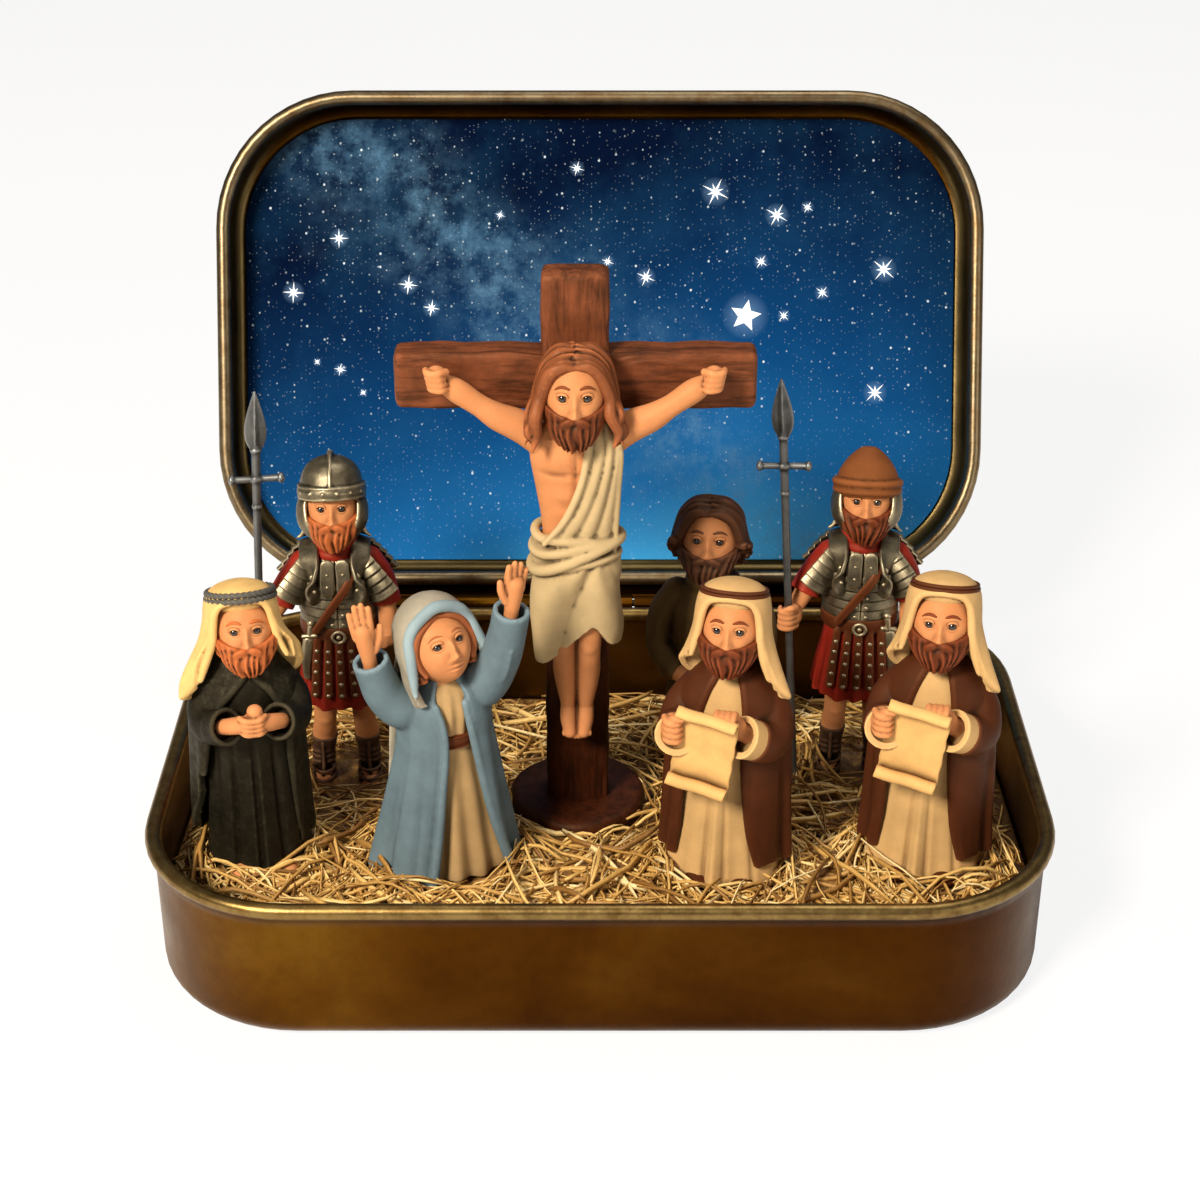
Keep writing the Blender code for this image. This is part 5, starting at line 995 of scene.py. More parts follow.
trunk = turned(
    [(36.0, 3.2, 1.9, CHEST_Y), (38.2, 3.6, 2.1, CHEST_Y), (41.0, 3.8, 2.2, CHEST_Y), (44.5, 4.35, 2.35, CHEST_Y),
     (48.0, 4.9, 2.5, CHEST_Y), (50.0, 4.8, 2.3, CHEST_Y), (51.6, 3.6, 1.9, CHEST_Y), (52.6, 1.7, 1.5, CHEST_Y)],
    80, 110, trunk_folds,
)
body = [grid_shell(trunk)]
for side in (-1, 1):
    arm = sided(side, [
        (3.6, CHEST_Y, 49.4), (5.6, CHEST_Y, 51.3), (8.2, CHEST_Y - 0.1, 52.6), (10.2, CHEST_Y, 53.9),
        (12.4, CHEST_Y, 55.5), (13.9, CHEST_Y, 56.5),
    ])
    body.append(tube(arm, [1.5, 1.75, 1.5, 1.2, 1.3, 0.95], ref=(0, 1, 0), count=40, sides=24))
    fist = np.array([side * 14.5, CHEST_Y - 0.1, 57.1])
    body.append(blob(fist, (1.2, 1.15, 1.3), (0, side * 25, 0)))
    for k in range(4):
        root = fist + np.array([side * (0.1 - 0.12 * k), -0.75, 0.95 - 0.6 * k])
        curl = root + sided(side, [(1.05, 0.5, 0), (0.75, -0.55, 0.05), (-0.25, -0.85, 0.0), (-0.8, -0.35, -0.05)])
        body.append(tube(curl, [0.34, 0.40, 0.38, 0.28], (0, 0, 1), 16, 12))
    thumb = fist + sided(side, [(-1.0, -0.7, 0.9), (-0.2, -1.55, 1.05), (0.7, -1.5, 0.75)])
    body.append(tube(thumb, [0.42, 0.42, 0.32], (0, 0, 1), 12, 12))
    leg = sided(side, [
        (1.5, CHEST_Y, 36.5), (1.65, CHEST_Y - 0.3, 31.0), (1.35, CHEST_Y - 1.3, 25.2), (1.25, CHEST_Y - 0.6, 21.5),
        (0.95, CHEST_Y - 0.3, 17.0),
    ])
    body.append(tube(leg, [2.1, 1.75, 1.35, 1.35, 0.85], (1, 0, 0), 40, 24))
    body.append(blob((side * 1.35, CHEST_Y - 2.2, 25.4), (0.85, 0.6, 0.95)))
    foot = sided(side, [(0.95, CHEST_Y - 0.1, 17.2), (0.95, CHEST_Y - 0.9, 15.6), (0.75, CHEST_Y - 1.6, 14.2)])
    body.append(tube(foot, [0.9, 0.95, 0.75], (1, 0, 0), 16, 20))
    for k in range(5):
        toe = np.array([side * (0.2 + 0.33 * k), CHEST_Y - 1.75, 13.75 + 0.1 * k])
        body.append(blob(toe, (0.24 - 0.015 * k, 0.3, 0.42)))
body.append(tube([(0, CHEST_Y, 51.0), (0, CHEST_Y - 0.5, 54.0)], 1.55, (1, 0, 0), 8, 20))
piece("corpus", body, SKIN, "crucifix", ["corpus_body"], 0.13, 3, crucifix)


def face(centre, size, jaw=0.2, rows=110, columns=150):
    """A head: an ellipsoid with a narrower jaw. Brow, sockets, nose, cheeks, lips and chin are bell curves on its
    front, by the usual proportions: eyes half way up, nose half way from there to the chin, mouth a third below."""
    wide, deep, tall = size
    up = np.linspace(-np.pi / 2, np.pi / 2, rows)[1:-1, None]
    angle = np.linspace(0, 2 * np.pi, columns, endpoint=False)[None, :]
    z = np.sin(up) + 0 * angle
    x = np.cos(up) * np.sin(angle) * (1 - jaw * np.clip(-z, 0, 1) ** 2)
    y = -np.cos(up) ** 0.9 * np.cos(angle)
    front = np.clip(-y * 1.6, 0, 1)
    u = np.abs(x)
    out = -0.115 * ridge(u, 0.40, 0.20) * ridge(z, 0.0, 0.13)
    out += 0.070 * ridge(u, 0.36, 0.30) * ridge(z, 0.20, 0.10)
    out += 0.17 * ridge(u, 0.0, 0.11) * ridge(z, -0.16, 0.22) + 0.20 * ridge(u, 0.0, 0.13) * ridge(z, -0.41, 0.10)
    out += 0.09 * ridge(u, 0.14, 0.08) * ridge(z, -0.45, 0.07)
    out += 0.07 * ridge(u, 0.50, 0.24) * ridge(z, -0.38, 0.20)
    out += (
        0.075 * ridge(u, 0.0, 0.20) * ridge(z, -0.625, 0.040) + 0.085 * ridge(u, 0.0, 0.17) * ridge(z, -0.73, 0.055)
    )
    out -= 0.045 * ridge(u, 0.0, 0.26) * ridge(z, -0.675, 0.022)
    out += 0.07 * ridge(u, 0.0, 0.25) * ridge(z, -0.90, 0.11)
    grid = np.stack([x * wide, (y - out * front) * deep, z * tall], axis=2)
    points, quads = grid_shell(grid)
    points[:columns], points[-columns:] = (0, 0, -tall), (0, 0, tall)
    return points + np.array(centre), quads


def on_face(centre, size, angle, height, out=0.0):
    """A point over the head: degrees from the front, a height from -1 at the chin to 1, and mm outwards."""
    angle, height, out = np.radians(angle), np.asarray(height, float), np.asarray(out, float)
    round_in = np.sqrt(np.clip(1 - height ** 2, 0, 1))
    return np.stack(
        np.broadcast_arrays(
            centre[0] + (size[0] * round_in + out) * np.sin(angle),
            centre[1] - (size[1] * round_in + out) * np.cos(angle), centre[2] + size[2] * height,
        ),
        axis=-1,
    )


def eye_beads(centre, size):
    """Two dark glossy beads, one eye's width apart, sunk into their sockets."""
    shells = []
    for side in (-1, 1):
        spot = on_face(centre, size, side * 24.0, 0.0, -0.33 * size[0] / 3.1)
        shells.append(blob(spot, np.array((0.47, 0.34, 0.47)) * size[0] / 3.1, (0, 0, -side * 18), 16, 20))
    return shells


def lids(centre, size):
    """A skin fold over and under each bead."""
    shells = []
    scale = size[0] / 3.1
    for side in (-1, 1):
        for rise, out, radius in ((0.115, 0.02, 0.15), (-0.105, -0.10, 0.11)):
            angles = side * np.array([11.0, 17.0, 24.0, 31.0, 37.0])
            heights = rise * np.array([0.25, 0.85, 1.0, 0.8, 0.1])
            path = on_face(centre, size, angles, heights, out * scale - 0.04)
            shells.append(tube(path, np.array([0.06, 1, 1.1, 1, 0.06]) * radius * scale, (0, 0, 1), 16, 8))
    return shells


def brows(centre, size, thick=0.19):
    """Two calm brow arcs over the sockets."""
    shells = []
    for side in (-1, 1):
        path = on_face(
            centre, size, side * np.array([10.0, 20.0, 30.0, 39.0]), np.array([0.235, 0.275, 0.26, 0.19]), 0.16,
        )
        shells.append(tube(path, np.array([0.8, 1.1, 0.9, 0.4]) * thick, (0, 0, 1), 16, 8))
    return shells


def full_beard(centre, size, bottom=-1.30, swell=1.0, count=11, seed=1):
    """A full beard: a bib round the jaw, scored into combed locks, and a moustache of two halves over it."""
    pick = np.random.default_rng(seed)
    across = np.linspace(-1, 1, 12 * count)[None, :]
    down = np.linspace(0, 1, 60)[:, None]
    angle = np.radians(across * (86 - 24 * down))
    sway = pick.uniform(0, 2 * np.pi, 4)
    drift = (
        across + 0.045 * np.sin(5 * down + 2.5 * across + sway[0]) + 0.030 * np.sin(9 * across + sway[1]) * (1 + down)
    )
    comb = (
        0.75 * np.abs(np.sin(np.pi * count / 2 * drift))
        + 0.25 * np.abs(np.sin(np.pi * count * drift + sway[2] + 2 * down))
    )
    high = (
        (-0.46 + 0.42 * np.abs(across) ** 1.4) * (1 - down)
        + (bottom + 0.30 * across ** 2 + (0.16 + 0.04 * np.sin(17 * across + sway[3])) * (1 - comb)) * down
    )
    radius = np.sqrt(1 - np.clip(high, -0.52, 0.52) ** 2) * (1 - 0.26 * down ** 2.6)
    full = np.sin(np.pi * np.clip(down * 0.86 + 0.10, 0, 1)) ** 0.7
    out = swell * (0.10 + 0.72 * full) + 0.36 * (comb - 0.6) * np.clip(down * 5, 0, 1)

    def skin(drawn):
        return np.stack(
            [
                centre[0] + (size[0] * radius + out - drawn) * np.sin(angle),
                centre[1] - (size[1] * radius + out + 0.45 * down - drawn) * np.cos(angle),
                centre[2] + size[2] * high + 0 * angle,
            ],
            axis=2,
        )

    outer, inner = skin(0.0), skin(1.3)
    shells = [walled(outer, (outer + inner) / 2, inner)]
    for side in (-1, 1):
        for lift, more in ((0.02, -0.02), (-0.05, 0.10), (-0.12, 0.04)):
            path = on_face(
                centre, size, side * np.array([1.0, 11.0, 24.0, 36.0]),
                np.array([-0.50, -0.52, -0.62, -0.86]) + lift * np.array([0.4, 1, 1.2, 1.6]),
                np.array([0.50, 0.70, 0.86, 1.02]) * swell + more,
            )
            shells.append(tube(path, np.array([0.24, 0.32, 0.30, 0.08]), (0, 0, 1), 18, 10))
    return shells


def neck(centre, size, foot):
    """The neck from inside the head down into the collar."""
    return tube(
        [
            (centre[0], centre[1] + 0.4, centre[2]),
            (centre[0] * 0.6, 0.2 + centre[1] * 0.5, (centre[2] + foot) / 2 - 1.2), (0, 0.2, foot),
        ],
        size[0] * 0.5, (1, 0, 0), 10, 20,
    )


def head(name, centre, size, body, lean, foot=None, ears=True):
    """Head, neck and ears in skin clay with lids, and the eye beads as a glossy piece."""
    shells = [face(centre, size), *lids(centre, size)]
    if ears:
        for side in (-1, 1):
            spot = on_face(centre, size, side * 97.0, -0.16, -0.1)
            shells += [
                blob(spot, (0.3, 0.55, 0.85), (-8, side * 6, side * 18)),
                blob(spot + [side * 0.12, -0.1, 0.1], (0.26, 0.5, 0.6), (-8, 0, side * 18)),
            ]
    shells = leant(shells, lean, centre)
    if foot is not None:
        shells.append(neck(centre, size, foot))
    piece(name + "_face", shells, SKIN, body, [name + "_head"], None, 0, stood(body))
    beads = leant(eye_beads(centre, size), lean, centre)
    piece(name + "_eyes", beads, BEAD_BLACK, body, (), None, 0, stood(body))


def glossy_black():
    """Glazed black beads for eyes, very dark brown with a clear coat."""
    look, tree, shader = new_look("glazed bead")
    tone = ramp(tree, noise(tree, 1.5, 2), [(0.3, (0.006, 0.003, 0.002)), (0.7, (0.016, 0.008, 0.005))])
    tree.links.new(tone, shader.inputs["Base Color"])
    shader.inputs["Roughness"].default_value = 0.16
    shader.inputs["Coat Weight"].default_value = 0.6
    return look


BEAD_BLACK = glossy_black()
CORPUS_HEAD, CORPUS_SIZE = (0.0, -5.9, 55.9), (3.3, 3.3, 4.6)
CORPUS_LEAN = (-11, 0, 0)
head("corpus", CORPUS_HEAD, CORPUS_SIZE, "crucifix", CORPUS_LEAN, ears=False)


def parted_hair(centre, size, pick, tips, wide, count=7):
    """Chunky strands from a middle parting that sweep round the brow and fall past the temples, finer ones over them,
    and a close cap. Tips are the heights where the front and the back strands end; wide is how far they stand off."""
    size, centre = np.array(size), np.array(centre)
    cap = turned(
        [
            (-0.72 * size[2], size[0] + 0.55, size[1] * 0.55, 2.0), (0, size[0] + 0.35, size[1] * 0.70, 1.5),
            (0.55 * size[2], size[0] - 0.05, size[1] * 0.84, 0.75),
            (0.93 * size[2], size[0] * 0.58, size[1] * 0.62, 0.3),
            (1.09 * size[2], size[0] * 0.2, size[1] * 0.2, 0.1),
        ],
        40, 60,
    )
    shells = [grid_shell(cap + centre)]
    for side in (-1, 1):
        for fine in (0, 1):
            for back in np.linspace(0.06 * fine, 1 - 0.06 * fine, count + fine):
                rise, round_to = np.radians(43 + 84 * back), np.radians(66 + 46 * back)
                start = np.array([0.05 * side, -np.cos(rise), np.sin(rise)])
                end = np.array([side * np.sin(round_to), -np.cos(round_to), -0.02])
                turn = np.arccos(start @ end)
                share = np.array([0.0, 0.28, 0.62, 1.0])[:, None]
                sweep = (np.sin((1 - share) * turn) * start + np.sin(share * turn) * end) / np.sin(turn)
                sweep += np.sin(np.pi * share) * [0.05 * side, 0, 0.20 * (1 - back)]
                sweep /= np.linalg.norm(sweep, axis=1, keepdims=True)
                off = np.array([0.30, 0.50, 0.55, 0.58]) + 0.26 * fine + pick.uniform(-0.16, 0.16, 4)
                sweep = sweep * (size + off[:, None])
                low = (tips[0] + (tips[1] - tips[0]) * back + pick.uniform(-0.10, 0.10)) * size[2]
                fall = np.array([0.36, 0.70, 1.0])[:, None] * [[0, 0, low]] + sweep[-1] * [1, 1, 0]
                stand = side * (
                    wide * np.array([0.35, 0.9, 0.75])
                    + np.array([1, -1, 1]) * pick.uniform(0.15, 0.42) * pick.choice([-1, 1]) + 0.15 * fine
                )
                fall[:, 0] += stand
                fall[:, 1] += pick.uniform(-0.4, 0.4) * np.array([1, -1, 1]) + 0.25 * low / size[2]
                thick = np.array([
                    0.40, 0.66, 0.70, 0.66, 0.70, 0.56, 0.12,
                ]) * (0.48 if fine else 1.0) * pick.uniform(0.9, 1.1)
                shells.append(tube(np.concatenate([sweep, fall]) + centre, thick, (0.3 * side, 1, 0.2), 36, 10))
    return shells


hair_pick = np.random.default_rng(3)
hair = parted_hair(CORPUS_HEAD, CORPUS_SIZE, hair_pick, (-1.20, -1.06), 0.85)
beard = full_beard(CORPUS_HEAD, CORPUS_SIZE, -1.30, 0.85, 10, 4) + brows(CORPUS_HEAD, CORPUS_SIZE)
piece(
    "corpus_beard", leant(beard, CORPUS_LEAN, CORPUS_HEAD), SHADED_BEARD, "crucifix", (), 0.11, 1,
    crucifix,
)
piece(
    "corpus_locks", leant(hair, CORPUS_LEAN, CORPUS_HEAD), HAIR, "crucifix", ["corpus_hair"], 0.11,
    1, crucifix,
)


def skirt_folds(angle, z):
    """Broad folds that fan out from the right hip, upright ones past it, and a hem that slants up to the right."""
    x = 4.9 * np.sin(angle)
    fan = np.arctan2(38.6 - z, 2.6 - x)
    far = np.clip(np.hypot(38.6 - z, 2.6 - x) / 6, 0.15, 1)
    out = (
        0.62 * far * (np.abs(np.sin(4.6 * fan + 0.5)) ** 0.8 - 0.6) + 0.10 * np.sin(13 * fan + 1.2 * np.sin(z * 0.4))
    )
    up = np.interp(np.sin(angle), [-1, -0.85, 0.30, 0.42, 0.75, 1], [-0.4, -0.2, 5.2, 5.0, 2.6, 2.2])
    return out, up * np.clip((36 - z) / 12, 0, 1) ** 1.4


skirt = [
    (23.4, 4.7, 3.1, CHEST_Y - 0.1, 0.2), (25.5, 4.9, 3.2, CHEST_Y - 0.1, 0.2), (29, 5.0, 3.2, CHEST_Y),
    (33, 5.0, 3.1, CHEST_Y), (36, 4.8, 2.9, CHEST_Y), (38.6, 4.2, 2.5, CHEST_Y),
]
drape = [coat(skirt, 0.8, [(20, 0.5, 0.5), (40, 0.5, 0.5)], 120, 170, skirt_folds)]
twist = np.linspace(0, 2 * np.pi, 120)
for level, slope, dip, out, radius in (
    (37.1, 1.5, 0.9, 0.25, 0.72), (38.1, 0.5, 0.5, 0.1, 0.62), (38.9, -0.5, 0.3, -0.1, 0.55),
    (36.3, 0.3, 1.0, 0.0, 0.55),
):
    wind = np.stack([
        (4.55 + out) * np.sin(twist), CHEST_Y - (2.85 + out) * np.cos(twist),
        level + slope * np.sin(twist) - dip * ridge(twist, 5.1, 0.8) + 0.15 * np.sin(3 * twist + level),
    ], axis=1)
    drape.append(tube(wind, radius, (0, 0, 1), 240, 12))


def cloth(left, right, ways, bulge, thick, folds, rows=110, columns=80):
    """A strip of cloth between two smooth edge paths: its face bulges along the told ways, with folds over its shares
    across and along, and its back follows a little way in."""
    left, right, ways = (eased(path, rows)[:, None] for path in (left, right, ways))
    across, along = np.linspace(0, 1, columns)[None, :, None], np.linspace(0, 1, rows)[:, None, None]
    front = left + (right - left) * across + ways * (bulge * np.sin(np.pi * across) ** 0.6 + folds(across, along))
    back = front - ways * thick
    return walled(front, (front + back) / 2, back)


def sash_folds(across, along):
    """Three round folds with sharp creases between them, that drift over the strip."""
    return 0.42 * (np.abs(np.sin(np.pi * (3.2 * across + 0.9 * along + 0.15))) ** 0.7 - 0.55)


sash_left = [
    (1.2, 1.6, 50.9), (1.2, -0.8, 52.2), (1.3, -2.4, 49.6), (0.5, -2.75, 45.6), (-1.2, -2.7, 41.6),
    (-3.4, -2.3, 38.6),
]
sash_right = [
    (3.7, 1.6, 50.3), (4.2, -0.6, 51.3), (4.7, -1.7, 49.0), (4.5, -1.5, 45.0), (4.3, -1.3, 41.0), (4.2, -1.3, 37.6),
]
sash_left, sash_right = (np.array(path) + [0, CHEST_Y, 0] for path in (sash_left, sash_right))
sash_ways = [
    (0, 0.8, 0.6), (0.1, -0.3, 0.95), (0.35, -0.9, 0.2), (0.35, -0.95, 0.05), (0.3, -0.95, 0), (0.3, -0.95, 0),
]
drape.append(cloth(sash_left, sash_right, sash_ways, 0.75, 0.7, sash_folds))
drape.append(tube(sash_left + [0, -0.15, 0], [0.3, 0.42, 0.42, 0.42, 0.42, 0.3], (0, 1, 0), 70, 12))
drape.append(tube(sash_right + [0, -0.1, 0], [0.3, 0.42, 0.42, 0.42, 0.42, 0.3], (0, 1, 0), 70, 12))
piece("corpus_wrap", drape, CREAM, "crucifix", ["corpus_drape"], 0.15, 3, crucifix)


# Mother with raised hands
# A tan clay dress tied with a brown belt, a blue mantle with wide sleeves, and a cream veil with a blue hem over
# brown hair. Each is rolled out, laid round the one below and smoothed together.

BLUE = clay("blue clay", (0.108, 0.160, 0.190), 0.3, 1.55, 0.16, 0.45, 0.62)
VEIL = clay("veil clay", (0.30, 0.268, 0.208), 0.35, 1.3, 0.12, 0.4, 0.62)
VEIL_EDGE = clay("veil edge clay", (0.20, 0.27, 0.30), 0.3, 1.5, 0.14, 0.4, 0.62)
TAN = clay("tan clay", (0.40, 0.255, 0.115), 0.35, 1.25, 0.1, 0.4, 0.62)
mary = figure("mary")


def dress_folds(angle, z):
    """Pleats that open out from the belt, and small gathers over the chest."""
    low = np.clip((16.0 - z) / 14, 0, 1)
    out = (
        low * (0.34 * np.cos(13 * angle + 0.4) + 0.16 * np.cos(7 * angle))
        + 0.14 * np.cos(16 * angle) * ridge(z, 19.5, 2.6)
    )
    return out, 0.25 * np.cos(6 * angle) * np.clip((3 - z) / 3, 0, 1)


dress = turned(
    [
        (0.2, 5.8, 4.9), (0.5, 6.5, 5.4), (4, 6.0, 5.0), (9, 5.1, 4.3), (13, 4.2, 3.6), (16.2, 3.55, 3.1),
        (17.6, 3.5, 3.05), (20, 3.7, 3.2), (22.2, 3.2, 2.8), (23.4, 2.1, 2.0), (23.9, 1.5, 1.5),
    ],
    130, 220, dress_folds,
)
mary("gown", [grid_shell(dress)], TAN, "dress", "sand clay")


def ring(z, wide, deep, thick, tall, y=0.0, x=0.0, tilt=0.0, columns=140, sides=18, twist=0.0):
    """A closed band round an oval: a small oval section carried round, tilted by mm at the front. Twist cords it."""
    angle = np.linspace(-np.pi, np.pi, columns + 1)[None, :]
    section = np.linspace(0, 2 * np.pi, sides, endpoint=False)[:, None]
    cord = 1 + (0.16 * np.cos(twist * angle + 2 * section) if twist else 0.0)
    out, up = thick * np.cos(section) * cord, tall * np.sin(section) * cord
    grid = np.stack([
        x + (wide + out) * np.sin(angle), y - (deep + out) * np.cos(angle), z + up + tilt * np.cos(angle),
    ], axis=2).transpose(1, 0, 2)
    return grid_shell(grid, capped=False)


LEATHER = clay("leather clay", (0.072, 0.017, 0.005), 0.3, 1.7, 0.2, 0.4, 0.5)
mary(
    "sash",
    [ring(16.9, 3.62, 3.16, 0.36, 0.78), ring(17.5, 3.62, 3.16, 0.40, 0.16), ring(16.3, 3.66, 3.2, 0.40, 0.16)],
    LEATHER, "belt", "leather clay",
)


def mantle_folds(angle, z):
    """Long soft folds down the back and sides, deeper towards the hem."""
    low = np.clip((21 - z) / 20, 0, 1)
    out = low * (0.42 * np.cos(8 * angle + 0.5 * np.sin(z * 0.2)) + 0.20 * np.cos(13 * angle + 1.0))
    out = (
        out - 0.45 * low * ridge(angle, -0.62, 0.07) - 0.4 * low * ridge(angle, -1.08, 0.08)
        - 0.35 * low * ridge(angle, 1.25, 0.08)
    )
    return out, 0.3 * np.cos(5 * angle + 1) * np.clip((4 - z) / 4, 0, 1)


mantle = [coat(
    [
        (0.15, 7.7, 6.5, 0, -0.5), (0.5, 8.2, 6.9, 0, -0.5), (4, 7.6, 6.4, 0, -0.4), (9, 6.6, 5.6, 0, -0.2),
        (14, 5.7, 4.8), (17, 5.3, 4.4), (20, 5.1, 4.1), (22, 4.3, 3.5), (23.3, 2.9, 2.6), (24.0, 2.1, 2.1),
    ],
    1.0, [(0, 22, 56), (5, 18, 48), (12, 12, 40), (17, 6, 36), (20, 10, 30), (22, 22, 30), (24, 30, 34)], 120, 170,
    mantle_folds,
)]
EDGE_ROWS = np.array([0.8, 4, 8, 12, 16, 19, 21.5])
for side, lean in (
    (-1, np.radians([-22, -19, -15.5, -12, -7.5, -8.5, -18])), (1, np.radians([55, 49, 43.5, 40, 36, 31, 30])),
):
    wide = np.interp(EDGE_ROWS, [0.5, 4, 9, 14, 17, 20, 22], [8.2, 7.6, 6.6, 5.7, 5.3, 5.1, 4.3])
    deep = np.interp(EDGE_ROWS, [0.5, 4, 9, 14, 17, 20, 22], [6.9, 6.4, 5.6, 4.8, 4.4, 4.1, 3.5])
    edge = np.stack([-0.3 + (wide - 0.4) * np.sin(lean), -(deep - 0.35) * np.cos(lean), EDGE_ROWS], 1)
    mantle.append(tube(edge, [0.62, 0.62, 0.58, 0.55, 0.52, 0.5, 0.45], (0, 1, 0), 60, 14))
RIGHT_SLEEVE = [(-2.4, 0.1, 20.4), (-4.6, 0.0, 20.6), (-6.4, -0.2, 22.6), (-7.3, -0.5, 25.0), (-7.9, -0.7, 27.2)]
LEFT_SLEEVE = [(2.2, 0.2, 20.8), (4.4, -0.6, 22.4), (5.9, -1.7, 25.8), (6.6, -2.6, 29.2), (7.0, -3.2, 32.3)]
for path in (RIGHT_SLEEVE, LEFT_SLEEVE):
    mantle.append(tube(path, [2.4, 2.6, 2.3, 2.05, 2.0], (0, 1, 0), 40, 28, hollow=(0.55, 16)))
    for k in (0.3, 0.9):
        fold = [np.array(p) + [0.0, -1.75, -0.25 - k] for p in path[1:4]]
        mantle.append(tube(fold, [0.3, 0.5, 0.25], (0, 1, 0), 20, 10))
mary("cloak", mantle, BLUE, "mantle", "blue clay", 0.19, 3)


def open_hand(wrist, tip, across):
    """An open hand: wrist, palm, four fingers and a thumb apart. Across is the way from the little finger."""
    wrist, tip, across = (np.array(v, float) for v in (wrist, tip, across))
    along = tip - wrist
    across /= np.linalg.norm(across)
    front = np.cross(across, along)
    front /= np.linalg.norm(front)
    palm = [wrist - along * 0.25, wrist, wrist + along * 0.3, wrist + along * 0.55]
    shells = [tube(palm, [0.8, 0.8, 1.0, 1.05], across, 20, 18)]
    for place, length in zip((-0.95, -0.34, 0.3, 0.9), (0.84, 0.97, 1.0, 0.93)):
        base = wrist + along * 0.42 + across * place * 0.85
        end = wrist + along * length + across * place * 1.15 - front * 0.12
        shells.append(tube([base, (base + end) / 2 + front * 0.12, end], [0.46, 0.42, 0.32], across, 14, 10))
    base = wrist + along * 0.18 + across * 0.8
    thumb = [base, base + along * 0.22 + across * 0.75, base + along * 0.42 + across * 1.05]
    shells.append(tube(thumb, [0.5, 0.45, 0.34], front, 14, 10))
    return shells


right_palm = open_hand((-8.0, -0.8, 27.2), (-9.0, -1.1, 34.0), (1, -0.25, 0.1))
left_palm = open_hand((7.0, -3.2, 32.4), (7.6, -3.6, 38.0), (-1, -0.3, 0.2))
mary("palm_right", right_palm, SKIN, "right_hand", "skin clay", 0.11, 2)
mary("palm_left", left_palm, SKIN, "left_hand", "skin clay", 0.11, 2)

MARY_HEAD, MARY_SIZE, MARY_LEAN = (-0.5, -0.9, 27.9), (3.35, 3.3, 4.1), (-31, -7, 18)
head("mary", MARY_HEAD, MARY_SIZE, "mary", MARY_LEAN, 22.6, ears=False)
band = coat(
    [
        (-3.2, 3.5, 3.0, 0.2), (-1, 3.7, 3.3, 0.2), (1.5, 3.55, 3.3, 0.2), (3.0, 2.9, 2.9, 0.1), (4.2, 1.5, 1.6),
        (4.5, 0.5, 0.5),
    ],
    0.7, [(-4, 82, 82), (0, 72, 72), (1.6, 58, 58), (2.6, 34, 34), (3.2, 6, 6), (3.5, 0.5, 0.5)], 60, 90,
)
waves = [
    tube(
        on_face(
            (0, 0, 0), MARY_SIZE, side * np.array([3, 28, 52, 67, 73, 76]),
            np.array([0.78, 0.70, 0.48, 0.1, -0.25, -0.6]), 0.22 + 0.16 * k,
        )
        + [0, 0, -0.1 * k],
        [0.3, 0.42, 0.45, 0.42, 0.38, 0.2], (0, 0, 1), 30, 10,
    )
    for side in (-1, 1) for k in (0, 1)
]
parted = [
    (spin(p, MARY_LEAN) + np.array(MARY_HEAD), q) for p, q in (band, *waves, *brows((0, 0, 0), MARY_SIZE, 0.13))
]
mary("tresses", parted, HAIR, "hair", "brown hair clay", 0.11, 2)


def veil_folds(angle, z):
    """Soft folds that run back from the face and down to the shoulders."""
    low = np.clip((2.5 - z) / 6, 0, 1)
    return (
        low * (0.22 * np.cos(9 * angle) + 0.10 * np.cos(15 * angle + 1)) + 0.05 * np.sin(z * 2 + 3 * angle), 0 * angle
    )


veil = coat(
    [
        (-5.6, 4.2, 3.6, 1.0), (-5.0, 4.6, 4.0, 0.9), (-2.5, 4.75, 4.4, 0.5), (0.5, 4.55, 4.4, 0.3),
        (2.8, 4.15, 4.1, 0.2), (4.4, 3.3, 3.4, 0.2), (5.5, 1.9, 2.1, 0.2), (5.95, 0.6, 0.7, 0.2),
    ],
    0.85,
    [
        (-6, 92, 92), (-4.4, 82, 82), (-2.5, 72, 72), (-1, 67, 67), (1.2, 62, 62), (2.6, 46, 46), (3.4, 22, 22),
        (3.85, 0.5, 0.5), (6, 0.5, 0.5),
    ],
    100, 140, veil_folds,
)
hood = [(spin(veil[0], MARY_LEAN) + np.array(MARY_HEAD), veil[1])]
rim_angle = np.radians([-80, -73, -66, -60, -42, 0, 42, 60, 66, 73, 80])
rim_high = np.array([-3.9, -2.2, 0.2, 1.8, 3.1, 4.0, 3.1, 1.8, 0.2, -2.2, -3.9])
rim_wide = np.interp(rim_high, [-5, -2.5, 0.5, 2.8, 4.4], [4.85, 4.75, 4.35, 3.95, 3.1])
rim_deep = np.interp(rim_high, [-5, -2.5, 0.5, 2.8, 4.4], [3.9, 4.3, 4.2, 3.9, 3.3])
rim = np.stack([rim_wide * np.sin(rim_angle), 0.35 - rim_deep * np.cos(rim_angle), rim_high], 1)
rim_points, rim_quads = tube(
    rim, [0.25, 0.5, 0.6, 0.62, 0.64, 0.66, 0.64, 0.62, 0.6, 0.5, 0.25], (0.1, 1, 0.1), 90, 14,
)
mary("hem", [(spin(rim_points, MARY_LEAN) + np.array(MARY_HEAD), rim_quads)], VEIL_EDGE, None, "blue clay")


def train_folds(angle, z):
    """Straight folds down the veil's train."""
    return 0.28 * np.cos(12 * angle), 0.5 * np.cos(3 * angle)


hood.append(coat(
    [(8.5, 6.4, 5.7, 0.4), (13, 6.0, 5.2, 0.5), (18, 5.7, 4.8, 0.6), (22, 5.3, 4.4, 0.8), (25, 4.8, 4.2, 1.0)], 0.8,
    [(0, 98, 128), (30, 80, 100)], 80, 90, train_folds,
))
mary("hood", hood, VEIL, "veil", "cream clay", 0.16, 3)

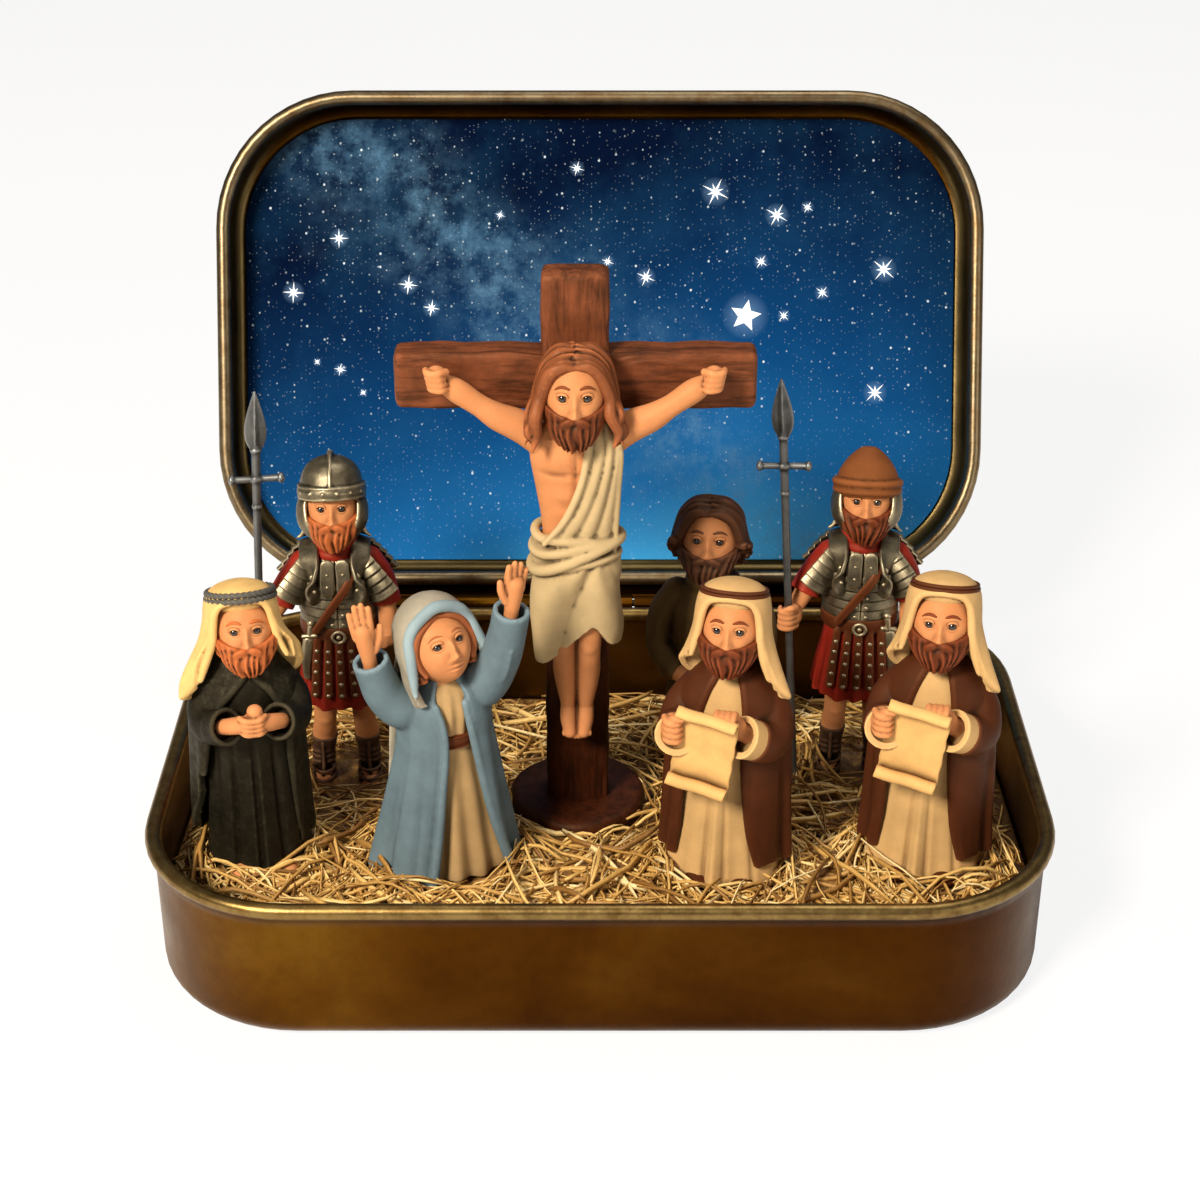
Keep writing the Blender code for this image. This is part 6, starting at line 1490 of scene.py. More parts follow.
# Men with scrolls
# Two castings of the same man: cream gown, brown cloak with wide lined sleeves, cream headscarf with a brown band.

BROWN = clay("brown clay", (0.062, 0.0155, 0.005), 0.28, 1.8, 0.14, 0.45, 0.6)
BEARD = clay("beard clay", (0.085, 0.017, 0.005), 0.22, 2.0, 0.18, 0.35, 0.55)
PARCHMENT = clay("parchment", (0.63, 0.37, 0.135), 0.4, 1.2, 0.12, 0.3, 0.6)
MAN_HEAD, MAN_SIZE = (0.0, -0.5, 30.6), (3.1, 3.1, 4.1)
GAZE = (-18, 0, 0)


def bearded_head(name, centre, size, look, foot, seed, **beard):
    """A man's head that looks up a little, with beard, moustache and brows in one hair piece."""
    head(name, centre, size, name, GAZE, foot, ears=False)
    hair = leant(full_beard(centre, size, seed=seed, **beard) + brows(centre, size), GAZE, centre)
    figure(name)("beard", hair, look, None, "brown hair clay", 0.11, 2)


def gown_folds(angle, z):
    """Two deep creases under the scroll, a broad pleat between them, and a hem that lifts over each shoe."""
    low = np.clip((18 - z) / 16, 0, 1)
    out = low * (
        0.5 * ridge(angle, -0.09, 0.07) - 0.42 * ridge(angle, -0.28, 0.045) - 0.42 * ridge(angle, 0.09, 0.045)
    )
    out = (
        out + low * (0.22 * np.cos(6 * angle + 0.9) + 0.12 * np.cos(11 * angle))
        - 0.3 * low * ridge(angle, 0.62, 0.06)
    )
    hem = np.clip((5 - z) / 5, 0, 1) ** 1.5
    return out, hem * (0.75 * ridge(angle, 0.40, 0.22) + 0.75 * ridge(angle, -0.50, 0.22) - 0.1)


GOWN = [
    (0.15, 5.8, 4.9), (0.5, 6.45, 5.45), (3, 6.2, 5.2), (8, 5.4, 4.6), (13, 4.8, 4.2), (18, 4.6, 3.9),
    (21.5, 4.5, 3.8), (23.8, 3.7, 3.2), (25.2, 2.4, 2.2), (25.9, 1.6, 1.6),
]


def cloak_folds(angle, z):
    """Long folds from the shoulders that widen to the hem, and a hem that rises at the front corners."""
    low = np.clip((24 - z) / 22, 0, 1)
    side = np.abs(angle)
    out = (
        low * (0.34 * np.cos(9 * angle + 0.6) + 0.16 * np.cos(14 * angle)) - 0.55 * low * ridge(side, 1.22, 0.10)
        + 0.25 * low * ridge(side, 1.02, 0.09)
    )
    return out, np.clip((8 - z) / 8, 0, 1) * (0.9 * ridge(side, 0.75, 0.50) + 0.12 * np.cos(7 * angle))


def rolled_edge(levels, gaps, thick, heights, side, radius):
    """A rounded hem down one front edge of a coat, on the middle of its cloth."""
    levels = np.array([(*level, 0.0, 0.0)[:5] for level in levels])
    heights = np.array(heights, float)
    wide, deep, y, x = (np.interp(heights, levels[:, 0], levels[:, k]) for k in (1, 2, 3, 4))
    angle = side * np.radians(np.interp(heights, [g[0] for g in gaps], [g[1 if side < 0 else 2] for g in gaps]))
    middle = np.stack([x + (wide - thick / 2) * np.sin(angle), y - (deep - thick / 2) * np.cos(angle), heights], 1)
    return tube(middle, radius, (0, 1, 0), 60, 14)


def scroll_man(name):
    """One of the two men: every part in the figure's own frame, then carried to its place."""
    made = figure(name)
    shoes = [blob((side * 2.5, -4.6, 0.75), (1.35, 1.9, 0.8), (0, 0, side * 8)) for side in (-1, 1)]
    made("shoes", shoes, BROWN, None, "rust brown clay")
    made("tunic", [grid_shell(turned(GOWN, 140, 220, gown_folds))], CREAM_WARM, "gown", "sand clay")

    levels = [
        (2.4, 7.1, 6.0, 0.3), (2.9, 7.3, 6.15, 0.3), (7, 7.1, 5.9, 0.3), (12, 7.0, 5.6, 0.3), (17, 6.8, 5.1, 0.2),
        (20, 6.4, 4.7, 0.1), (22.5, 5.7, 4.2), (24.3, 4.6, 3.6), (25.6, 3.3, 2.9), (26.2, 2.6, 2.5),
    ]
    gaps = [
        (1, 54, 44), (4, 52, 36), (8, 50, 29), (13, 48, 24), (17, 42, 22), (20, 34, 24), (23, 30, 26), (26.2, 26, 30),
    ]
    shells = [coat(levels, 0.95, gaps, 130, 180, cloak_folds)]
    heights = [3.3, 7, 11, 15, 19, 22, 24.5, 25.9]
    shells += [
        rolled_edge(levels, gaps, 0.95, heights, side, [0.5, 0.62, 0.62, 0.6, 0.58, 0.55, 0.5, 0.4])
        for side in (-1, 1)
    ]
    right = [(-3.5, 0.2, 22.8), (-4.9, -0.8, 20.9), (-5.2, -2.6, 19.5), (-5.1, -4.4, 19.5), (-4.9, -5.4, 19.9)]
    left = [(3.5, 0.2, 22.8), (4.9, -0.8, 20.7), (5.1, -2.8, 19.1), (4.3, -4.5, 19.2), (3.4, -5.3, 19.9)]
    for path in (right, left):
        shells.append(tube(path, [1.9, 2.05, 2.15, 2.2, 2.3], (0, 0, 1), 40, 28, hollow=(0.5, 12)))
        for k in range(3):
            crease = [np.array(p) + [0.25 * np.sign(p[0]) * (2 - k), -1.1 + 0.2 * k, 1.1 - 0.9 * k] for p in path[:4]]
            shells.append(tube(crease, [0.2, 0.45, 0.55, 0.2], (0, 1, 0), 24, 10))
    made("mantle", shells, BROWN, "cloak", "rust brown clay", 0.19, 3)

    linings = [
        tube(
            [path[3], path[4], path[4] + 1.25 * (path[4] - path[3])], [1.9, 2.15, 2.35], (0, 0, 1), 24, 36,
            hollow=(0.72, 7),
        )
        for path in (np.array(right), np.array(left))
    ]
    made("linings", linings, CREAM_WARM, None, "sand clay", 0.11, 3)

    lean, middle = (0, 7, -9), np.array([-1.6, -7.2, 19.2])
    curl = np.linspace(0, 2.3 * np.pi, 34)
    spiral = (0.78 - 0.055 * curl)[:, None] * np.stack([np.sin(curl), -np.cos(curl)], 1)
    upper = spiral * [1, -1] + [0, 0.78]
    sheet = np.concatenate([
        (np.stack([upper[:, 1], 4.15 + upper[:, 0]], 1))[::-1],
        np.stack([np.zeros(14), np.linspace(4.0, -4.0, 14)], 1),
        np.stack([spiral[:, 1] + 0.78, -4.15 - spiral[:, 0]], 1),
    ])
    sheet[:, 0] -= 0.12 * np.cos(sheet[:, 1] * 0.38)
    ahead = np.gradient(sheet, axis=0)
    normal = np.stack([-ahead[:, 1], ahead[:, 0]], 1) / np.linalg.norm(ahead, axis=1, keepdims=True)
    across = np.linspace(-3.3, 3.3, 40)[:, None]
    wave = 0.08 * np.sin(across * 1.4 + 1)

    def leaf(offset):
        flat = sheet + normal * offset
        return np.stack(
            [
                across + 0.06 * np.sin(flat[:, 1] * 3)[None, :], -flat[:, 0][None, :] + wave,
                flat[:, 1][None, :] + 0 * across,
            ],
            axis=2,
        )

    points, quads = walled(leaf(0.12), leaf(0.0), leaf(-0.12))
    made("parchment", [(spin(points, lean) + middle, quads)], PARCHMENT, "scroll", "parchment")

    grip = spin(np.array([[-3.35, -0.2, 1.7]]), lean)[0] + middle
    fists = [
        blob(grip + [-0.55, 0.5, 0.0], (1.15, 1.35, 1.45), (0, 10, 0)),
        tube([(-5.6, -4.4, 20.0), grip + [-0.4, 0.6, 0]], [1.0, 1.0], (0, 0, 1), 8, 16),
    ]
    for k in range(4):
        knuckle = grip + [-0.25, 0.0, 1.15 - 0.72 * k]
        fists.append(tube(
            knuckle + [[-1.0, 0.3, 0], [-0.5, -0.85, 0.05], [0.45, -0.95, 0.0], [0.85, -0.45, 0]],
            [0.36, 0.42, 0.4, 0.3], (0, 0, 1), 18, 10,
        ))
    fists.append(tube(
        grip + [[-0.5, -0.2, 1.2], [0.1, -0.9, 1.75], [0.8, -0.9, 1.7]], [0.42, 0.42, 0.3], (0, 0, 1), 12, 10,
    ))
    far = spin(np.array([[1.6, 0.9, 3.6]]), lean)[0] + middle
    fists += [
        blob(far + [0.7, 0.7, -1.0], (1.5, 1.0, 1.5)),
        tube([(4.0, -4.6, 19.4), far + [0.8, 0.7, -0.9]], [1.0, 1.1], (0, 0, 1), 8, 16),
    ]
    for k in range(4):
        root = far + [-0.75 + 0.62 * k, 0.5, 0.2]
        fists.append(tube(
            [root, root + [-0.1, -0.6, 0.95], root + [-0.15, -1.75, 0.95], root + [-0.15, -2.3, 0.25]],
            [0.36, 0.38, 0.35, 0.26], (1, 0, 0), 16, 10,
        ))
    made("fists", fists, SKIN, "hands", "skin clay", 0.11, 2)

    bearded_head(name, MAN_HEAD, MAN_SIZE, BEARD, 25.0, 11)
    made("scarf", headscarf(), CREAM_WARM, "headscarf", "cream clay", 0.15, 3)
    band = [ring(z, wide, wide + 0.2, 0.2, 0.22, -0.35, 0, 0.1) for z, wide in ((34.75, 3.42), (34.35, 3.52))]
    made("band", leant(band, GAZE, MAN_HEAD), BROWN, None, "leather clay")


def scarf_folds(angle, z):
    """Soft folds down the sides. The right end sweeps out to a long tip, the left one ends at the shoulder."""
    low = np.clip((31 - z) / 7, 0, 1)
    out = (
        low * (0.24 * np.cos(8 * angle + 1) + 0.10 * np.cos(13 * angle)) + 1.5 * low ** 1.2 * ridge(angle, 1.5, 0.6)
        + 0.5 * low * ridge(angle, -1.5, 0.5)
    )
    return (
        out,
        low ** 1.5 * (3.4 * ridge(angle, -1.15, 0.8) + 2.6 * ridge(angle, 0.85, 0.38) - 0.5 * ridge(angle, 1.6, 0.4))
    )


def headscarf(rise=0.0, spread=1.0, longer=1):
    """A cloth over the crown and down both cheeks, with a rolled edge round the face. One end is the longer one."""
    levels = [
        (23.6, 4.9 * spread, 3.6, 0.7), (24.2, 5.0 * spread, 3.8, 0.6), (27, 4.6 * spread, 4.1, 0.2),
        (30, 4.25, 4.1, -0.1), (33, 4.0, 4.05, -0.35), (34.4, 3.62, 3.8, -0.35), (35.3, 2.7, 2.9, -0.3),
        (35.8, 1.3, 1.4, -0.3), (35.9, 0.3, 0.3, -0.3),
    ]
    gaps = [
        (23, 66, 64), (26, 66, 60), (29, 62, 58), (32, 54, 54), (33.3, 44, 44), (34.0, 22, 22), (34.25, 0.5, 0.5),
        (37, 0.5, 0.5),
    ]
    levels = [(z + rise, *rest) for z, *rest in levels]
    gaps = [(z + rise, *rest) for z, *rest in gaps]
    shells = [coat(levels, 0.8, gaps, 110, 150, scarf_folds), blob((0, -0.3, 34.0 + rise), (3.2, 3.3, 1.9))]
    angle = np.radians([-66, -63, -58, -50, -34, 0, 34, 50, 57, 59, 62, 66])
    high = np.array([27.5, 29.5, 31.5, 33.0, 33.9, 34.2, 33.9, 33.0, 31.5, 29.6, 27.4, 25.6]) + rise
    wide = np.interp(
        high - rise, [24.2, 27, 30, 33, 34.6],
        np.array([5.0 * spread + 0.5, 4.6 * spread + 0.2, 4.15, 3.95, 3.65]) - 0.35,
    )
    deep = np.interp(high - rise, [24.2, 27, 30, 33, 34.6], np.array([3.8, 4.1, 4.1, 4.05, 3.85]) - 0.35)
    y = np.interp(high - rise, [24.2, 27, 30, 33, 34.6], [0.6, 0.2, -0.1, -0.35, -0.35])
    path = np.stack([wide * np.sin(angle), y - deep * np.cos(angle), high], 1)
    shells.append(tube(
        path, [0.3, 0.42, 0.45, 0.45, 0.42, 0.42, 0.42, 0.45, 0.48, 0.5, 0.5, 0.35], (0.05, 1, 0.3), 110, 12,
    ))
    pivot = np.array(MAN_HEAD) + [0, 0, rise]
    return leant([(points * [longer, 1, 1], quads) for points, quads in shells], GAZE, pivot)


CREAM_WARM = clay("warm cream clay", (0.54, 0.335, 0.14), 0.35, 1.2, 0.1, 0.4, 0.62)
for name in ("scribe", "reader"):
    scroll_man(name)


# Elder in dark dress
# A charcoal clay robe and a shoulder cloak whose edges meet under the chin, a cream headscarf under a black cord
# of twisted clay, and folded hands.

CHARCOAL = clay("charcoal clay", (0.0075, 0.0072, 0.0045), 0.3, 7.0, 0.5, 0.8, 0.6, rubbed=0.45)
# The robe's charcoal clay is the cloak's made darker: painted shade over the lower part of the figure.
SHADED_CHARCOAL = clay("shaded charcoal clay", (0.0055, 0.005, 0.003), 0.3, 6.0, 0.5, 0.8, 0.6, rubbed=0.2)
BLACK_CORD = clay("black cord", (0.012, 0.012, 0.011), 0.4, 7.0, 0.3, 0.6, 0.5)
RED_BEARD = clay("red beard clay", (0.30, 0.078, 0.022), 0.22, 1.6, 0.16, 0.35, 0.5)
SAND_SCARF = clay("sand scarf clay", (0.66, 0.42, 0.155), 0.35, 1.2, 0.12, 0.4, 0.6)
elder = figure("elder")
ELDER_HEAD, ELDER_SIZE = (0.2, -0.5, 29.2), (3.05, 3.05, 4.0)


def robe_folds(angle, z):
    """Deep upright creases below the hands, gentler at the sides."""
    low = np.clip((19 - z) / 6, 0, 1)
    front = np.clip(np.cos(angle), 0, 1) ** 2
    out = -0.60 * low * front * np.clip(np.cos(13 * angle + 0.3) - 0.55, 0, 1) * 2 + 0.15 * low * np.cos(9 * angle)
    return out, 0.2 * np.cos(6 * angle) * np.clip((3 - z) / 3, 0, 1)


robe = [grid_shell(turned(
    [
        (0.15, 5.2, 4.7), (0.5, 5.7, 5.1), (3, 5.6, 5.0), (8, 5.2, 4.7), (13, 4.9, 4.4), (18, 4.7, 4.1),
        (21.5, 4.5, 3.8), (23.8, 3.8, 3.2), (25.2, 2.5, 2.3), (25.9, 1.6, 1.6),
    ],
    140, 230, robe_folds,
))]
for side in (-1, 1):
    path = np.array([
        (3.5, 0.2, 22.6), (4.7, -0.9, 20.4), (4.6, -2.9, 19.2), (3.7, -4.6, 19.6), (3.0, -5.6, 20.2),
    ]) * [side, 1, 1]
    robe.append(tube(path, [1.8, 1.9, 1.95, 1.95, 1.9], (0, 0, 1), 40, 28, hollow=(0.55, 10)))
    robe += [
        tube(path[1:4] + [0.3 * side, -1.5, 0.9 - 1.1 * k], [0.15, 0.4, 0.15], (0, 1, 0), 16, 10) for k in (0, 1)
    ]
    robe.append(tube(
        path[3:] + np.array([[0, 0, 0], [-0.35 * side, -0.4, 0.2]]), [2.0, 2.1], (0, 0, 1), 10, 28, hollow=(0.5, 8),
    ))
elder("gown", robe, SHADED_CHARCOAL, "robe", "charcoal clay", 0.18, 3)


def cape_folds(angle, z):
    """Folds from the throat over the shoulders; the viewer's left side ends higher than the right."""
    low = np.clip((24 - z) / 20, 0, 1)
    out = (
        low * (0.34 * np.cos(8 * angle + 1) + 0.15 * np.cos(13 * angle))
        + 0.25 * ridge(z, 23.6, 0.7) * np.cos(5 * angle)
    )
    return out, np.clip((14 - z) / 12, 0, 1) * 8.0 * ridge(angle, -1.05, 0.45)


CAPE = [
    (2.6, 6.3, 5.5, 0.4, -0.6), (3.1, 6.5, 5.7, 0.4, -0.6), (8, 6.4, 5.5, 0.4, -0.6), (13, 6.3, 5.3, 0.3, -0.5),
    (18, 6.2, 5.1, 0.2, -0.4), (21, 6.0, 4.8, 0.1, -0.2), (23, 5.3, 4.2), (24.6, 4.1, 3.5), (25.6, 3.2, 2.9),
    (26.0, 2.7, 2.6),
]
CAPE_GAPS = [
    (2, 66, 52), (8, 64, 52), (14, 58, 50), (18, 50, 48), (21, 38, 38), (23, 24, 26), (24.6, 8, 10), (25.4, 2, 3),
    (26.2, 8, 10),
]
cape = [coat(CAPE, 0.9, CAPE_GAPS, 120, 170, cape_folds), ring(25.5, 2.75, 2.7, 0.55, 0.75, 0.1, 0, -0.5)]
cape += [
    rolled_edge(
        CAPE, CAPE_GAPS, 0.9, [12.5 if side < 0 else 4.5, 15, 18, 21, 23, 24.6, 25.3], side,
        [0.4, 0.55, 0.55, 0.52, 0.5, 0.5, 0.4],
    )
    for side in (-1, 1)
]
elder("cloak", cape, CHARCOAL, "cape", "charcoal clay", 0.18, 3)

WRIST = [(3.2, -5.4, 20.1), (1.9, -6.3, 20.6), (0.7, -6.9, 21.0)]
hands = [tube(sided(side, WRIST), [0.85, 0.95, 0.95], (0, 0, 1), 20, 20) for side in (-1, 1)]
hands += [blob((0.2, -6.9, 21.3), (1.25, 1.05, 1.15)), blob((0.3, -6.9, 22.5), (0.85, 0.85, 0.75))]
for side in (-1, 1):
    for k in range(4):
        z = 21.9 - 0.55 * k
        hands.append(tube(
            [(side * 1.35, -7.0, z), (side * 0.75, -7.75, z - 0.05), (-side * 0.1 + 0.2, -7.85, z - 0.12)],
            [0.3, 0.34, 0.26], (0, 0, 1), 14, 10,
        ))
elder("fingers", hands, SKIN, "hands", "skin clay", 0.11, 2)
elder(
    "feet", [blob((side * 2.4, -4.4, 0.7), (1.3, 1.9, 0.75), (0, 0, side * 8)) for side in (-1, 1)], SKIN, None,
    "skin clay",
)
bearded_head("elder", ELDER_HEAD, ELDER_SIZE, RED_BEARD, 25.0, 5)
elder("scarf", headscarf(-1.5, 1.12, -1), SAND_SCARF, "headscarf", "cream clay", 0.15, 3)
cords = [
    ring(z, wide, wide + 0.2, 0.30, 0.33, -0.3, 0.1, 0.1, 240, 14, 34) for z, wide in ((33.15, 3.5), (32.55, 3.6))
]
elder("cord", leant(cords, GAZE, ELDER_HEAD), BLACK_CORD, "head_cord", "charcoal clay")

# Onlooker
# A bare-headed man in a plain olive brown robe, the arms at the sides.

OLIVE = clay("olive clay", (0.110, 0.064, 0.022), 0.3, 1.6, 0.2, 0.4, 0.65)
DARK_HAIR = clay("dark hair clay", (0.060, 0.022, 0.011), 0.25, 2.2, 0.2, 0.3, 0.5)
onlooker = figure("onlooker")
LOOK_HEAD, LOOK_SIZE = (-0.4, -0.4, 31.0), (3.4, 3.3, 4.4)
plain = [grid_shell(turned(
    [
        (0.15, 5.6, 4.8), (0.5, 6.1, 5.1), (6, 5.6, 4.7), (13, 5.1, 4.3), (18, 4.9, 4.1), (22.0, 4.7, 3.8),
        (24.2, 3.9, 3.2), (25.6, 2.5, 2.3), (26.2, 1.7, 1.7),
    ],
    100, 160, lambda angle, z: (np.clip((20 - z) / 18, 0, 1) * 0.35 * np.cos(10 * angle), 0 * angle),
))]
for side in (-1, 1):
    arm = sided(side, [(4.2, 0.2, 23.2), (5.9, 0.0, 20.4), (6.2, -0.8, 16.6), (4.4, -3.0, 14.6)])
    crease = sided(side, [(5.4, -1.4, 21.6), (6.3, -1.6, 19.4), (6.4, -1.9, 17.2)])
    plain += [tube(arm, [1.9, 1.75, 1.6, 1.6], (0, 1, 0), 40, 24), tube(crease, [0.2, 0.45, 0.2], (0, 1, 0), 16, 10)]
plain.append(ring(25.5, 2.7, 2.5, 0.6, 0.7, 0.1))
onlooker("gown", plain, OLIVE, "robe", "olive brown clay", 0.19, 3)
onlooker("fingers", [blob((side * 3.4, -3.7, 14.3), (1.2, 1.0, 1.1)) for side in (-1, 1)], SKIN, None, "skin clay")
head("onlooker", LOOK_HEAD, LOOK_SIZE, "onlooker", GAZE, 25.4)
crop = parted_hair(LOOK_HEAD, LOOK_SIZE, np.random.default_rng(8), (-0.12, -0.62), 0.15)
crop += full_beard(LOOK_HEAD, LOOK_SIZE, -1.25, 1.0, 10, 7) + brows(LOOK_HEAD, LOOK_SIZE)
onlooker("locks", leant(crop, GAZE, LOOK_HEAD), DARK_HAIR, "hair", "brown hair clay", 0.12, 2)

# Soldiers
# Two men in red tunics, with banded cuirasses, studded belts and laced sandals; one in a helmet, one in a felt cap.


def worn_metal(name, tone, dark=0.16, light=1.7, rough=0.34):
    """Painted metal: a dark wash and painted shade in the joints, rubbed edges lightened further as a painted
    highlight, and a mottled satin shine.
    """
    look, tree, shader = new_look(name)
    shader.inputs["Metallic"].default_value = 0.92
    tone = np.array(tone)
    cloud = ramp(tree, noise(tree, 0.55, 6, 0.7), [(0.32, tone * 0.6), (0.68, np.minimum(tone * 1.3, 1))])
    bend = add(tree, "ShaderNodeAttribute", attribute_name="relief").outputs["Fac"]
    # Dark wash and painted shade: the tone darkens where the surface bends inwards.
    crease = ramp(tree, bend, [(0.22, dark), (0.46, 1.0)])
    colour = mixed(tree, 1.0, cloud, crease, "MULTIPLY")
    # Rubbed metal and painted highlight: the tone lightens where the surface bends outwards.
    edge = ramp(tree, bend, [(0.58, 0.0), (0.84, 1.0)])
    colour = mixed(tree, edge, colour, tuple(np.minimum(tone * light, 1)))
    tree.links.new(colour, shader.inputs["Base Color"])
    tree.links.new(
        ramp(tree, noise(tree, 1.0, 5, 0.6), [(0.3, rough), (0.7, rough + 0.2)]), shader.inputs["Roughness"],
    )
    bumped(tree, shader, noise(tree, 3.0, 4, 0.6), 0.3, 0.07)
    return look


PEWTER = worn_metal("pewter", (0.188, 0.158, 0.104), 0.14, 2.6)
GUNMETAL = worn_metal("gunmetal", (0.105, 0.108, 0.110), 0.3, 2.4, 0.36)
RED = clay("red clay", (0.22, 0.014, 0.007), 0.3, 1.5, 0.2, 0.4, 0.5)
CAP_CLAY = clay("felt brown clay", (0.172, 0.053, 0.015), 0.3, 1.6, 0.14, 0.6, 0.7)
DARK_LEATHER = clay("dark leather", (0.045, 0.022, 0.013), 0.4, 2.2, 0.2, 0.4, 0.45)
SOLDIER_HEAD, SOLDIER_SIZE = (0.0, -0.5, 37.2), (3.0, 3.05, 4.1)
SPEAR_TOP, SPEAR_Y = 53.3, -4.0


def plate_folds(angle, z):
    """Five bands that lap over each other like tiles: each is widest at its lower edge."""
    share = np.mod((z - 22.9) / 1.25, 1.0)
    banded = np.clip((28.9 - z) / 0.4, 0, 1) * np.clip((z - 22.6) / 0.3, 0, 1)
    return 0.34 * (1 - share) ** 0.7 * banded - 0.10 * banded * ridge(angle, 0.0, 0.035), 0 * angle


def shoulder_bands(side):
    """Five lapped bands round a shoulder: arcs round the arm's line, each one widest at its lower edge."""
    start, end = np.array([side * 2.9, 0.1, 31.2]), np.array([side * 5.9, -0.25, 26.8])
    ahead = (end - start) / np.linalg.norm(end - start)
    upward = np.cross([0, 1.0, 0], ahead) * side
    along = np.linspace(0, 1, 90)[:, None]
    angle = np.linspace(-2.15, 2.15, 90)[None, :]
    share = np.mod(along * 5, 1.0) * (along < 1) + (along >= 1)
    radius = 1.85 + 0.75 * np.sin(np.pi * along ** 0.7 * 0.55) + 0.30 * share ** 0.8
    middle = start + (end - start) * along[..., None]

    def skin(drawn):
        reach = (radius - drawn)[..., None]
        return middle + reach * (np.cos(angle)[..., None] * upward + np.sin(angle)[..., None] * [0, -1.25, 0])

    return walled(skin(0.0), skin(0.22), skin(0.45))


def leaf_blade(foot, ahead):
    """A spear's leaf blade: a flat diamond section with a raised rib, from a narrow neck to a point."""
    share = np.linspace(0, 1, 60)[:, None]
    wide = 1.32 * np.sin(np.pi * share ** 0.72) ** 0.9 * (1 - 0.35 * share) + 0.12
    angle = np.linspace(0, 2 * np.pi, 32, endpoint=False)[None, :]
    x = np.cos(angle) * wide
    y = np.sin(angle) * (0.30 * np.sin(np.pi * share ** 0.8) + 0.10) * (1 + 0.9 * ridge(np.cos(angle), 0, 0.22))
    centre = foot + ahead * share * 7.4
    grid = centre[:, None] + np.stack([x, y, 0 * x], axis=2)
    return grid_shell(grid)


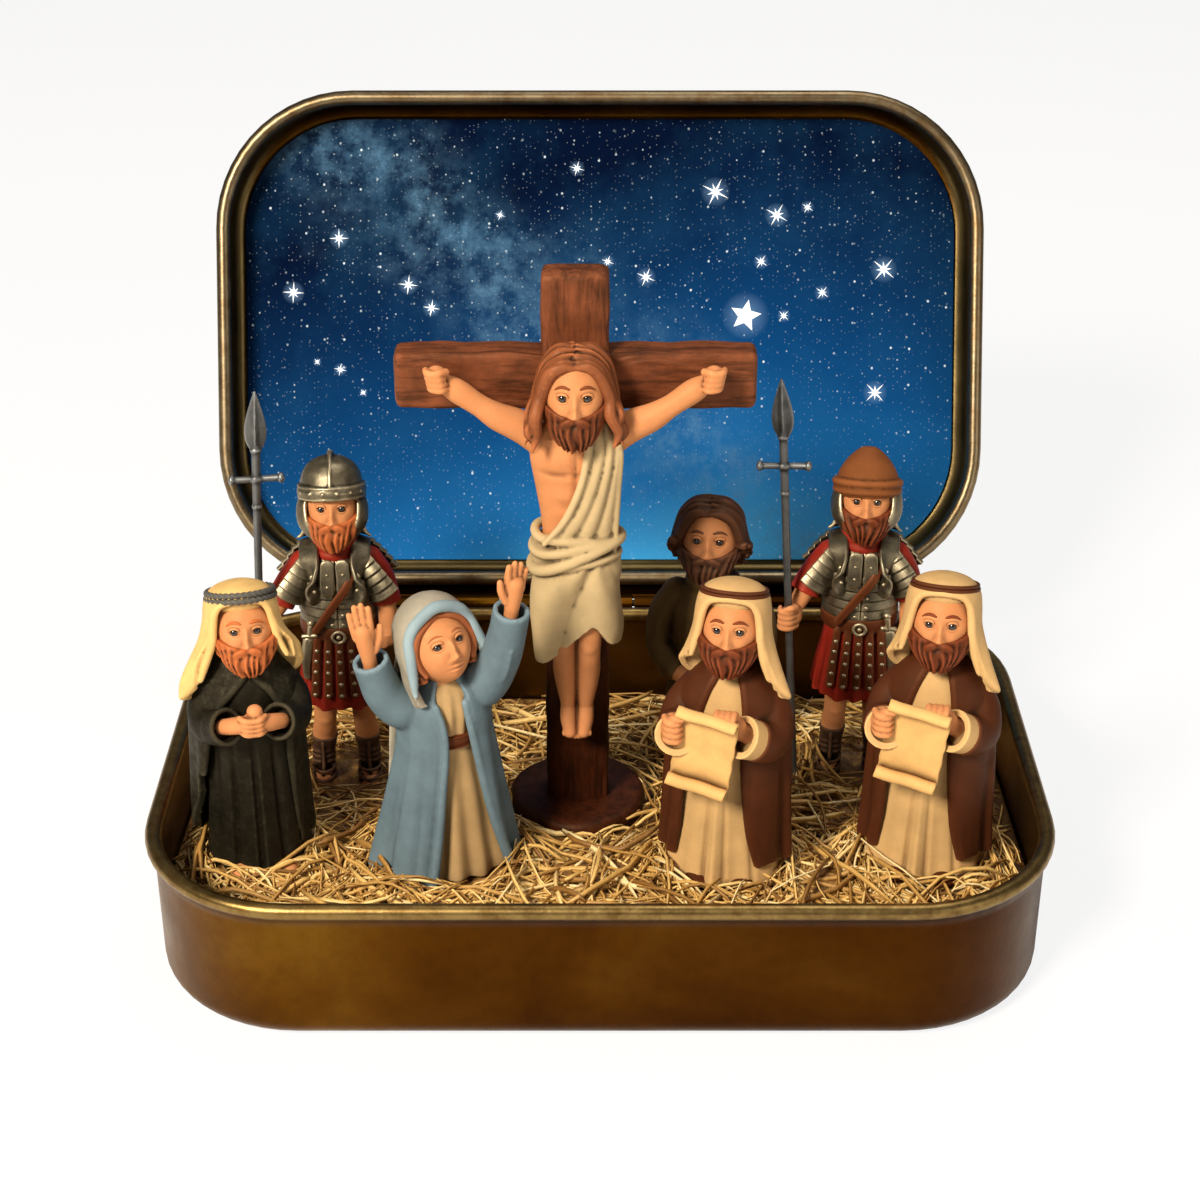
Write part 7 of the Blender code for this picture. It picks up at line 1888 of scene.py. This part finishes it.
def soldier(name, spear, pointed, stance, hair_look, seed):
    """One soldier in its own frame, then carried to its place. A spear is the x of its foot and of its tip."""
    made = figure(name)

    def on_spear(level):
        return np.array([spear[0] + (spear[1] - spear[0]) * level / SPEAR_TOP, SPEAR_Y, level])

    legs, boots = [blob((0, 0, 17.0), (3.0, 2.2, 2.2))], []
    for side, foot_x in zip((-1, 1), stance):
        hip, knee, ankle = (side * 1.9, 0, 16.5), ((side * 1.9 + foot_x) / 2, -0.4, 9.0), (foot_x, 0.1, 2.4)
        calf = ((foot_x * 0.75 + side * 0.5), 0.25, 6.3)
        legs += [
            tube([hip, knee, calf, ankle], [1.85, 1.35, 1.45, 0.95], (1, 0, 0), 40, 24),
            blob(np.array(knee) + [0, -0.9, 0], (0.8, 0.55, 0.9)),
            blob((foot_x * 1.03, -1.3, 0.85), (1.15, 2.2, 0.8)),
        ]
        legs += [
            blob((foot_x * 1.03 + (k - 2) * 0.42, -3.2 + 0.12 * abs(k - 1.5), 0.62), (0.24, 0.42, 0.3))
            for k in range(5)
        ]
        low, high = np.array(ankle) + [0, -0.05, -1.2], np.array(calf) + [0, 0, -0.2]
        boots.append(tube([low, (low + high) / 2, high], [1.25, 1.25, 1.62], (1, 0, 0), 24, 24, hollow=(0.4, 5)))
        boots.append(tube(
            [(foot_x * 1.03, 0.9, 0.3), (foot_x * 1.03, -1.5, 0.25), (foot_x * 1.03, -3.7, 0.25)], [1.25, 1.45, 1.2],
            (0, 0, 1), 20, 20, 0.22,
        ))
        boots += [
            ring(
                1.35 + 0.75 * k, 1.32 - 0.03 * k, 1.25 + 0.42 * (2 - k) if k < 2 else 1.25, 0.2, 0.27,
                -0.1 - 0.5 * (2 - k) if k < 2 else 0.1, foot_x, 0, 60, 10,
            )
            for k in range(5)
        ]
        boots += [
            ring(0.95, 1.28, 0.5, 0.2, 0.5, -2.1, foot_x * 1.03, 0, 60, 10),
            tube(
                [(foot_x, -1.3, 5.6), (foot_x, -1.45, 3.2), (foot_x * 1.03, -2.2, 1.4), (foot_x * 1.03, -3.3, 0.9)],
                [0.2, 0.24, 0.26, 0.2], (1, 0, 0), 20, 10,
            ),
        ]
    made("shins", legs, SKIN, "legs", "skin clay", 0.14, 2)
    made("boots", boots, DARK_LEATHER, None, "leather clay", 0.12, 2)

    tunic = [coat(
        [(12.0, 5.0, 4.2), (12.4, 5.2, 4.4), (16, 4.75, 4.0), (20, 4.15, 3.5), (22.2, 4.0, 3.3)], 0.8,
        [(0, 0.5, 0.5), (40, 0.5, 0.5)], 70, 180, lambda angle,
        z: (
            np.clip((21 - z) / 8, 0, 1) * (0.30 * np.cos(15 * angle + 0.5) + 0.12 * np.cos(8 * angle)),
            0.25 * np.cos(7 * angle) * np.clip((15 - z) / 3, 0, 1),
        ),
    )]
    tunic += [
        grid_shell(turned(
            [(17.5, 3.6, 2.9), (22, 3.7, 3.0), (29, 4.0, 3.0), (31.0, 3.0, 2.5), (31.9, 1.9, 1.8)], 50, 60,
        )),
        ring(32.0, 2.3, 2.2, 0.6, 0.65, -0.2, 0, -0.45), ring(32.8, 2.2, 2.1, 0.5, 0.5, -0.1, 0, -0.35),
    ]
    grip = on_spear(23.2)
    reach = (np.array([-5.6, -0.6, 26.5]) + grip) / 2 + [-0.4, 0.6, 0.0]
    arms = {
        -1: [
            (-3.9, 0.1, 29.8), (-5.4, -0.2, 27.6), tuple((np.array([-6.2, -0.8, 25.2]) * 0.6 + reach * 0.4)),
            tuple(grip + [0.6, 1.6, 0.2]),
        ],
        1: [(3.9, 0.1, 30.0), (5.1, -0.1, 27.6), (5.6, -0.6, 24.6), (5.6, -1.8, 21.4)],
    }
    skin = []
    for side, path in arms.items():
        tunic.append(tube(path[:3], [1.5, 1.6, 1.8], (0, 1, 0), 30, 24, hollow=(0.4, 8)))
        skin.append(tube(path[1:], [1.2, 1.15, 0.95], (0, 1, 0), 30, 20))
    made("tunic", tunic, RED, "kilt", "red clay", 0.17, 3)
    skin += [blob(grip + [0.35, 0.35, 0], (1.25, 1.25, 1.45)), blob((5.6, -2.0, 20.8), (1.1, 1.2, 1.4))]
    for k in range(4):
        knuckle = grip + [0, 0, 1.05 - 0.7 * k]
        skin.append(tube(
            knuckle + [[0.9, -0.3, 0], [0.1, -1.15, 0.05], [-0.85, -0.9, 0], [-1.0, 0.1, 0]], [0.38, 0.42, 0.4, 0.28],
            (0, 0, 1), 16, 10,
        ))
        skin.append(tube(
            [
                (6.2, -2.4, 20.9 - 0.1 * k), (5.6 - 0.1 * k, -3.0, 20.8 - 0.42 * k + 0.5),
                (4.8, -2.7, 20.4 - 0.4 * k + 0.5),
            ],
            [0.3, 0.36, 0.28], (0, 0, 1), 12, 10,
        ))
    skin.append(tube(
        grip + [[0.8, -0.4, 1.3], [0.2, -1.2, 1.6], [-0.5, -1.1, 1.3]], [0.42, 0.42, 0.32], (0, 0, 1), 12, 10,
    ))
    made("arms", skin, SKIN, "body", "skin clay", 0.12, 2)

    plates = [coat(
        [
            (22.6, 4.15, 3.45), (23.2, 4.25, 3.55), (26, 4.45, 3.65), (28.8, 4.75, 3.8), (30.2, 4.5, 3.6),
            (31.2, 3.5, 3.0), (31.7, 2.7, 2.6),
        ],
        0.7, [(0, 0.5, 0.5), (40, 0.5, 0.5)], 150, 180, plate_folds,
    )]
    for side in (-1, 1):
        plates.append(shoulder_bands(side))
        over = sided(
            side,
            [
                (2.45, -3.85, 27.4), (2.6, -3.75, 29.4), (2.9, -2.6, 31.6), (3.0, 0.0, 32.5), (2.9, 2.5, 31.3),
                (2.6, 3.7, 28.2),
            ],
        )
        chest = sided(side, [(0.85, -3.9, 31.2), (0.95, -4.15, 29.6), (0.95, -4.15, 28.0)])
        over_radii = [1.25, 1.3, 1.2, 1.15, 1.2, 1.2]
        plates.append(tube(over, over_radii, (side * 0.35, 0.25, 1.0), 60, 32, 0.24, square=0.45))
        plates.append(tube(chest, [0.78, 0.8, 0.78], (0, 1, 0.2), 30, 32, 0.30, square=0.4))
        rivets = sided(side, [(2.55, -4.35, 30.0), (2.45, -4.3, 28.1), (0.9, -4.45, 30.3), (0.95, -4.45, 28.7)])
        rivet_sizes = ((0.36, 0.2, 0.36), (0.24, 0.16, 0.24), (0.18, 0.13, 0.18), (0.18, 0.13, 0.18))
        plates += [blob(spot, size) for spot, size in zip(rivets, rivet_sizes)]
    plates += [blob((side * 0.62, -4.02, 23.5 + 1.25 * k), (0.24, 0.16, 0.20)) for side in (-1, 1) for k in range(4)]
    made("plates", plates, PEWTER, "cuirass", "pewter", None, 0)

    straps = [
        ring(21.9, 4.32, 3.66, 0.32, 0.98, tilt=0.1),
        tube(
            [(2.3, -2.2, 31.5), (1.4, -4.4, 29.0), (-0.6, -4.55, 26.0), (-2.6, -4.2, 22.9)], [0.52, 0.55, 0.55, 0.52],
            (0, 1, 0), 40, 14, 0.4,
        ),
    ]
    straps.append(tube(
        [(2.3, -2.2, 31.5), (2.6, 0, 32.2), (2.2, 2.9, 31.2), (0.2, 4.35, 27.5), (-2.6, 4.0, 22.9)],
        [0.52, 0.52, 0.52, 0.55, 0.5], (0.2, 1, 0.4), 40, 14, 0.4,
    ))
    studs = []
    for k in range(-2, 3):
        x = 1.42 * k
        drop = [
            (x * 0.9, -3.75 + 0.09 * k * k, 21.2), (x, -4.3 + 0.12 * k * k, 18.0),
            (x * 1.1, -4.75 + 0.13 * k * k, 14.4),
        ]
        straps.append(tube(drop, [0.5, 0.52, 0.55], (0, 1, 0.1), 30, 14, 0.4))
        path = eased(drop, 6)[1:]
        studs += [blob(point + [0, -0.22, 0], (0.30, 0.16, 0.26), rows=8, columns=10) for point in path]
    made("belt_straps", straps, LEATHER, "belt", "leather clay", 0.12, 2)
    points, quads = ring(0, 0.72, 0.72, 0.2, 0.2, 0, 0, 0, 40, 10)
    studs += [(points[:, [0, 2, 1]] + [0, -4.15, 21.9], quads), blob((0, -4.1, 21.9), (0.3, 0.3, 0.3))]
    side = 1 if pointed else -1
    sheath = sided(side, [(3.6, -3.4, 21.2), (3.9, -3.5, 19.0), (4.0, -3.5, 16.4)])
    handle, guard = sided(
        side, [(3.4, -3.4, 21.6), (3.2, -3.5, 23.2)],
    ), sided(side, [(2.7, -3.5, 21.9), (4.1, -3.4, 21.8)])
    studs += [
        tube(sheath, [0.62, 0.6, 0.4], (0, 1, 0), 24, 14, 0.55), tube(handle, [0.3, 0.34], (0, 1, 0), 12, 12),
        blob((side * 3.15, -3.5, 23.6), (0.45, 0.4, 0.4)), tube(guard, [0.3, 0.3], (0, 0, 1), 10, 12),
    ]
    made("studs", studs, PEWTER, None, "pewter", None, 0)

    bearded_head(name, SOLDIER_HEAD, SOLDIER_SIZE, hair_look, 31.5, seed, bottom=-1.28, swell=0.95, count=10)

    guards = []
    for side in (-1, 1):
        cheek = on_face(
            SOLDIER_HEAD, SOLDIER_SIZE, side * np.array([84, 74, 66, 56]), np.array([0.45, 0.0, -0.45, -0.86]),
            np.array([0.45, 0.62, 0.85, 1.0]),
        )
        guards.append(tube(cheek, [0.95, 1.15, 1.1, 0.6], (side * 0.9, -0.5, 0.1), 30, 18, 0.32))
    guards.append(coat(
        [(33.4, 4.5, 4.5, -0.2), (34.1, 3.9, 3.9, -0.2), (35.2, 3.6, 3.7, -0.3), (38.5, 3.5, 3.65, -0.4)], 0.5,
        [(0, 100, 100), (60, 100, 100)], 40, 60,
    ))
    if pointed:
        cap = [
            grid_shell(turned(
                [
                    (37.7, 3.5, 3.6, -0.4), (39.0, 3.6, 3.7, -0.4), (40.3, 3.35, 3.4, -0.3), (41.6, 2.6, 2.65, -0.2),
                    (42.6, 1.65, 1.7, -0.1), (43.2, 0.8, 0.8, 0),
                ],
                60, 90,
            )),
            ring(38.4, 3.6, 3.7, 0.40, 0.48, -0.4, 0, 0.1), ring(39.25, 3.64, 3.74, 0.46, 0.46, -0.4, 0, 0.1),
        ]
        made("cap", leant(cap, GAZE, SOLDIER_HEAD), CAP_CLAY, None, "rust brown clay", 0.14, 3)
        made("guards", leant(guards, GAZE, SOLDIER_HEAD), PEWTER, "helmet", "pewter", 0.12, 2)
        return
    guards.append(coat(
        [
            (38.2, 3.5, 3.65, -0.4), (39.5, 3.6, 3.75, -0.4), (41.0, 3.35, 3.5, -0.35), (42.2, 2.6, 2.75, -0.3),
            (42.9, 1.4, 1.5, -0.3), (43.1, 0.5, 0.55, -0.3),
        ],
        0.5, [(0, 0.5, 0.5), (60, 0.5, 0.5)], 70, 90,
    ))
    guards += [
        blob((0, -0.3, 42.9), (0.7, 0.7, 0.4)), blob((0, -0.35, 43.35), (0.38, 0.38, 0.35)),
        ring(39.1, 3.7, 3.85, 0.28, 0.58, -0.4, 0, -0.1), ring(39.75, 3.7, 3.85, 0.22, 0.2, -0.4, 0, -0.1),
        ring(38.5, 3.72, 3.9, 0.22, 0.2, -0.4, 0, -0.1),
    ]
    guards.append(tube(
        [(0, -4.1, 39.8), (0, -3.4, 41.6), (0, -1.8, 42.9), (0, -0.3, 43.35), (0, 1.3, 42.8), (0, 2.8, 41.3)],
        [0.26] * 6, (1, 0, 0), 40, 12,
    ))
    guards += [
        blob(on_face((0, -0.4, 39.1), (3.95, 4.1, 1), angle, 0.0), (0.2, 0.2, 0.2))
        for angle in (-60, -36, -12, 12, 36, 60)
    ]
    made("helm", leant(guards, GAZE, SOLDIER_HEAD), PEWTER, "helmet", "pewter", 0.12, 2)


def spear(name, line):
    """A steel spear: shaft, collars, cross guard with round ends, and a leaf blade."""
    foot, tip = np.array([line[0], SPEAR_Y, 0.1]), np.array([line[1], SPEAR_Y, SPEAR_TOP])

    def at(level):
        return foot + (tip - foot) * level / SPEAR_TOP

    middle = at(42.6)
    shells = [
        tube([at(0.4), at(15), at(30), at(46.6)], [0.48, 0.46, 0.46, 0.5], (0, 1, 0), 60, 16),
        leaf_blade(at(45.9), (tip - foot) / SPEAR_TOP),
        tube([middle + [-2.5, 0, -0.1], middle, middle + [2.5, 0, 0.1]], [0.42, 0.36, 0.42], (0, 1, 0), 20, 14),
        blob(middle + [-2.75, 0, -0.1], (0.42, 0.6, 0.6)), blob(middle + [2.75, 0, 0.1], (0.42, 0.6, 0.6)),
        blob(middle, (0.75, 0.62, 0.6)), blob(at(46.2), (0.68, 0.65, 0.42)), blob(at(39.2), (0.6, 0.58, 0.4)),
    ]
    figure(name)("lance", shells, GUNMETAL, "spear", "dark steel", 0.11, 2)


SPEARS = {"sentry": (-10.2, -7.5), "guard": (-6.8, -10.3)}
soldier("sentry", SPEARS["sentry"], False, (-2.9, 2.6), RED_BEARD, 21)
soldier("guard", SPEARS["guard"], True, (-2.6, 2.8), BEARD, 22)
for name, line in SPEARS.items():
    spear(name, line)
